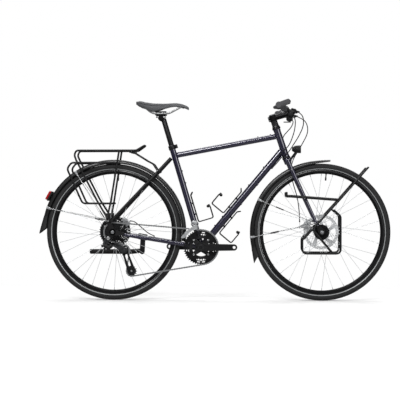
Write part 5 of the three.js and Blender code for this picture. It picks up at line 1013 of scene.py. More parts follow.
def chain_loop():
    """The chain's runs and wraps over ring, cog, guide pulley and tension pulley."""
    wheels = [(Vector((place.x, place.z)), teeth, turn) for place, teeth, turn in (
        (BRACKET, BIG_RING, 1), (REAR, CASSETTE[COG_IN_USE], 1), (GUIDE, PULLEY_TEETH, -1),
        (TENSION, PULLEY_TEETH, 1))]
    runs, wraps = [], []
    for i, (centre, teeth, turn) in enumerate(wheels):
        to_centre, to_teeth, to_turn = wheels[(i + 1) % 4]
        reach, to_reach = turn * pitch_radius(teeth), to_turn * pitch_radius(to_teeth)
        between = to_centre - centre
        heading = math.atan2(between.y, between.x) + math.asin((reach - to_reach) / between.length)
        left = Vector((-math.sin(heading), math.cos(heading)))
        start, end = centre - left * reach, to_centre - left * to_reach
        runs.append((start, end, (end - start).length / PITCH))
    for i, (centre, teeth, turn) in enumerate(wheels):
        arriving, leaving = runs[i - 1][1] - centre, runs[i][0] - centre
        first = math.atan2(arriving.y, arriving.x)
        sweep_angle = (turn * (math.atan2(leaving.y, leaving.x) - first)) % FULL
        wraps.append((centre, teeth, turn, first, sweep_angle * teeth / FULL))
    return runs, wraps


CHAIN_RUNS, CHAIN_WRAPS = chain_loop()
LINKS = 2 * round(sum(r[2] for r in CHAIN_RUNS) / 2 + sum(w[4] for w in CHAIN_WRAPS) / 2)


def chain_pin(links):
    """The place of a pin that many links round the loop, from the ring's first one."""
    rest = links % LINKS
    for (centre, teeth, turn, first, count), (start, end, length) in zip(CHAIN_WRAPS, CHAIN_RUNS):
        if rest < count:
            angle = first + turn * rest * FULL / teeth
            return centre + Vector((math.cos(angle), math.sin(angle))) * pitch_radius(teeth)
        rest -= count
        if rest < length:
            return start.lerp(end, rest / length)
        rest -= length
    return CHAIN_RUNS[-1][1]


def chain_side(x):
    """How far across the chain is, as it bends from the cog's plane to the ring's."""
    share = min(max((x - BEND_BACK) / (BEND_FRONT - BEND_BACK), 0), 1)
    return COG_PLANE + (RING_PLANE - COG_PLANE) * share


def link_plate(bm, pin, following, from_y, to_y):
    """A figure-of-eight side plate between two pins."""
    way = following - pin
    half, heading = way.length / 2, math.atan2(way.y, way.x)
    high, waist, outline = 4.1, 2.9, []
    for end, first in ((-1, 90), (1, -90)):
        for degrees in (first, first + 60, first + 120, first + 180):
            angle = math.radians(degrees)
            outline.append((end * half + high * math.cos(angle), high * math.sin(angle)))
        outline.append((0, -waist * (1 if end < 0 else -1)))
    middle = (pin + following) / 2
    turn = Matrix.Translation((middle.x, 0, middle.y)) @ Matrix.Rotation(-heading, 4, "Y")
    plate(bm, outline, from_y, to_y, turn=turn)


def make_chain():
    plates, rollers = bmesh.new(), bmesh.new()
    for i in range(LINKS):
        pin, following = chain_pin(i), chain_pin(i + 1)
        y = chain_side((pin.x + following.x) / 2)
        near, far = (1.25, 2.05) if i % 2 else (2.15, 2.95)
        for side in (-1, 1):
            link_plate(plates, pin, following, y + side * near, y + side * far)
        y = chain_side(pin.x)
        cross_rod(rollers, pin.x, pin.y, y - 1.2, y + 1.2, 3.8, 10)
        cross_rod(rollers, pin.x, pin.y, y - 3.2, y + 3.2, 1.6, 8)
    piece("chain_side_plates", plates, chain_steel, "frame", "chain", 30)
    piece("chain_rollers_and_pins", rollers, chain_steel, "frame")


def first_pin(wheel):
    """The direction of a pin's seat on one of the four wheels, in radians."""
    before = sum(CHAIN_WRAPS[i][4] + CHAIN_RUNS[i][2] for i in range(wheel))
    teeth, turn, first = CHAIN_WRAPS[wheel][1:4]
    return first + turn * (math.ceil(before) - before) * FULL / teeth


def teeth_outline(teeth, start, tip=2.6):
    """Tooth flanks that leave a round seat for each roller."""
    radius, step = pitch_radius(teeth), FULL / teeth
    points = []
    for i in range(teeth):
        seat = start + i * step
        for degrees in (-62, -30, 0, 30, 62):
            angle = math.radians(180 + degrees)
            x, y = radius + ROLLER_SEAT * math.cos(angle), -ROLLER_SEAT * math.sin(angle)
            points.append((x * math.cos(seat) - y * math.sin(seat),
                           x * math.sin(seat) + y * math.cos(seat)))
        for share in (0.42, 0.58):
            angle = seat + step * share
            points.append(((radius + tip) * math.cos(angle), (radius + tip) * math.sin(angle)))
    return points


def cog_windows(radius_in, radius_out, count):
    """Openings between the arms of a large cog."""
    holes, trim = [], 0.18
    for i in range(count):
        a, b = 360 * (i + trim) / count, 360 * (i + 1 - trim) / count
        holes.append(arc(0, 0, radius_out, a, b, 6) + arc(0, 0, radius_in, b - 4, a + 4, 4))
    return holes


def make_cassette():
    bm = bmesh.new()
    place = Matrix.Translation(REAR)
    for i, teeth in enumerate(CASSETTE):
        plane = FIRST_COG + i * COG_STEP
        start = first_pin(1) if i == COG_IN_USE else 0.3 * i
        holes = [circle_points(0, 0, 17.2 if teeth > 15 else 14, 32)]
        root = pitch_radius(teeth) - 4
        if teeth > 21:
            holes += cog_windows(23, root - 5, 6 if teeth < 32 else 8)
        plate(bm, teeth_outline(teeth, start), plane - 0.8, plane + 0.8, holes, 0.2, place)
    piece("cassette_cogs", bm, cog_steel_and_painted_rotor_shade, "cassette", "cassette", 30)
    bm = bmesh.new()
    revolve(bm, [(6.4, -64.8), (15.2, -64.8), (16, -64.2), (16, -62.9), (13.8, -62.7),
                 (13.8, -57), (17, -56.8), (17, -25), (16, -24), (6.4, -24)], REAR, ALONG_Y, 48,
            ring=True)
    for x, z in circle_points(0, AXLE_Z, 12.2, 12):
        cross_rod(bm, x, z, -65.4, -64.6, 1.1, 8)
    piece("cassette_lockring_and_body", bm, black_metal, "cassette")


def make_rings():
    bm = bmesh.new()
    place = Matrix.Translation(BRACKET)
    for teeth, plane, start in ((BIG_RING, RING_PLANE, first_pin(0)),
                                (SMALL_RING, RING_PLANE + RING_STEP, 0)):
        root = pitch_radius(teeth) - 4
        holes = [circle_points(0, 0, 46, 72)]
        if teeth == BIG_RING:
            for i in range(8):
                a = 45 * i + 22.5 + (13 if i % 2 else -13)
                holes.append(arc(0, 0, root - 7, a - 6, a + 6, 6)
                             + arc(0, 0, root - 11.4, a + 5, a - 5, 6))
            for i in range(4):
                a = 90 * i
                holes.append(arc(0, 0, root - 17, a - 21, a + 21, 8)
                             + arc(0, 0, root - 26, a + 17, a - 17, 8))
        plate(bm, teeth_outline(teeth, start), plane - 0.85, plane + 0.85, holes, 0.25, place)
    piece("ring_plates", bm, black_metal, "crankset", "chainrings", 30)
    bm = bmesh.new()
    for x, z in circle_points(BRACKET.x, BRACKET.z, 52, 4, math.radians(45)):
        cross_rod(bm, x, z, RING_PLANE, RING_PLANE + RING_STEP, 5.6, 24)
        bolt(bm, at(x, -52.6, z), -ALONG_Y, 4.8, 1.6, 0.55)
        bolt(bm, at(x, RING_PLANE + RING_STEP + 0.9, z), ALONG_Y, 4.8, 1.4, 0.55)
    piece("ring_bolts", bm, steel, "crankset")


def make_crank(name, way, heading, node_name):
    """A crank arm with its boss; the right one also carries the spider and the spindle."""
    bm = bmesh.new()
    inner, outer = way * 62, way * 75
    eye = (heading * CRANK_LENGTH, 0)
    place = Matrix.Translation(BRACKET)
    plate(bm, link_outline((0, 0), 19, eye, 16, 14), inner, outer,
          [circle_points(*eye, 7.3, 28)], 2.2, place)
    start = -52.2 if way < 0 else 43
    revolve(bm, [(0, start), (18, start), (19, start + way), (19, way * 75.6), (18, way * 77),
                 (9, way * 77), (8.4, way * 76.4), (8.4, way * 69), (0, way * 69)],
            BRACKET, ALONG_Y, 56)
    if way < 0:
        for tip in circle_points(0, 0, 57 * 0.86, 4, math.radians(45)):
            plate(bm, link_outline((0, 0), 20, tip, 8.6, 10), -47.7, -52.7, (), 0.9, place)
        rod(bm, BRACKET + at(0, -52, 0), BRACKET + at(0, 74.6, 0), 8.5, sides=32, edge=0.5)
    piece(f"{name}_arm", bm, black_metal, "crankset", node_name)
    bm = bmesh.new()
    revolve(bm, [(9.2, way * 77.05), (13, way * 77.05), (13.4, way * 77.4), (12.8, way * 78.2),
                 (9.6, way * 78.6), (9.2, way * 78)], BRACKET, ALONG_Y, 40, ring=True)
    for side in (-1, 1):
        y = way * 68.5 + side * 6.7
        collar(bm, BRACKET + at(eye[0], 0, 0), ALONG_Y, 7.3, 9.6, y - 0.25, y + 0.25, 32)
    piece(f"{name}_cap_and_eye", bm, steel if way > 0 else black_metal, "crankset")


make_chain()
make_cassette()
make_rings()
make_crank("right_crank", -1, 1, "crank_right")
make_crank("left_crank", 1, -1, "crank_left")

# Rear derailleur


def melted(bm, voxel, smoothing):
    """One soft-edged body from overlapping shapes: remeshed, smoothed, and given back."""
    obj = new_object("melt", bm)
    mesh = obj.data
    remeshed(obj, voxel)
    relaxed(obj, smoothing)
    made = modified_mesh(obj)
    result = bmesh.new()
    result.from_mesh(made)
    bpy.data.objects.remove(obj)
    bpy.data.meshes.remove(mesh)
    bpy.data.meshes.remove(made)
    return result


HANGER = at(-20, 0, 320)
bm = bmesh.new()
revolve(bm, [(0, -74), (11, -74), (12, -75), (12, -79), (11.2, -80), (11.2, -81), (12, -82),
             (12, -88.6), (10.6, -90), (0, -90)], HANGER, ALONG_Y, 48)
link(bm, (-20, 320), 11.4, (-33, 296), 10, -74.2, -80, 1.2)
sweep(bm, smooth_curve([at(-22, -82, 322), at(-37, -82, 309), at(-42, -82, 292),
                        at(-36, -82, 276)], 6),
      [(-7, -4.5), (-5.6, -6), (5.6, -6), (7, -4.5), (7, 4.5), (5.6, 6), (-5.6, 6), (-7, 4.5)],
      ALONG_Y, [0.85, *[1] * 17, 0.9])
piece("derailleur_knuckle", melted(bm, 0.9, 2), dark_alloy, "frame",
      "rear_derailleur", 60)
bm = bmesh.new()
for x, z, size in ((-32, 280, (13, 9.6, 13)), (-20, 273, (13, 9, 12)), (-8, 280, (11, 8, 12))):
    ball(bm, at(x, -82.5, z), size)
rod(bm, at(-40, -83, 284), at(-56, -83, 280), 7.2, 6.6, sides=28, edge=1)
rod(bm, at(-36, -83, 270), at(-46, -83, 266), 4.6, 4, sides=20, edge=0.8)
piece("derailleur_body", melted(bm, 0.9, 3), black_plastic, "frame", (), 60)
bm = bmesh.new()
bolt(bm, at(-20, -90.05, 320), -ALONG_Y, 8.4, 2.6, 0.5)
cross_rod(bm, -20, 320, -66.8, -73.9, 6.4, 28, 0.5)
piece("derailleur_bolts", bm, steel, "frame")

bm = bmesh.new()
start, end = at(7, -84, 293), at(GUIDE.x - 2, -58, GUIDE.z + 3)
downhill = about_y(math.degrees(math.atan2(0.55, 0.84)))
for lift, thick in ((9.6, 9.6), (-9.0, 9.0)):
    rise = at(0.62 * lift, 0, 0.78 * lift)
    path = [start + rise, start.lerp(end, 0.2) + rise + at(0, -2.6, 0),
            start.lerp(end, 0.8) + rise + at(0, -1.4, 0), end + rise]
    sweep(bm, smooth_curve(path, 5),
          [(-thick, -3), (-thick * 0.8, -3.6), (thick * 0.8, -3.6), (thick, -3), (thick, 3),
           (thick * 0.8, 3.6), (-thick * 0.8, 3.6), (-thick, 3)], ALONG_Y,
          [0.78 if i in (0, 15) else 1 for i in range(16)])
revolve(bm, [(0, -44.9), (13, -44.9), (15, -46.4), (16, -49), (16, -60.4), (14.6, -62.6),
             (12, -63.6), (11.4, -62.6), (6, -62.4), (5.4, -63.8), (0, -63.8)],
        GUIDE * Vector((1, 0, 1)), ALONG_Y, 56)
block(bm, at(GUIDE.x - 10, -54, GUIDE.z + 12), (17, 12, 12), about_y(-42), 2.6)
ball(bm, start.lerp(end, 0.5) + at(0, -4, 4), (27, 5, 13), downhill)
ball(bm, start.lerp(end, 0.86) + at(2, -5, -6), (18, 6, 14), downhill)
piece("derailleur_parallelogram", melted(bm, 0.9, 3), dark_alloy, "derailleur_links",
      "derailleur_links", 60)
bm = bmesh.new()
for share in (0.06, 0.94):
    for lift in (9.6, -9.0):
        spot = start.lerp(end, share) + at(0.62 * lift, -7.2, 0.78 * lift)
        bolt(bm, spot + at(0, 1.6, 0), -ALONG_Y, 2.5, 1.4)
piece("derailleur_link_pins", bm, steel, "derailleur_links")

cage_way = (TENSION - GUIDE).normalized()
cage_side = quarter_on(cage_way)
bm = bmesh.new()
for near, far, wide in ((4.35, 5.6, 1.0), (-4.35, -5.6, 1.04)):
    guide_at, tension_at = (GUIDE.x, GUIDE.z), (TENSION.x, TENSION.z)
    outline = link_outline(guide_at, 13.4 * wide, tension_at, 20 * wide, 20)
    corner = TENSION + cage_way * 22 - cage_side * 20
    tail = min(range(len(outline)), key=lambda k: math.dist(outline[k], (corner.x, corner.z)))
    outline[tail] = (corner.x * 0.8 + outline[tail][0] * 0.2,
                     corner.z * 0.8 + outline[tail][1] * 0.2)
    slot_a, slot_b = GUIDE + cage_way * 22, TENSION - cage_way * 32
    slot = link_outline((slot_a.x, slot_a.z), 7, (slot_b.x, slot_b.z), 6, 8)
    holes = [slot, circle_points(*guide_at, 3.1, 16), circle_points(*tension_at, 3.1, 16)]
    for centre, count, reach in ((guide_at, 5, 9.4), (tension_at, 6, 10.6)):
        holes += [circle_points(*spot, 2.3, 12)
                  for spot in circle_points(*centre, reach, count, FULL / 4 / count)]
    plate(bm, outline, COG_PLANE + near, COG_PLANE + far, holes, 0.3)
piece("derailleur_cage_plates", bm, black_metal, "derailleur_cage",
      "derailleur_cage")
bm = bmesh.new()
for centre in (GUIDE, TENSION):
    cross_rod(bm, centre.x, centre.z, COG_PLANE - 5.6, COG_PLANE + 5.6, 3, 20)
    for way in (-1, 1):
        bolt(bm, at(centre.x, COG_PLANE + way * 5.5, centre.z), ALONG_Y * way, 4.2, 1.5)
piece("derailleur_pulley_bolts", bm, steel, "derailleur_cage")
for name, body, centre, wheel_index in (("guide_pulley_wheel", "guide_pulley", GUIDE, 2),
                                        ("tension_pulley_wheel", "tension_pulley", TENSION, 3)):
    bm = bmesh.new()
    place = Matrix.Translation(centre * Vector((1, 0, 1)))
    holes = [circle_points(0, 0, 8.6, 32)]
    holes += [circle_points(*spot, 2.9, 14) for spot in circle_points(0, 0, 15, 6)]
    plate(bm, teeth_outline(PULLEY_TEETH, first_pin(wheel_index), 2.2), COG_PLANE - 0.85,
          COG_PLANE + 0.85, holes, 0.2, place)
    collar(bm, centre, ALONG_Y, 3.6, 9.2, -2.9, 2.9, 32, (1.0, 0.9))
    piece(name, bm, black_plastic, body, body, 30)

# Front derailleur

bm = bmesh.new()
BAND = BRACKET + SEAT_UP * (118 + 6.5)
collar(bm, BAND, SEAT_UP, 15.7, 18.5, -6.5, 6.5, 56, (0.5, 0.7))
block(bm, BAND + at(4, -30, 6), (17, 19, 19), about_y(-16.5), 3)
block(bm, BAND + at(-6, -24, 10), (13, 16, 12), about_y(-16.5), 2.4)
for lift in (-2, 9):
    block(bm, BAND + at(-2, -36, lift), (20, 6, 4.6), about_y(-8), 1.2)
rod(bm, BAND + at(8, 14, 0), BAND + at(22, 14, 0) - SEAT_AHEAD * 2, 4.4, sides=20, edge=0.8)
piece("front_derailleur_body", bm, silver, "frame", "front_derailleur")
bm = bmesh.new()
reach = pitch_radius(BIG_RING) + 6
back_edge = [(BRACKET.x - behind, BRACKET.z + above) for behind, above in (
    (18, 112.8), (32, 112), (50, 101), (70, 84), (89, 65), (100, 53), (98, 46))]
for way in (-1, 1):
    plate(bm, back_edge + arc(BRACKET.x, BRACKET.z, reach, 150, 100, 16), RING_PLANE + way * 5,
          RING_PLANE + way * 6.2, (), 0.4)
    rim = [at(x, RING_PLANE + way * 6.1, z) for x, z in back_edge]
    sweep(bm, smooth_curve(rim, 4), (1.1, 8))
    inner = [at(x, RING_PLANE + way * 6.1, z)
             for x, z in arc(BRACKET.x, BRACKET.z, reach + 1.4, 149, 101, 14)]
    sweep(bm, inner, (0.9, 8))
for x, z in ((-34, 107), (-93, 54)):
    cross_rod(bm, BRACKET.x + x, BRACKET.z + z, RING_PLANE - 6, RING_PLANE + 6, 2.6, 18, 0.3)
piece("front_derailleur_plates", bm, silver, "front_derailleur_cage",
      "front_derailleur_cage")

# Racks of black tube

DECK_Z = 770


def both_ways(bm, corners, radius, bend, sides=14):
    for way in (1, -1):
        pipe(bm, [Vector(c) * Vector((1, way, 1)) for c in corners], radius, bend, sides)


bm = bmesh.new()
deck_side = [at(-26, 82, 424), at(-82, 66, 515), at(-189, 66, 722), at(-199, 57, 746),
             at(-190, 57, DECK_Z), at(120, 57, DECK_Z), at(160, 32, 796)]
pipe(bm, [*deck_side, *[flipped(p) for p in reversed(deck_side)]], 5, 22, 18)
for i in range(4):
    cross_rod(bm, -168 + 96 * i, DECK_Z, -55, 55, 4, 18)
both_ways(bm, [at(32, 57, DECK_Z), at(-8, 66, 515), at(-26, 82, 424)], 5, 52, 16)
both_ways(bm, [at(16, 66, 707), at(-10, 74, 707), at(-212, 74, 707), at(-234, 74, 676),
               at(-154, 74, 498), at(-13, 74, 498), at(-3, 66, 498)], 5, 26, 16)
piece("rear_rack_tubes", bm, black_coat, "frame", "rear_rack", 50)
bm = bmesh.new()
for way in (-1, 1):
    link(bm, (-26, 424), 8, EYELET, 8, way * 73.8, way * 77.6, 0.8,
         [circle_points(*EYELET, 2.6, 16)])
    cross_rod(bm, -26, 424, way * 77.6, way * 84, 5.2, 20, 0.8)
    pipe(bm, [at(84, way * 50, 762), at(110, way * 50, 757), at(176, way * 50, 716),
              at(206, way * 50, 700), at(228, way * 50, 666)], 4, 30, 14)
    block(bm, at(97, way * 50, 763), (30, 9, 12), about_y(14), 2)
    plate(bm, [(-42, 448), (-8, 448), (-14, 416), (-34, 416)], way * 71.6, way * 74, (), 0.6)
    rod(bm, at(96, way * 46.5, 766), at(96, way * 57, DECK_Z - 4), 3.5, sides=16)
    cross_rod(bm, 228, 666, way * 53.5, way * 41, 5.6, 24, 0.8)
    cross_rod(bm, 228, 666, way * 33.6, way * 41, 4, 20)
    collar(bm, at(234, way * 32.8, 664.8), (STAY_FOOT - STAY_TOP) * Vector((1, way, 1)),
           8.3, 10.8, -5, 5, 32, (0.4, 0.6))
piece("rear_rack_feet_and_arms", bm, black_coat, "frame", (), 50)
bm = bmesh.new()
for way in (-1, 1):
    bolt(bm, at(-22, way * 77.7, 408), ALONG_Y * way, 4.6, 3, 0.5)
    bolt(bm, at(228, way * 53.6, 666), ALONG_Y * way, 3.6, 2.4, 0.5)
    bolt(bm, at(96, way * 58, 767), ALONG_Y * way, 3.2, 2, 0.5)
piece("rear_rack_bolts", bm, steel, "frame")

for name, way in (("left", 1), ("right", -1)):
    y = way * 80
    bm = bmesh.new()
    pipe(bm, [at(887, y, 553), at(887, y, 535), at(911, y, 535), at(1146, y, 517)], 7, 10, 18)
    ball(bm, at(1146, y, 517), (7, 7, 7))
    pipe(bm, [at(1300, y, 681), at(1150, y, 510), at(973, y, 316)], 5, 24, 16)
    pipe(bm, [at(1125, y, 466), at(1161, y, 434), at(1161, y, 244), at(968, y, 244),
              at(968, y, 316), at(1016, y, 372)], 5, 24, 16)
    rod(bm, at(1016, y, 372), at(1123, y, 244), 5, sides=16)
    for x, z in ((1300, 681), (887, 553)):
        radius = 5 if x > 1000 else 7
        ball(bm, at(x, y, z), (radius, radius, radius * 0.6))
    piece(f"front_rack_{name}_tubes", bm, black_coat, "fork",
          f"front_rack_{name}", 50)
    bm = bmesh.new()
    cross_rod(bm, 1016, 372, way * 56.4, way * 75.4, 7, 28, 0.8)
    collar(bm, at(1016, y, 372), ALONG_Y, 5.2, 7.4, -5, 5, 32)
    cross_rod(bm, 979, 528, way * 49, way * 75, 7, 28, 0.8)
    block(bm, at(979, way * 79, 528), (20, 7, 12), about_y(4.5), 1.6)
    piece(f"front_rack_{name}_spacers", bm, black_coat, "fork")
    bm = bmesh.new()
    bolt(bm, at(1016, way * 85.2, 372), ALONG_Y * way, 4.4, 2.8, 0.5)
    bolt(bm, at(979, way * 83.4, 527), ALONG_Y * way, 4.2, 2.8, 0.5)
    piece(f"front_rack_{name}_bolts", bm, steel, "fork")

# Lights

bm = bmesh.new()
LAMP, LAMP_PIVOT = at(940, 0, 776), (931, 752)
revolve(bm, [(0, -23), (8, -23), (10, -22), (14, -14), (16.6, -8), (18.6, 0), (19.8, 8),
             (20, 12), (20, 22), (19.4, 23), (17.2, 23), (17, 18), (0, 17)], LAMP, (1, 0, 0), 56)
for i in range(5):
    block(bm, LAMP + at(-12 + 3.4 * i, 0, 15.4 + 0.8 * i), (1.2, 16, 3.4), None, 0.3, 2)
block(bm, LAMP + at(-5, 0, -21), (13, 9, 12), about_y(-10), 1.6)
piece("headlight_housing", bm, black_plastic, "headlight", "headlight")
bm = bmesh.new()
revolve(bm, [(0, 20.4), (6, 20.2), (12, 19.4), (16.8, 17.6), (16.8, 19), (12, 21), (6, 22),
             (0, 22.3)], LAMP, (1, 0, 0), 48)
piece("headlight_lens", bm, clear_lens, "headlight")
bm = bmesh.new()
revolve(bm, [(0, 14), (5, 13.6), (5.4, 12), (6, 9), (9, 11.6), (13, 14.4), (16.4, 17.2),
             (16.4, 17.5), (5, 17.3), (0, 17.3)], LAMP, (1, 0, 0), 40)
piece("headlight_reflector", bm, silver, "headlight")
bm = bmesh.new()
cross_rod(bm, *LAMP_PIVOT, -8.6, 8.6, 6, 28, 0.6)
rod(bm, at(931, 0, 754), at(934, 0, 762), 4.5, sides=20)
piece("headlight_pivot", bm, black_metal, "headlight")

light_out = toward(151)
light_along = quarter_on(light_out)
light_turn = Matrix((light_out, ALONG_Y, light_along)).transposed()
centre = REAR + light_out * (373 + 13.2)
bm = bmesh.new()
block(bm, centre - light_out * 5.2, (8, 46, 54), light_turn, 3.4, 4)
rod(bm, REAR + light_out * 373.3, centre - light_out * 4, 8, sides=24)
block(bm, centre - light_out * 9.6, (3, 26, 34), light_turn, 1.2)
piece("rear_light_body", bm, black_plastic, "frame", "rear_light")
bm = bmesh.new()
block(bm, centre + light_out * 4.2, (11, 43, 50), light_turn, 4.4, 5)
piece("rear_light_lens", bm, red_lens, "frame")
bm = bmesh.new()
for lift in (-13, 0, 13):
    block(bm, centre + light_out * 9.4 + light_along * lift, (1.2, 34, 8), light_turn, 0.5)
piece("rear_light_ribs", bm, red_lens, "frame")

# Disc brake callipers

FRONT_CALLIPER = 154
for name, degrees, body in (("front", FRONT_CALLIPER, "fork"), ("rear", 42, "frame")):
    wheel, out = WHEELS[name], toward(degrees)
    tangent = quarter_on(out)
    middle = wheel["centre"] + out * (wheel["rotor"] - 7)
    turn = Matrix((out, ALONG_Y, tangent)).transposed()
    plane = wheel["rotor_at"]
    bm = bmesh.new()
    block(bm, middle + at(0, plane + 8.6, 0), (33, 12.6, 46), turn, 3.2, 3)
    block(bm, middle + at(0, plane - 5.6, 0), (33, 6.6, 44), turn, 2.4, 3)
    block(bm, middle + out * 14.4 + at(0, plane + 3, 0), (5, 23, 30), turn, 1.6)
    for way in (-1, 1):
        block(bm, middle + tangent * (way * 25.4) - out * 3 + at(0, plane + 9.4, 0),
              (15, 10, 11), turn, 2.4)
    revolve(bm, [(0, 14.6), (11.4, 14.6), (11.6, 15.2), (0, 15.2)], middle + at(0, plane - 0.3, 0),
            ALONG_Y, 36)
    piece(f"{name}_calliper_body", bm, silver, body,
          f"{name}_brake_caliper")
    bm = bmesh.new()
    for way in (-1, 1):
        spot = middle + tangent * (way * 25.4) - out * 3 + at(0, plane + 4.4, 0)
        bolt(bm, spot, -ALONG_Y, 3.8, 3.2)
    for way in (-1, 1):
        block(bm, middle - out * 2 + at(0, plane + way * 1.55, 0), (22, 0.9, 22), turn, 0.3, 1)
    revolve(bm, [(0, -9), (6, -9), (7, -9.4), (7.6, -11.5), (7.2, -12.8), (0, -13.2)],
            middle + at(0, plane, 0), ALONG_Y, 32)
    piece(f"{name}_calliper_bolts_and_pads", bm, chain_steel, body)
    bm = bmesh.new()
    arm_end = middle + toward(200) * 38
    tip = (arm_end.x, arm_end.z)
    near = plane + 15.8
    link(bm, (middle.x, middle.z), 12, tip, 6, near, near + 4, 1,
         [circle_points(*tip, 2.6, 16)])
    revolve(bm, [(0, 0), (8, 0), (8.4, 0.6), (8, 2.6), (4, 3), (3.6, 2), (0, 2)],
            at(middle.x, near + 4, middle.z), ALONG_Y, 32)
    bolt(bm, at(tip[0], near + 4, tip[1]), ALONG_Y, 3.6, 2.6)
    piece(f"{name}_calliper_lever", bm, silver, f"{name}_brake_arm",
          f"{name}_brake_arm")

# Kickstand

STAND_PIVOT = at(138, 71, 246)
LEAN = (Matrix.Translation(STAND_PIVOT) @ Matrix.Rotation(math.radians(15), 4, "X")
        @ Matrix.Translation(-STAND_PIVOT))
STAND_STAY = stay_front.lerp(stay_back, (425 - 143) / 355)


def lean(bm):
    bmesh.ops.transform(bm, matrix=LEAN, verts=bm.verts)


bm = bmesh.new()
stand_at = (STAND_PIVOT.x, STAND_PIVOT.z)
link(bm, (STAND_STAY.x, STAND_STAY.z - 15), 12.6, stand_at, 13, 63.6, 78.4, 2.2,
     [circle_points(*stand_at, 5.4, 20)])
lean(bm)
stay_turn = (stay_back - stay_front).to_track_quat("-X", "Z").to_matrix()
for lift in (11.6, -12.4):
    block(bm, STAND_STAY + at(0, 0, lift), (45, 29, 7.4), stay_turn, 2.4)
block(bm, STAND_STAY + at(0, 12.4, 0), (44, 5, 26), stay_turn, 1.6)
block(bm, STAND_STAY + at(0, -12, 0), (44, 4, 25), stay_turn, 1.4)
piece("kickstand_clamp", bm, black_metal, "frame", "kickstand_bracket")
bm = bmesh.new()
for way in (-1, 1):
    spot = STAND_STAY + at(way * 14, 0, way * -2.2)
    for side in (-1, 1):
        bolt(bm, spot + at(0, side * 4, 15), UP, 3.6, 2.2)
piece("kickstand_clamp_bolts", bm, steel, "frame")
bm = bmesh.new()
revolve(bm, [(0, 78.8), (10, 78.8), (11, 79.6), (11, 101), (10, 102), (6, 102), (5.4, 100.8),
             (0, 100.8)], STAND_PIVOT * Vector((1, 0, 1)), ALONG_Y, 40)
cross_rod(bm, *stand_at, 64, 90, 4.9, 28)
path = rounded([at(138, 91, 246), at(82, 91, 240), at(-136, 91, 240), at(-139, 91, 240)], 56, 8)
sweep(bm, path, [(13.2 * c, 13 * s) for c, s in circle_points(0, 0, 1, 32)], ALONG_Y,
      [0.9] + [1] * (len(path) - 3) + [0.98, 0.8])
lean(bm)
piece("kickstand_leg_tube", bm, black_coat, "kickstand", "kickstand_leg", 50)
bm = bmesh.new()
sweep(bm, [at(-102, 91, 240), at(-103, 91, 240), at(-139.6, 91, 240)], (11.02, 28), None,
      [0.99, 1.0, 0.96])
for i in range(7):
    revolve(bm, [(10.6, 0), (11.0, 0.4), (11.0, 1.8), (10.6, 2.2)], at(-110 - 4 * i, 91, 240),
            (-1, 0, 0), 28, ring=True)
lean(bm)
piece("kickstand_foot", bm, flap_rubber, "kickstand", (), 30)

# Bottle cages of bent wire, standing on a tube's face: X away from it and Z up along it


def make_cage(name, foot, up, away, node_name):
    back, front, wire, bolts_at = 7, 86.2, 3.1, (43.2, 100.8)
    bm = bmesh.new()
    both = [at(back, 13, 144), at(back, 13, 0), at(front, 13, 0), at(front, 12, 58),
            at(front - 3, 7, 70), at(front - 3, -7, 70), at(front, -12, 58), at(front, -13, 0),
            at(back, -13, 0), at(back, -13, 144), at(back + 12, -13, 156),
            at(back + 12, 13, 156), at(back, 13, 141.4)]
    sweep(bm, rounded(both, 9, 5), (wire, 12))
    block(bm, at(front - 5, 0, 68), (12, 22, 9), about_y(-24), 3.4, 3)
    ball(bm, at(front - 9, 0, 64), (9, 19, 8))
    block(bm, at(back, 0, 72), (2.4, 26, 74), None, 0.9)
    for lift in bolts_at:
        rod(bm, at(0.3, 0, lift), at(back, 0, lift), 5, sides=24)
    axes = Matrix((away, up.cross(away), up)).transposed().to_4x4()
    turn = Matrix.Translation(foot) @ axes
    bmesh.ops.transform(bm, matrix=turn, verts=bm.verts)
    piece(f"{name}_wire", bm, black_coat, "frame", node_name, 50)
    bm = bmesh.new()
    for lift in bolts_at:
        bolt(bm, at(back + 1.3, 0, lift), (1, 0, 0), 4.6, 3)
    bmesh.ops.transform(bm, matrix=turn, verts=bm.verts)
    piece(f"{name}_bolts", bm, steel, "frame")


make_cage("seat_tube_cage", BRACKET + SEAT_UP * 128 + SEAT_AHEAD * 15.8, SEAT_UP, SEAT_AHEAD,
          "bottle_cage_seat_tube")
make_cage("down_tube_cage", BRACKET + DOWN_UP * 206 + DOWN_AWAY * 17.8, DOWN_UP, DOWN_AWAY,
          "bottle_cage_down_tube")
make_cage("lower_cage", BRACKET + DOWN_UP * 113.5 - DOWN_AWAY * 17.8, DOWN_UP, -DOWN_AWAY,
          "bottle_cage_lower")

# Fork

CROWN_TOP = -9.5
blade_top, blade_foot = on_steerer(CROWN_TOP - 32 / 3, 0, 38), FRONT + at(-22, 54.5, 32)
bm = bmesh.new()
sweep(bm, [blade_top, blade_top.lerp(blade_foot, 0.06), blade_top.lerp(blade_foot, 0.94),
           blade_foot], (12.5, 40), None,
      [1, 0.978, 0.66, 0.64])
mirror_across(bm)
piece("fork_blades", bm, paint, "fork", "fork", 50)
bm = bmesh.new()
turn = about_y(-18.6)
block(bm, on_steerer(CROWN_TOP - 16), (36, 66, 24), turn, 7, 5)
for way in (-1, 1):
    ball(bm, on_steerer(CROWN_TOP - 17, 0, way * 35), (17, 13, 14.4), turn)
rod(bm, on_steerer(CROWN_TOP - 28), on_steerer(CROWN_TOP + 0.4), 17.6, 20, sides=40)
piece("fork_crown", melted(bm, 1.2, 5), paint, "fork", (), 70)
bm = bmesh.new()
revolve(bm, [(14.8, CROWN_TOP - 0.2), (20.6, CROWN_TOP - 0.2), (21, CROWN_TOP + 0.2),
             (14.8, CROWN_TOP + 0.3)], HEAD_FOOT, STEER_UP, 48, ring=True)
rod(bm, on_steerer(CROWN_TOP - 4), on_steerer(STEM_FOOT + 30), 14, sides=40)
piece("fork_steerer", bm, black_metal, "fork")
bm = bmesh.new()
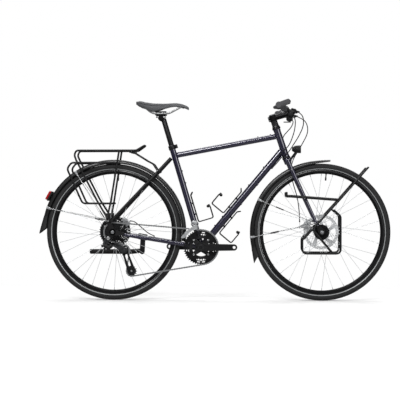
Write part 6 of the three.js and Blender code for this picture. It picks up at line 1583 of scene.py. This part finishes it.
for way in (-1, 1):
    link(bm, (FRONT.x, FRONT.z), 15, (FRONT.x - 28.6, FRONT.z + 48), 8, way * 50.1, way * 55.9,
         0.9, [circle_points(FRONT.x, FRONT.z, 5.3, 24)])
calliper_out = toward(FRONT_CALLIPER)
tab = FRONT + calliper_out * 83 - quarter_on(calliper_out) * 24
at_tab = blade_foot.lerp(blade_top, (tab.z - blade_foot.z) / (blade_top.z - blade_foot.z))
link(bm, (at_tab.x, at_tab.z), 7, (tab.x, tab.z), 7, 51.4, 56.8, 0.9,
     [circle_points(tab.x, tab.z, 3, 16)])
piece("fork_dropouts", bm, black_coat, "fork", (), 40)
bosses, studs = bmesh.new(), bmesh.new()
for way in (-1, 1):
    out = ALONG_Y * way
    for share, wide in ((0.86, 11.6), (0.58, 10.3), (0.44, 9.8)):
        spot = blade_foot.lerp(blade_top, share) * Vector((1, way, 1))
        rod(bosses, spot + out * (wide - 2), spot + out * (wide + 2.4), 4.4, 4, sides=24, edge=0.4)
        bolt(studs, spot + out * (wide + 2.4), out, 3.4, 2)
piece("fork_bosses", bosses, paint, "fork")
piece("fork_boss_bolts", studs, steel, "fork")
bm = bmesh.new()
crown_front = on_steerer(CROWN_TOP - 16, 9.5)
for way in (-1, 1):
    link(bm, (crown_front.x, crown_front.z), 6, LAMP_PIVOT, 6, way * 9.1, way * 11.4, 0.4,
         [circle_points(*LAMP_PIVOT, 2.6, 16)])
    bolt(bm, at(931, way * 11.5, 752), ALONG_Y * way, 4, 2.6)
bolt(bm, on_steerer(CROWN_TOP - 16, 18.2), STEER_AHEAD, 4.6, 3)
piece("headlight_straps", bm, black_metal, "fork")

# Stem, spacers and handlebar

bm = bmesh.new()
for low_side, high_side in ((167.4, 176.6), (177, 186), (186.4, 193.6)):
    collar(bm, HEAD_FOOT, STEER_UP, 14.7, 17, low_side, high_side, 48, (0.5, 0.5))
piece("steerer_spacers", bm, black_metal, "fork")
bm = bmesh.new()
stem_middle = on_steerer(STEM_FOOT + 15.5)
rod(bm, on_steerer(STEM_FOOT), on_steerer(STEM_FOOT + 31), 18, sides=48)
rod(bm, stem_middle, BAR_CENTRE, 14.5, sides=36)
face = (BAR_CENTRE - stem_middle).normalized()
rise = quarter_on(face)
block(bm, on_steerer(STEM_FOOT + 15.5, -19), (12, 15, 27), about_y(-18.6), 3)
cross_rod(bm, BAR_CENTRE.x, BAR_CENTRE.z, -22, 22, 19.6, 48)
piece("stem_body", melted(bm, 1.0, 4), black_metal, "fork", "stem", 60)
bm = bmesh.new()
revolve(bm, [(0, 0), (16.8, 0), (17, 0.5), (16.6, 4), (15, 5), (6, 5), (5, 4), (0, 4)],
        on_steerer(STEM_FOOT + 31), STEER_UP, 44)
bolt(bm, on_steerer(STEM_FOOT + 35), STEER_UP, 4.6, 1.6)
for lift in (-8, 8):
    spot = on_steerer(STEM_FOOT + 15.5 + lift, -21)
    rod(bm, spot + at(0, -8, 0), spot + at(0, 8, 0), 2.4, sides=14)
    bolt(bm, spot + at(0, -7.4, 0), -ALONG_Y, 3.6, 2.6)
for lift in (-14.6, 14.6):
    for side in (-15, 15):
        bolt(bm, BAR_CENTRE + face * 13.4 + rise * lift + at(0, side, 0), face, 3.6, 3)
piece("stem_cap_and_bolts", bm, chain_steel, "fork")
bm = bmesh.new()
for lift in (-1, 1):
    for side in (-15, 15):
        block(bm, BAR_CENTRE + face * 8 + rise * (lift * 14.2) + at(0, side, 0), (12, 9, 9),
              Matrix((face, ALONG_Y, rise)).transposed(), 2)
piece("stem_face_plate_lugs", bm, black_metal, "fork")

bm = bmesh.new()
bar_path = rounded([BAR_END, BAR_KNEE, flipped(BAR_KNEE), flipped(BAR_END)], 70, 10)
sweep(bm, bar_path, (11.1, 36), (1, 0, 0))
revolve(bm, [(10.9, -40), (13, -33), (15.2, -27), (15.6, -23), (15.6, 23), (15.2, 27), (13, 33),
             (10.9, 40)], BAR_CENTRE, ALONG_Y, 44)
piece("handlebar_tube", bm, black_metal, "fork", "handlebar", 60)


def put(bm, distance, way):
    """Moves a finished shape onto the bar, mirrored for the right side."""
    bmesh.ops.transform(bm, matrix=spot_on_bar(distance, way), verts=bm.verts)
    if way < 0:
        bmesh.ops.reverse_faces(bm, faces=bm.faces)


def make_grip(hand, way):
    """A grip with its palm wing and its short bar end, and the ring that clamps it."""
    bm = bmesh.new()
    length = GRIP_LENGTH
    rod(bm, at(0, 0.4, 0), at(0, length - 1, 0), 16, sides=36, edge=2)
    tilt = about_y(-18)
    for x, y, size in ((-14, 62, (17, 36, 6.2)), (-20, 88, (17.4, 34, 5.6)),
                       (-18, 108, (16, 19, 5.4)), (-8, 76, (14, 46, 9))):
        ball(bm, tilt @ at(x, y, 0), size, tilt)
    horn = [tilt @ p for p in (at(-4, length - 11, 0), at(14, length - 10.6, 0),
                               at(36, length - 11, 0), at(52, length - 13.4, 0),
                               at(61, length - 15.6, 0))]
    sweep(bm, smooth_curve(horn, 4), (1, 24), ALONG_Y,
          [(8.6, 14)] * 3 + [(8.8, 14.2)] * 10 + [(8.2, 12), (6.6, 9), (3.6, 5), (1.2, 2)])
    bm = melted(bm, 1.3, 5)
    put(bm, length - GRIP_CAP, way)
    piece(f"{hand}_grip", bm, grip_rubber, "fork", f"grip_{hand}", 80)
    bm = bmesh.new()
    revolve(bm, [(11.3, -2.4), (15.2, -2.4), (16, -1.6), (16, 5), (15.4, 5.8), (11.3, 5.8)],
            at(0, 0, 0), ALONG_Y, 36, ring=True)
    bolt(bm, at(9, 1.7, -13.2), at(0.5, 0, -1), 2.6, 1.8)
    put(bm, length - GRIP_CAP + 2.4, way)
    piece(f"{hand}_grip_clamp_ring", bm, black_metal, "fork")


def make_control(hand, way):
    """Brake-lever bracket and shifter pod, clamped on the bar."""
    bm = bmesh.new()
    collar(bm, at(0, 0, 0), ALONG_Y, 11.3, 16.6, -6.8, 6.8, 40, (1.2, 1.0))
    put(bm, CONTROL_AT, way)
    piece(f"{hand}_control_clamp", bm, black_metal, "fork")
    bm = bmesh.new()
    block(bm, at(33, -13, -12.2), (40, 37, 16), None, 4)
    block(bm, at(17, -4, -9), (18, 13, 17), None, 4)
    rod(bm, at(52, -24, -12), at(59, -24.4, -12), 6, 4.6, sides=24)
    body = melted(bm, 1.1, 3)
    cut = bmesh.ops.create_cube(body, size=1, matrix=Matrix.Translation((49.2, -13, -12))
                                @ Matrix.Diagonal((25, 44, 12.8, 1)))
    bmesh.ops.delete(body, geom=cut["verts"], context="VERTS")
    put(body, CONTROL_AT, way)
    piece(f"{hand}_control_lever_bracket", body, black_plastic, "fork",
          f"control_{hand}", 70)
    bm = bmesh.new()
    y_low, y_high = -28.6, 6.6
    revolve(bm, [(0, y_low), (12, y_low), (14.4, y_low + 2), (15, y_low + 5), (15, y_high - 4),
                 (13.6, y_high - 1), (11, y_high), (0, y_high)], at(22, 0, -25.5), ALONG_Y, 44)
    block(bm, at(21, -10, -19), (22, 24, 12), None, 4)
    rod(bm, at(22, -27, -25.5), at(22, -34, -25.5), 5, 4, sides=24)
    body = melted(bm, 1.1, 3)
    put(body, CONTROL_AT, way)
    piece(f"{hand}_control_shifter_pod", body, black_plastic, "fork", (), 70)
    bm = bmesh.new()
    revolve(bm, [(0, 6.5), (8.6, 6.5), (9, 7), (8.6, 7.8), (0, 8.1)], at(22, 0, -25.5),
            ALONG_Y, 32)
    for x, z in circle_points(22, -25.5, 4.6, 16):
        cross_rod(bm, x, z, -34, -30, 0.7, 6)
    rod(bm, at(57, -24.3, -12), at(63, -24.6, -12), 4.2, 3.6, sides=20, edge=0.5)
    put(bm, CONTROL_AT, way)
    piece(f"{hand}_control_adjusters", bm, black_metal, "fork")


def make_lever(hand, way):
    """A brake lever's blade and the pin it turns on."""
    name, node_name = f"{hand}_brake_lever", f"brake_lever_{hand}"
    bm = bmesh.new()
    x, z = 46, -12
    revolve(bm, [(0, -5.8), (7.6, -5.8), (8, -5.4), (8, 5.4), (7.6, 5.8), (0, 5.8)],
            at(x, 0, z), UP, 32)
    path = rounded([at(x, 0, z), at(x + 12, 35.4, z), at(x + 12, 112, z - 7)], 29.5, 8)
    last = len(path) - 1
    sizes = [(1.0 - 0.18 * (i / last), 1.0 if i < last else 0.9) for i in range(last + 1)]
    section = [(c * (3.5 if abs(c) < 0.7 else 3.29), 6.4 * s)
               for c, s in circle_points(0, 0, 1, 20)]
    sweep(bm, path, section, (1, 0, 0), sizes)
    ball(bm, at(x + 12, 113, z - 7), (4.6, 5, 6.2))
    put(bm, CONTROL_AT, way)
    piece(name, bm, black_metal, node_name, node_name, 50)
    bm = bmesh.new()
    rod(bm, at(x, 0, z - 8.8), at(x, 0, z + 8.8), 2.9, sides=20, edge=0.4)
    put(bm, CONTROL_AT, way)
    piece(f"{name}_pin", bm, steel, node_name)


def make_trigger(hand, way):
    """The shift lever under the pod, with a ribbed thumb end."""
    node_name = f"shift_lever_{hand}"
    x, y, z = 22, -11, -43.35
    bm = bmesh.new()
    plate(bm, link_outline((0, 0), 7, (-16, 34), 7, 12), -2.5, 2.5, (), 1.4)
    bmesh.ops.transform(bm, matrix=Matrix.Translation((x, y, z))
                        @ Matrix(((1, 0, 0, 0), (0, 0, 1, 0), (0, -1, 0, 0), (0, 0, 0, 1))),
                        verts=bm.verts)
    for i in range(4):
        spot = at(x - 16 + 1.2 * i - 2, y + 34 - 2.4 * i + 3, z - 2.5)
        block(bm, spot, (7, 0.9, 0.7), None, 0.2, 1)
    put(bm, CONTROL_AT, way)
    piece(f"{hand}_shift_trigger", bm, black_plastic, node_name, node_name)


for bar_side, way in (("left", 1), ("right", -1)):
    for make in (make_grip, make_control, make_lever, make_trigger):
        make(bar_side, way)

# Seatpost and saddle

POST_TOP = SEAT_TOP + SEAT_UP * 158
POST_HEAD = POST_TOP + at(-12, 0, 0)
RAIL_Z, RAIL_Y = 962, 22

bm = bmesh.new()
rod(bm, SEAT_TOP - SEAT_UP * 150, POST_TOP - SEAT_UP * 6, 13.6, sides=48, edge=0.6)
for lift in (-30, -33):
    revolve(bm, [(13.5, lift), (13.66, lift + 0.3), (13.66, lift + 0.7), (13.5, lift + 1)],
            SEAT_TOP, SEAT_UP, 48, ring=True)
piece("seatpost_tube", bm, black_metal, "seatpost", "seatpost", 50)
bm = bmesh.new()
rod(bm, POST_TOP - SEAT_UP * 22, POST_TOP - SEAT_UP * 3, 13.8, 13, sides=36)
rod(bm, POST_TOP - SEAT_UP * 12, POST_HEAD, 12.6, sides=30)
cross_rod(bm, POST_HEAD.x, POST_TOP.z, -19, 19, 14.4, 40)
block(bm, at(POST_HEAD.x, 0, RAIL_Z - 8.6), (48, 30, 10), None, 3)
piece("seatpost_head", melted(bm, 1.1, 4), black_metal, "seatpost", (), 70)
bm = bmesh.new()
for way in (-1, 1):
    for side in (-1, 1):
        block(bm, at(POST_HEAD.x, side * 20, RAIL_Z + way * 7.4), (58, 9.6, 6.8), None, 2)
    block(bm, at(POST_HEAD.x, 0, RAIL_Z + way * 7.6), (56 if way > 0 else 36, 36, 6), None, 2)
    for x in (-21.7, 21.7):
        block(bm, at(POST_HEAD.x + x, 0, RAIL_Z + way * 8), (12, 20, 7.4), None, 2.4)
piece("saddle_clamp", bm, black_metal, "seatpost")
bm = bmesh.new()
for x in (-21.7, 21.7):
    rod(bm, at(POST_HEAD.x + x, 0, RAIL_Z - 20), at(POST_HEAD.x + x, 0, RAIL_Z + 10), 2.8,
        sides=16)
    revolve(bm, [(0, 0), (4.8, 0), (5, 0.4), (5, 4.6), (4.4, 5), (0, 5)],
            at(POST_HEAD.x + x, 0, RAIL_Z - 22), UP, 20)
    cross_rod(bm, POST_HEAD.x + x, RAIL_Z + 10, -7, 7, 4.4, 20, 0.6)
piece("saddle_clamp_bolts", bm, steel, "seatpost")


def saddle_half(s):
    """Half the saddle's width at a share of its length from the tail."""
    tail = math.sqrt(max(1 - (1 - min(s / 0.16, 1)) ** 2, 0))
    nose = math.sqrt(max(1 - max((s - 0.93) / 0.07, 0) ** 2, 0))
    taper = 0.5 + 0.5 * math.cos(math.pi * min(max((s - 0.12) / 0.55, 0), 1))
    return (20 + 56 * taper) * tail * nose


SADDLE_TOP = [(0, 1027.6), (0.1, 1025), (0.2, 1018), (0.35, 1013), (0.5, 1013.2), (0.65, 1015.6),
              (0.76, 1016), (0.86, 1012.8), (0.94, 1005.4), (1, 997)]
SADDLE_UNDER = [(0, 1008), (0.06, 997), (0.15, 984), (0.25, 967), (0.35, 963), (0.45, 971),
                (0.55, 984), (0.65, 993), (0.74, 996), (0.83, 991), (1, 989)]


def saddle_line(table, s):
    """A height along the saddle, read smoothly from a table."""
    for (s0, z0), (s1, z1) in zip(table, table[1:]):
        if s <= s1:
            t = (s - s0) / (s1 - s0)
            return z0 + (z1 - z0) * (0.6 * t + 0.4 * t * t * (3 - 2 * t))
    return table[-1][1]


def saddle_form(ring_at):
    """A closed form along the saddle: ring_at gives a point for a share and an angle round."""
    bm = bmesh.new()
    stations, around, rings = 72, 64, []
    for i in range(1, stations):
        s = 0.5 - 0.5 * math.cos(math.pi * i / stations)
        rings.append([bm.verts.new(ring_at(s, FULL * k / around)) for k in range(around)])
    ends = [bm.verts.new(sum((v.co for v in ring), Vector()) / around + at(way * 0.6, 0, 0))
            for ring, way in ((rings[0], -1), (rings[-1], 1))]
    for before, after in zip(rings, rings[1:]):
        for k in range(around):
            bm.faces.new((before[k - 1], before[k], after[k], after[k - 1]))
    for end, ring in zip(ends, (rings[0], rings[-1])):
        for k in range(around):
            bm.faces.new((ring[k - 1], ring[k], end))
    return bm


def saddle_x(s, shrink=0.0):
    return 390 - shrink - (278 - 2 * shrink) * (1 - s)


def pad_point(s, angle):
    """The cover, drawn a little small because the pad swells under it."""
    across, up = math.cos(angle), math.sin(angle)
    half = max(saddle_half(s) - 1.6, 0.6)
    top, edge = saddle_line(SADDLE_TOP, s) - 1.2, saddle_line(SADDLE_TOP, s) - 12
    if up > 0:
        channel = 2.6 * math.exp(-(across * half / 8) ** 2) * min(max((s - 0.1) / 0.12, 0), 1) * (
            min(max((0.74 - s) / 0.15, 0), 1))
        height = edge + (top - edge) * up ** 0.9 - channel
        width = abs(across) ** 0.8
    else:
        height = edge - 6.5 * (-up) ** 0.7
        width = abs(across) ** 0.62 * (1 - 0.07 * up * up)
    return at(saddle_x(s, 1.6), math.copysign(width * half, across), height)


def base_point(s, angle):
    """The hard shell under the pad."""
    across, up = math.cos(angle), math.sin(angle)
    half = max(saddle_half(s) - 2.4, 0.4)
    edge, under = saddle_line(SADDLE_TOP, s) - 16, saddle_line(SADDLE_UNDER, s) + 0.5
    if up > 0:
        return at(saddle_x(s, 2.6), math.copysign(abs(across) ** 0.6 * half * 0.94, across),
                  edge + 0.8 * up)
    drawn = 1 - 0.1 * up * up
    arch = max(990 - under, 0) * math.exp(-(across / 0.5) ** 4)
    return at(saddle_x(s, 2.6), math.copysign(abs(across) ** 0.6 * half * drawn, across),
              edge + (under + arch - edge) * (-up) ** 0.9)


def puffed(bm, voxel, pressure, cap):
    """A stuffed pad: its mesh swells under pressure as cloth does, up to a cap, and is kept so."""
    bmesh.ops.recalc_face_normals(bm, faces=bm.faces)
    bm.transform(TO_ROW)
    scene = bpy.context.scene
    pad = new_object("pad", bm)
    remeshed(pad, voxel)
    pad.data = modified_mesh(pad)
    pad.modifiers.clear()
    rest = [v.co.copy() for v in pad.data.vertices]
    cloth = pad.modifiers.new("Cloth", "CLOTH")
    cloth.settings.quality = 6
    cloth.settings.mass = 0.2
    cloth.settings.use_pressure = True
    cloth.settings.uniform_pressure_force = pressure
    cloth.settings.effector_weights.gravity = 0
    cloth.point_cache.frame_start, cloth.point_cache.frame_end = 1, 20
    for frame_number in range(1, 21):
        scene.frame_set(frame_number)
    swollen = modified_mesh(pad)
    pad.modifiers.clear()
    scene.frame_set(1)
    for before, vertex in zip(rest, swollen.vertices):
        move = vertex.co - before
        if move.length > cap:
            vertex.co = before + move * (cap / move.length)
    pad.data = swollen
    finer = pad.modifiers.new("Subdivision", "SUBSURF")
    finer.levels = finer.render_levels = 1
    relaxed(pad, 3)
    result = bmesh.new()
    result.from_mesh(modified_mesh(pad))
    bpy.data.objects.remove(pad)
    result.transform(TO_MM)
    return result


pad = piece("saddle_pad", puffed(saddle_form(pad_point), 0.004, 4.0, 0.0016), saddle_cover,
            "seatpost", "saddle", 80)
piece("saddle_base", saddle_form(base_point), saddle_cover, "seatpost", (), 50)
bm = bmesh.new()
for way in (-1, 1):
    seam = []
    for i in range(57):
        s = 0.07 + 0.87 * i / 56
        seam.append(pad_point(s, math.radians(24)) * Vector((1, way, 1)))
    sweep(bm, [p + at(0, way * 0.75, 0.55) for p in seam], (0.55, 8), None,
          [0.4, *[1] * 55, 0.4])
piece("saddle_seams", bm, black_plastic, "seatpost", (), 60)
bm = bmesh.new()
for way in (-1, 1):
    rail = [at(352, way * 6.6, 997), at(282, way * RAIL_Y, RAIL_Z), at(196, way * RAIL_Y, RAIL_Z),
            at(150, way * RAIL_Y, 999)]
    sweep(bm, rounded(rail, 60, 8), (3.5, 20))
piece("saddle_rails", bm, steel, "seatpost", (), 60)
bm = bmesh.new()
block(bm, at(354, 0, 995), (18, 24, 12), about_y(20), 3)
for way in (-1, 1):
    block(bm, at(150, way * RAIL_Y, 999), (15, 14, 12), about_y(-40), 3)
piece("saddle_rail_sockets", bm, black_plastic, "seatpost")

# Cable housings: each runs from its control to the frame or a brake, the last along the stay


def cable_line(points, steps):
    """A smooth curve through every point, which keeps its shape where the points are close."""
    points = [Vector(p) for p in points]
    ends = [points[0] * 2 - points[1], *points, points[-1] * 2 - points[-2]]
    line = []
    for a, b, c, d in zip(ends, ends[1:], ends[2:], ends[3:]):
        before, here, after = ((q - p).length ** 0.5 for p, q in ((a, b), (b, c), (c, d)))
        start = ((b - a) / before - (c - a) / (before + here) + (c - b) / here) * here
        end = ((c - b) / here - (d - b) / (here + after) + (d - c) / after) * here
        for i in range(steps):
            t = i / steps
            line.append(b + start * t + (b * -3 + c * 3 - start * 2 - end) * t ** 2
                        + (b * 2 - c * 2 + start + end) * t ** 3)
    return line + [points[-1]]


def outlet(side, ahead, out, up):
    return spot_on_bar(CONTROL_AT, side) @ at(ahead, out, up)


def lever_outlet(side):
    return outlet(side, 57.1, -24.8, -12)


def pod_outlet(side):
    return outlet(side, 22, -31, -25.55)


def make_cable(name, node_name, body, points, radius=2.5):
    line = cable_line(points, max(2, round(36 / (len(points) - 1))))
    bm = bmesh.new()
    sweep(bm, line, (radius, 16))
    cable = piece(name, bm, cable_cover, body, node_name, 60)
    bm = bmesh.new()
    for end, inner in ((line[0], line[1]), (line[-1], line[-2])):
        way = (inner - end).normalized()
        revolve(bm, [(radius + 0.05, 0.2), (radius + 0.5, 0.2), (radius + 0.7, 0.6),
                     (radius + 0.7, 8), (radius + 0.3, 9), (radius + 0.05, 9)], end, way, 20,
                ring=True)
    piece(f"{name}_end_caps", bm, black_metal, body)


FRONT_BRAKE = [(990, 120, 925), (1000, 84, 870), (968, 64, 800), (925, 57, 725), (912, 57.5, 665),
               (925, 57, 600), (945, 54, 530), (955, 51, 460), (957.5, 51.5, 415),
               (957.8, 52.5, 401)]
REAR_BRAKE = [(968, -125, 935), (972, -95, 895), (955, -66, 850), (925, -44, 800), (893, -30, 755),
              (867, -22, 737), (840, -12, 706), (811.9, -6.6, 675.5)]
LEFT_SHIFT = [(925, 105, 925), (915, 65, 895), (893, 35, 868), (875, 25, 845), (862, 24, 800),
              (850, 23, 760), (835, 20, 728)]
RIGHT_SHIFT = [(930, -108, 922), (930, -75, 880), (918, -48, 835), (900, -34, 795),
               (872, -27, 765), (852, -23, 745), (835, -19.3, 728)]
STAY_TO_BRAKE = [(206, 48, 326.8), (170, 51, 345), (130, 55, 378), (96, 60, 403), (73, 60.8, 407)]
make_cable("front_brake_housing", "front_brake_cable", "fork", [lever_outlet(1), *FRONT_BRAKE])
bm = bmesh.new()
sweep(bm, [at(957.8, 52.5, 402), at(958, 53.6, 383), at(957.8, 54, 378)], (0.8, 10))
piece("front_brake_inner_wire", bm, spoke_steel, "front_brake_arm")
make_cable("rear_brake_housing", "rear_brake_cable", "fork", [lever_outlet(-1), *REAR_BRAKE])
make_cable("left_shift_housing", "left_shift_cable", "fork", [pod_outlet(1), *LEFT_SHIFT])
make_cable("right_shift_housing", "right_shift_cable", "fork", [pod_outlet(-1), *RIGHT_SHIFT])
make_cable("rear_brake_run_housing", "rear_brake_run", "frame", STAY_TO_BRAKE)

# Stage: pale floor and backdrop, soft studio light, and the camera at the photograph's view

stage_scene = bpy.context.scene
stage_scene.view_settings.view_transform = "Standard"

bm = bmesh.new()
bmesh.ops.create_grid(bm, x_segments=1, y_segments=1, size=1)
for corner in bm.verts:
    corner.co.x *= 2.6
    corner.co.y = corner.co.y * 3.4 - 2.5
floor = new_object("Studio_floor", bm)


def look_by_ray(tree, output, plain, seen, mirrored):
    """One look for what the camera sees, one for mirrored rays, and plain for all others."""
    ray = tree.nodes.new("ShaderNodeLightPath")
    direct = math_node(tree, "MAXIMUM", ray.outputs["Is Camera Ray"],
                       ray.outputs["Is Transmission Ray"])
    look = node(tree, "ShaderNodeMixShader", i0=direct, i1=plain.outputs[0], i2=seen.outputs[0])
    look = node(tree, "ShaderNodeMixShader", i0=ray.outputs["Is Glossy Ray"], i1=look.outputs[0],
                i2=mirrored.outputs[0])
    tree.links.new(look.outputs[0], tree.nodes[output].inputs["Surface"])


WHITE = (1, 1, 1, 1)

floor_finish = bpy.data.materials.new("Pale studio floor")
floor_finish.use_nodes = True
tree = floor_finish.node_tree
matte = tree.nodes["Principled BSDF"]
matte.inputs["Base Color"].default_value = (0.82, 0.82, 0.82, 1)
matte.inputs["Roughness"].default_value = 0.9
matte.inputs["Specular IOR Level"].default_value = 0.0
glow = node(tree, "ShaderNodeEmission", Color=WHITE, Strength=0.08)
lit = node(tree, "ShaderNodeAddShader", i0=matte.outputs[0], i1=glow.outputs[0])
look_by_ray(tree, "Material Output", matte, lit,
            node(tree, "ShaderNodeEmission", Color=WHITE, Strength=0.22))
floor.data.materials.append(floor_finish)

world = bpy.data.worlds.new("Studio")
world.use_nodes = True
stage_scene.world = world
tree = world.node_tree
plain = tree.nodes["Background"]
plain.inputs["Color"].default_value = WHITE
plain.inputs["Strength"].default_value = 0.5
look_by_ray(tree, "World Output", plain,
            node(tree, "ShaderNodeBackground", Color=WHITE, Strength=1.0),
            node(tree, "ShaderNodeBackground", Color=WHITE, Strength=0.1))


def lamp(name, place, target, size, power):
    data = bpy.data.lights.new(name, "AREA")
    data.shape = "RECTANGLE"
    data.size, data.size_y = size
    data.energy = power
    obj = bpy.data.objects.new(name, data)
    stage_scene.collection.objects.link(obj)
    obj.location = place
    obj.rotation_euler = (Vector(target) - Vector(place)).to_track_quat("-Z", "Y").to_euler()


lamp("Key_light", (-1.6, -3.6, 3.2), (0, 0, 0.5), (2.4, 1.6), 75)
lamp("Fill_light", (2.8, -3.0, 1.6), (0, 0, 0.5), (2.0, 2.0), 30)
lamp("Top_light", (0.0, 0.6, 3.6), (0, 0, 0.4), (3.6, 1.6), 55)
lamp("Back_light", (0.4, 3.6, 2.2), (0, 0, 0.5), (3.0, 1.6), 45)
lamp("Strip_light", (-0.2, -2.6, 2.6), (0, 0, 0.5), (3.6, 0.12), 34)

camera_data = bpy.data.cameras.new("Camera")
camera_data.lens = 108.4
camera_data.sensor_width = 36
camera_data.clip_end = 200
camera = bpy.data.objects.new("Camera", camera_data)
stage_scene.collection.objects.link(camera)
camera.location = (0.2617, -6.2, 0.5157)
camera.rotation_euler = (math.radians(90), 0, math.radians(3.065))
stage_scene.camera = camera
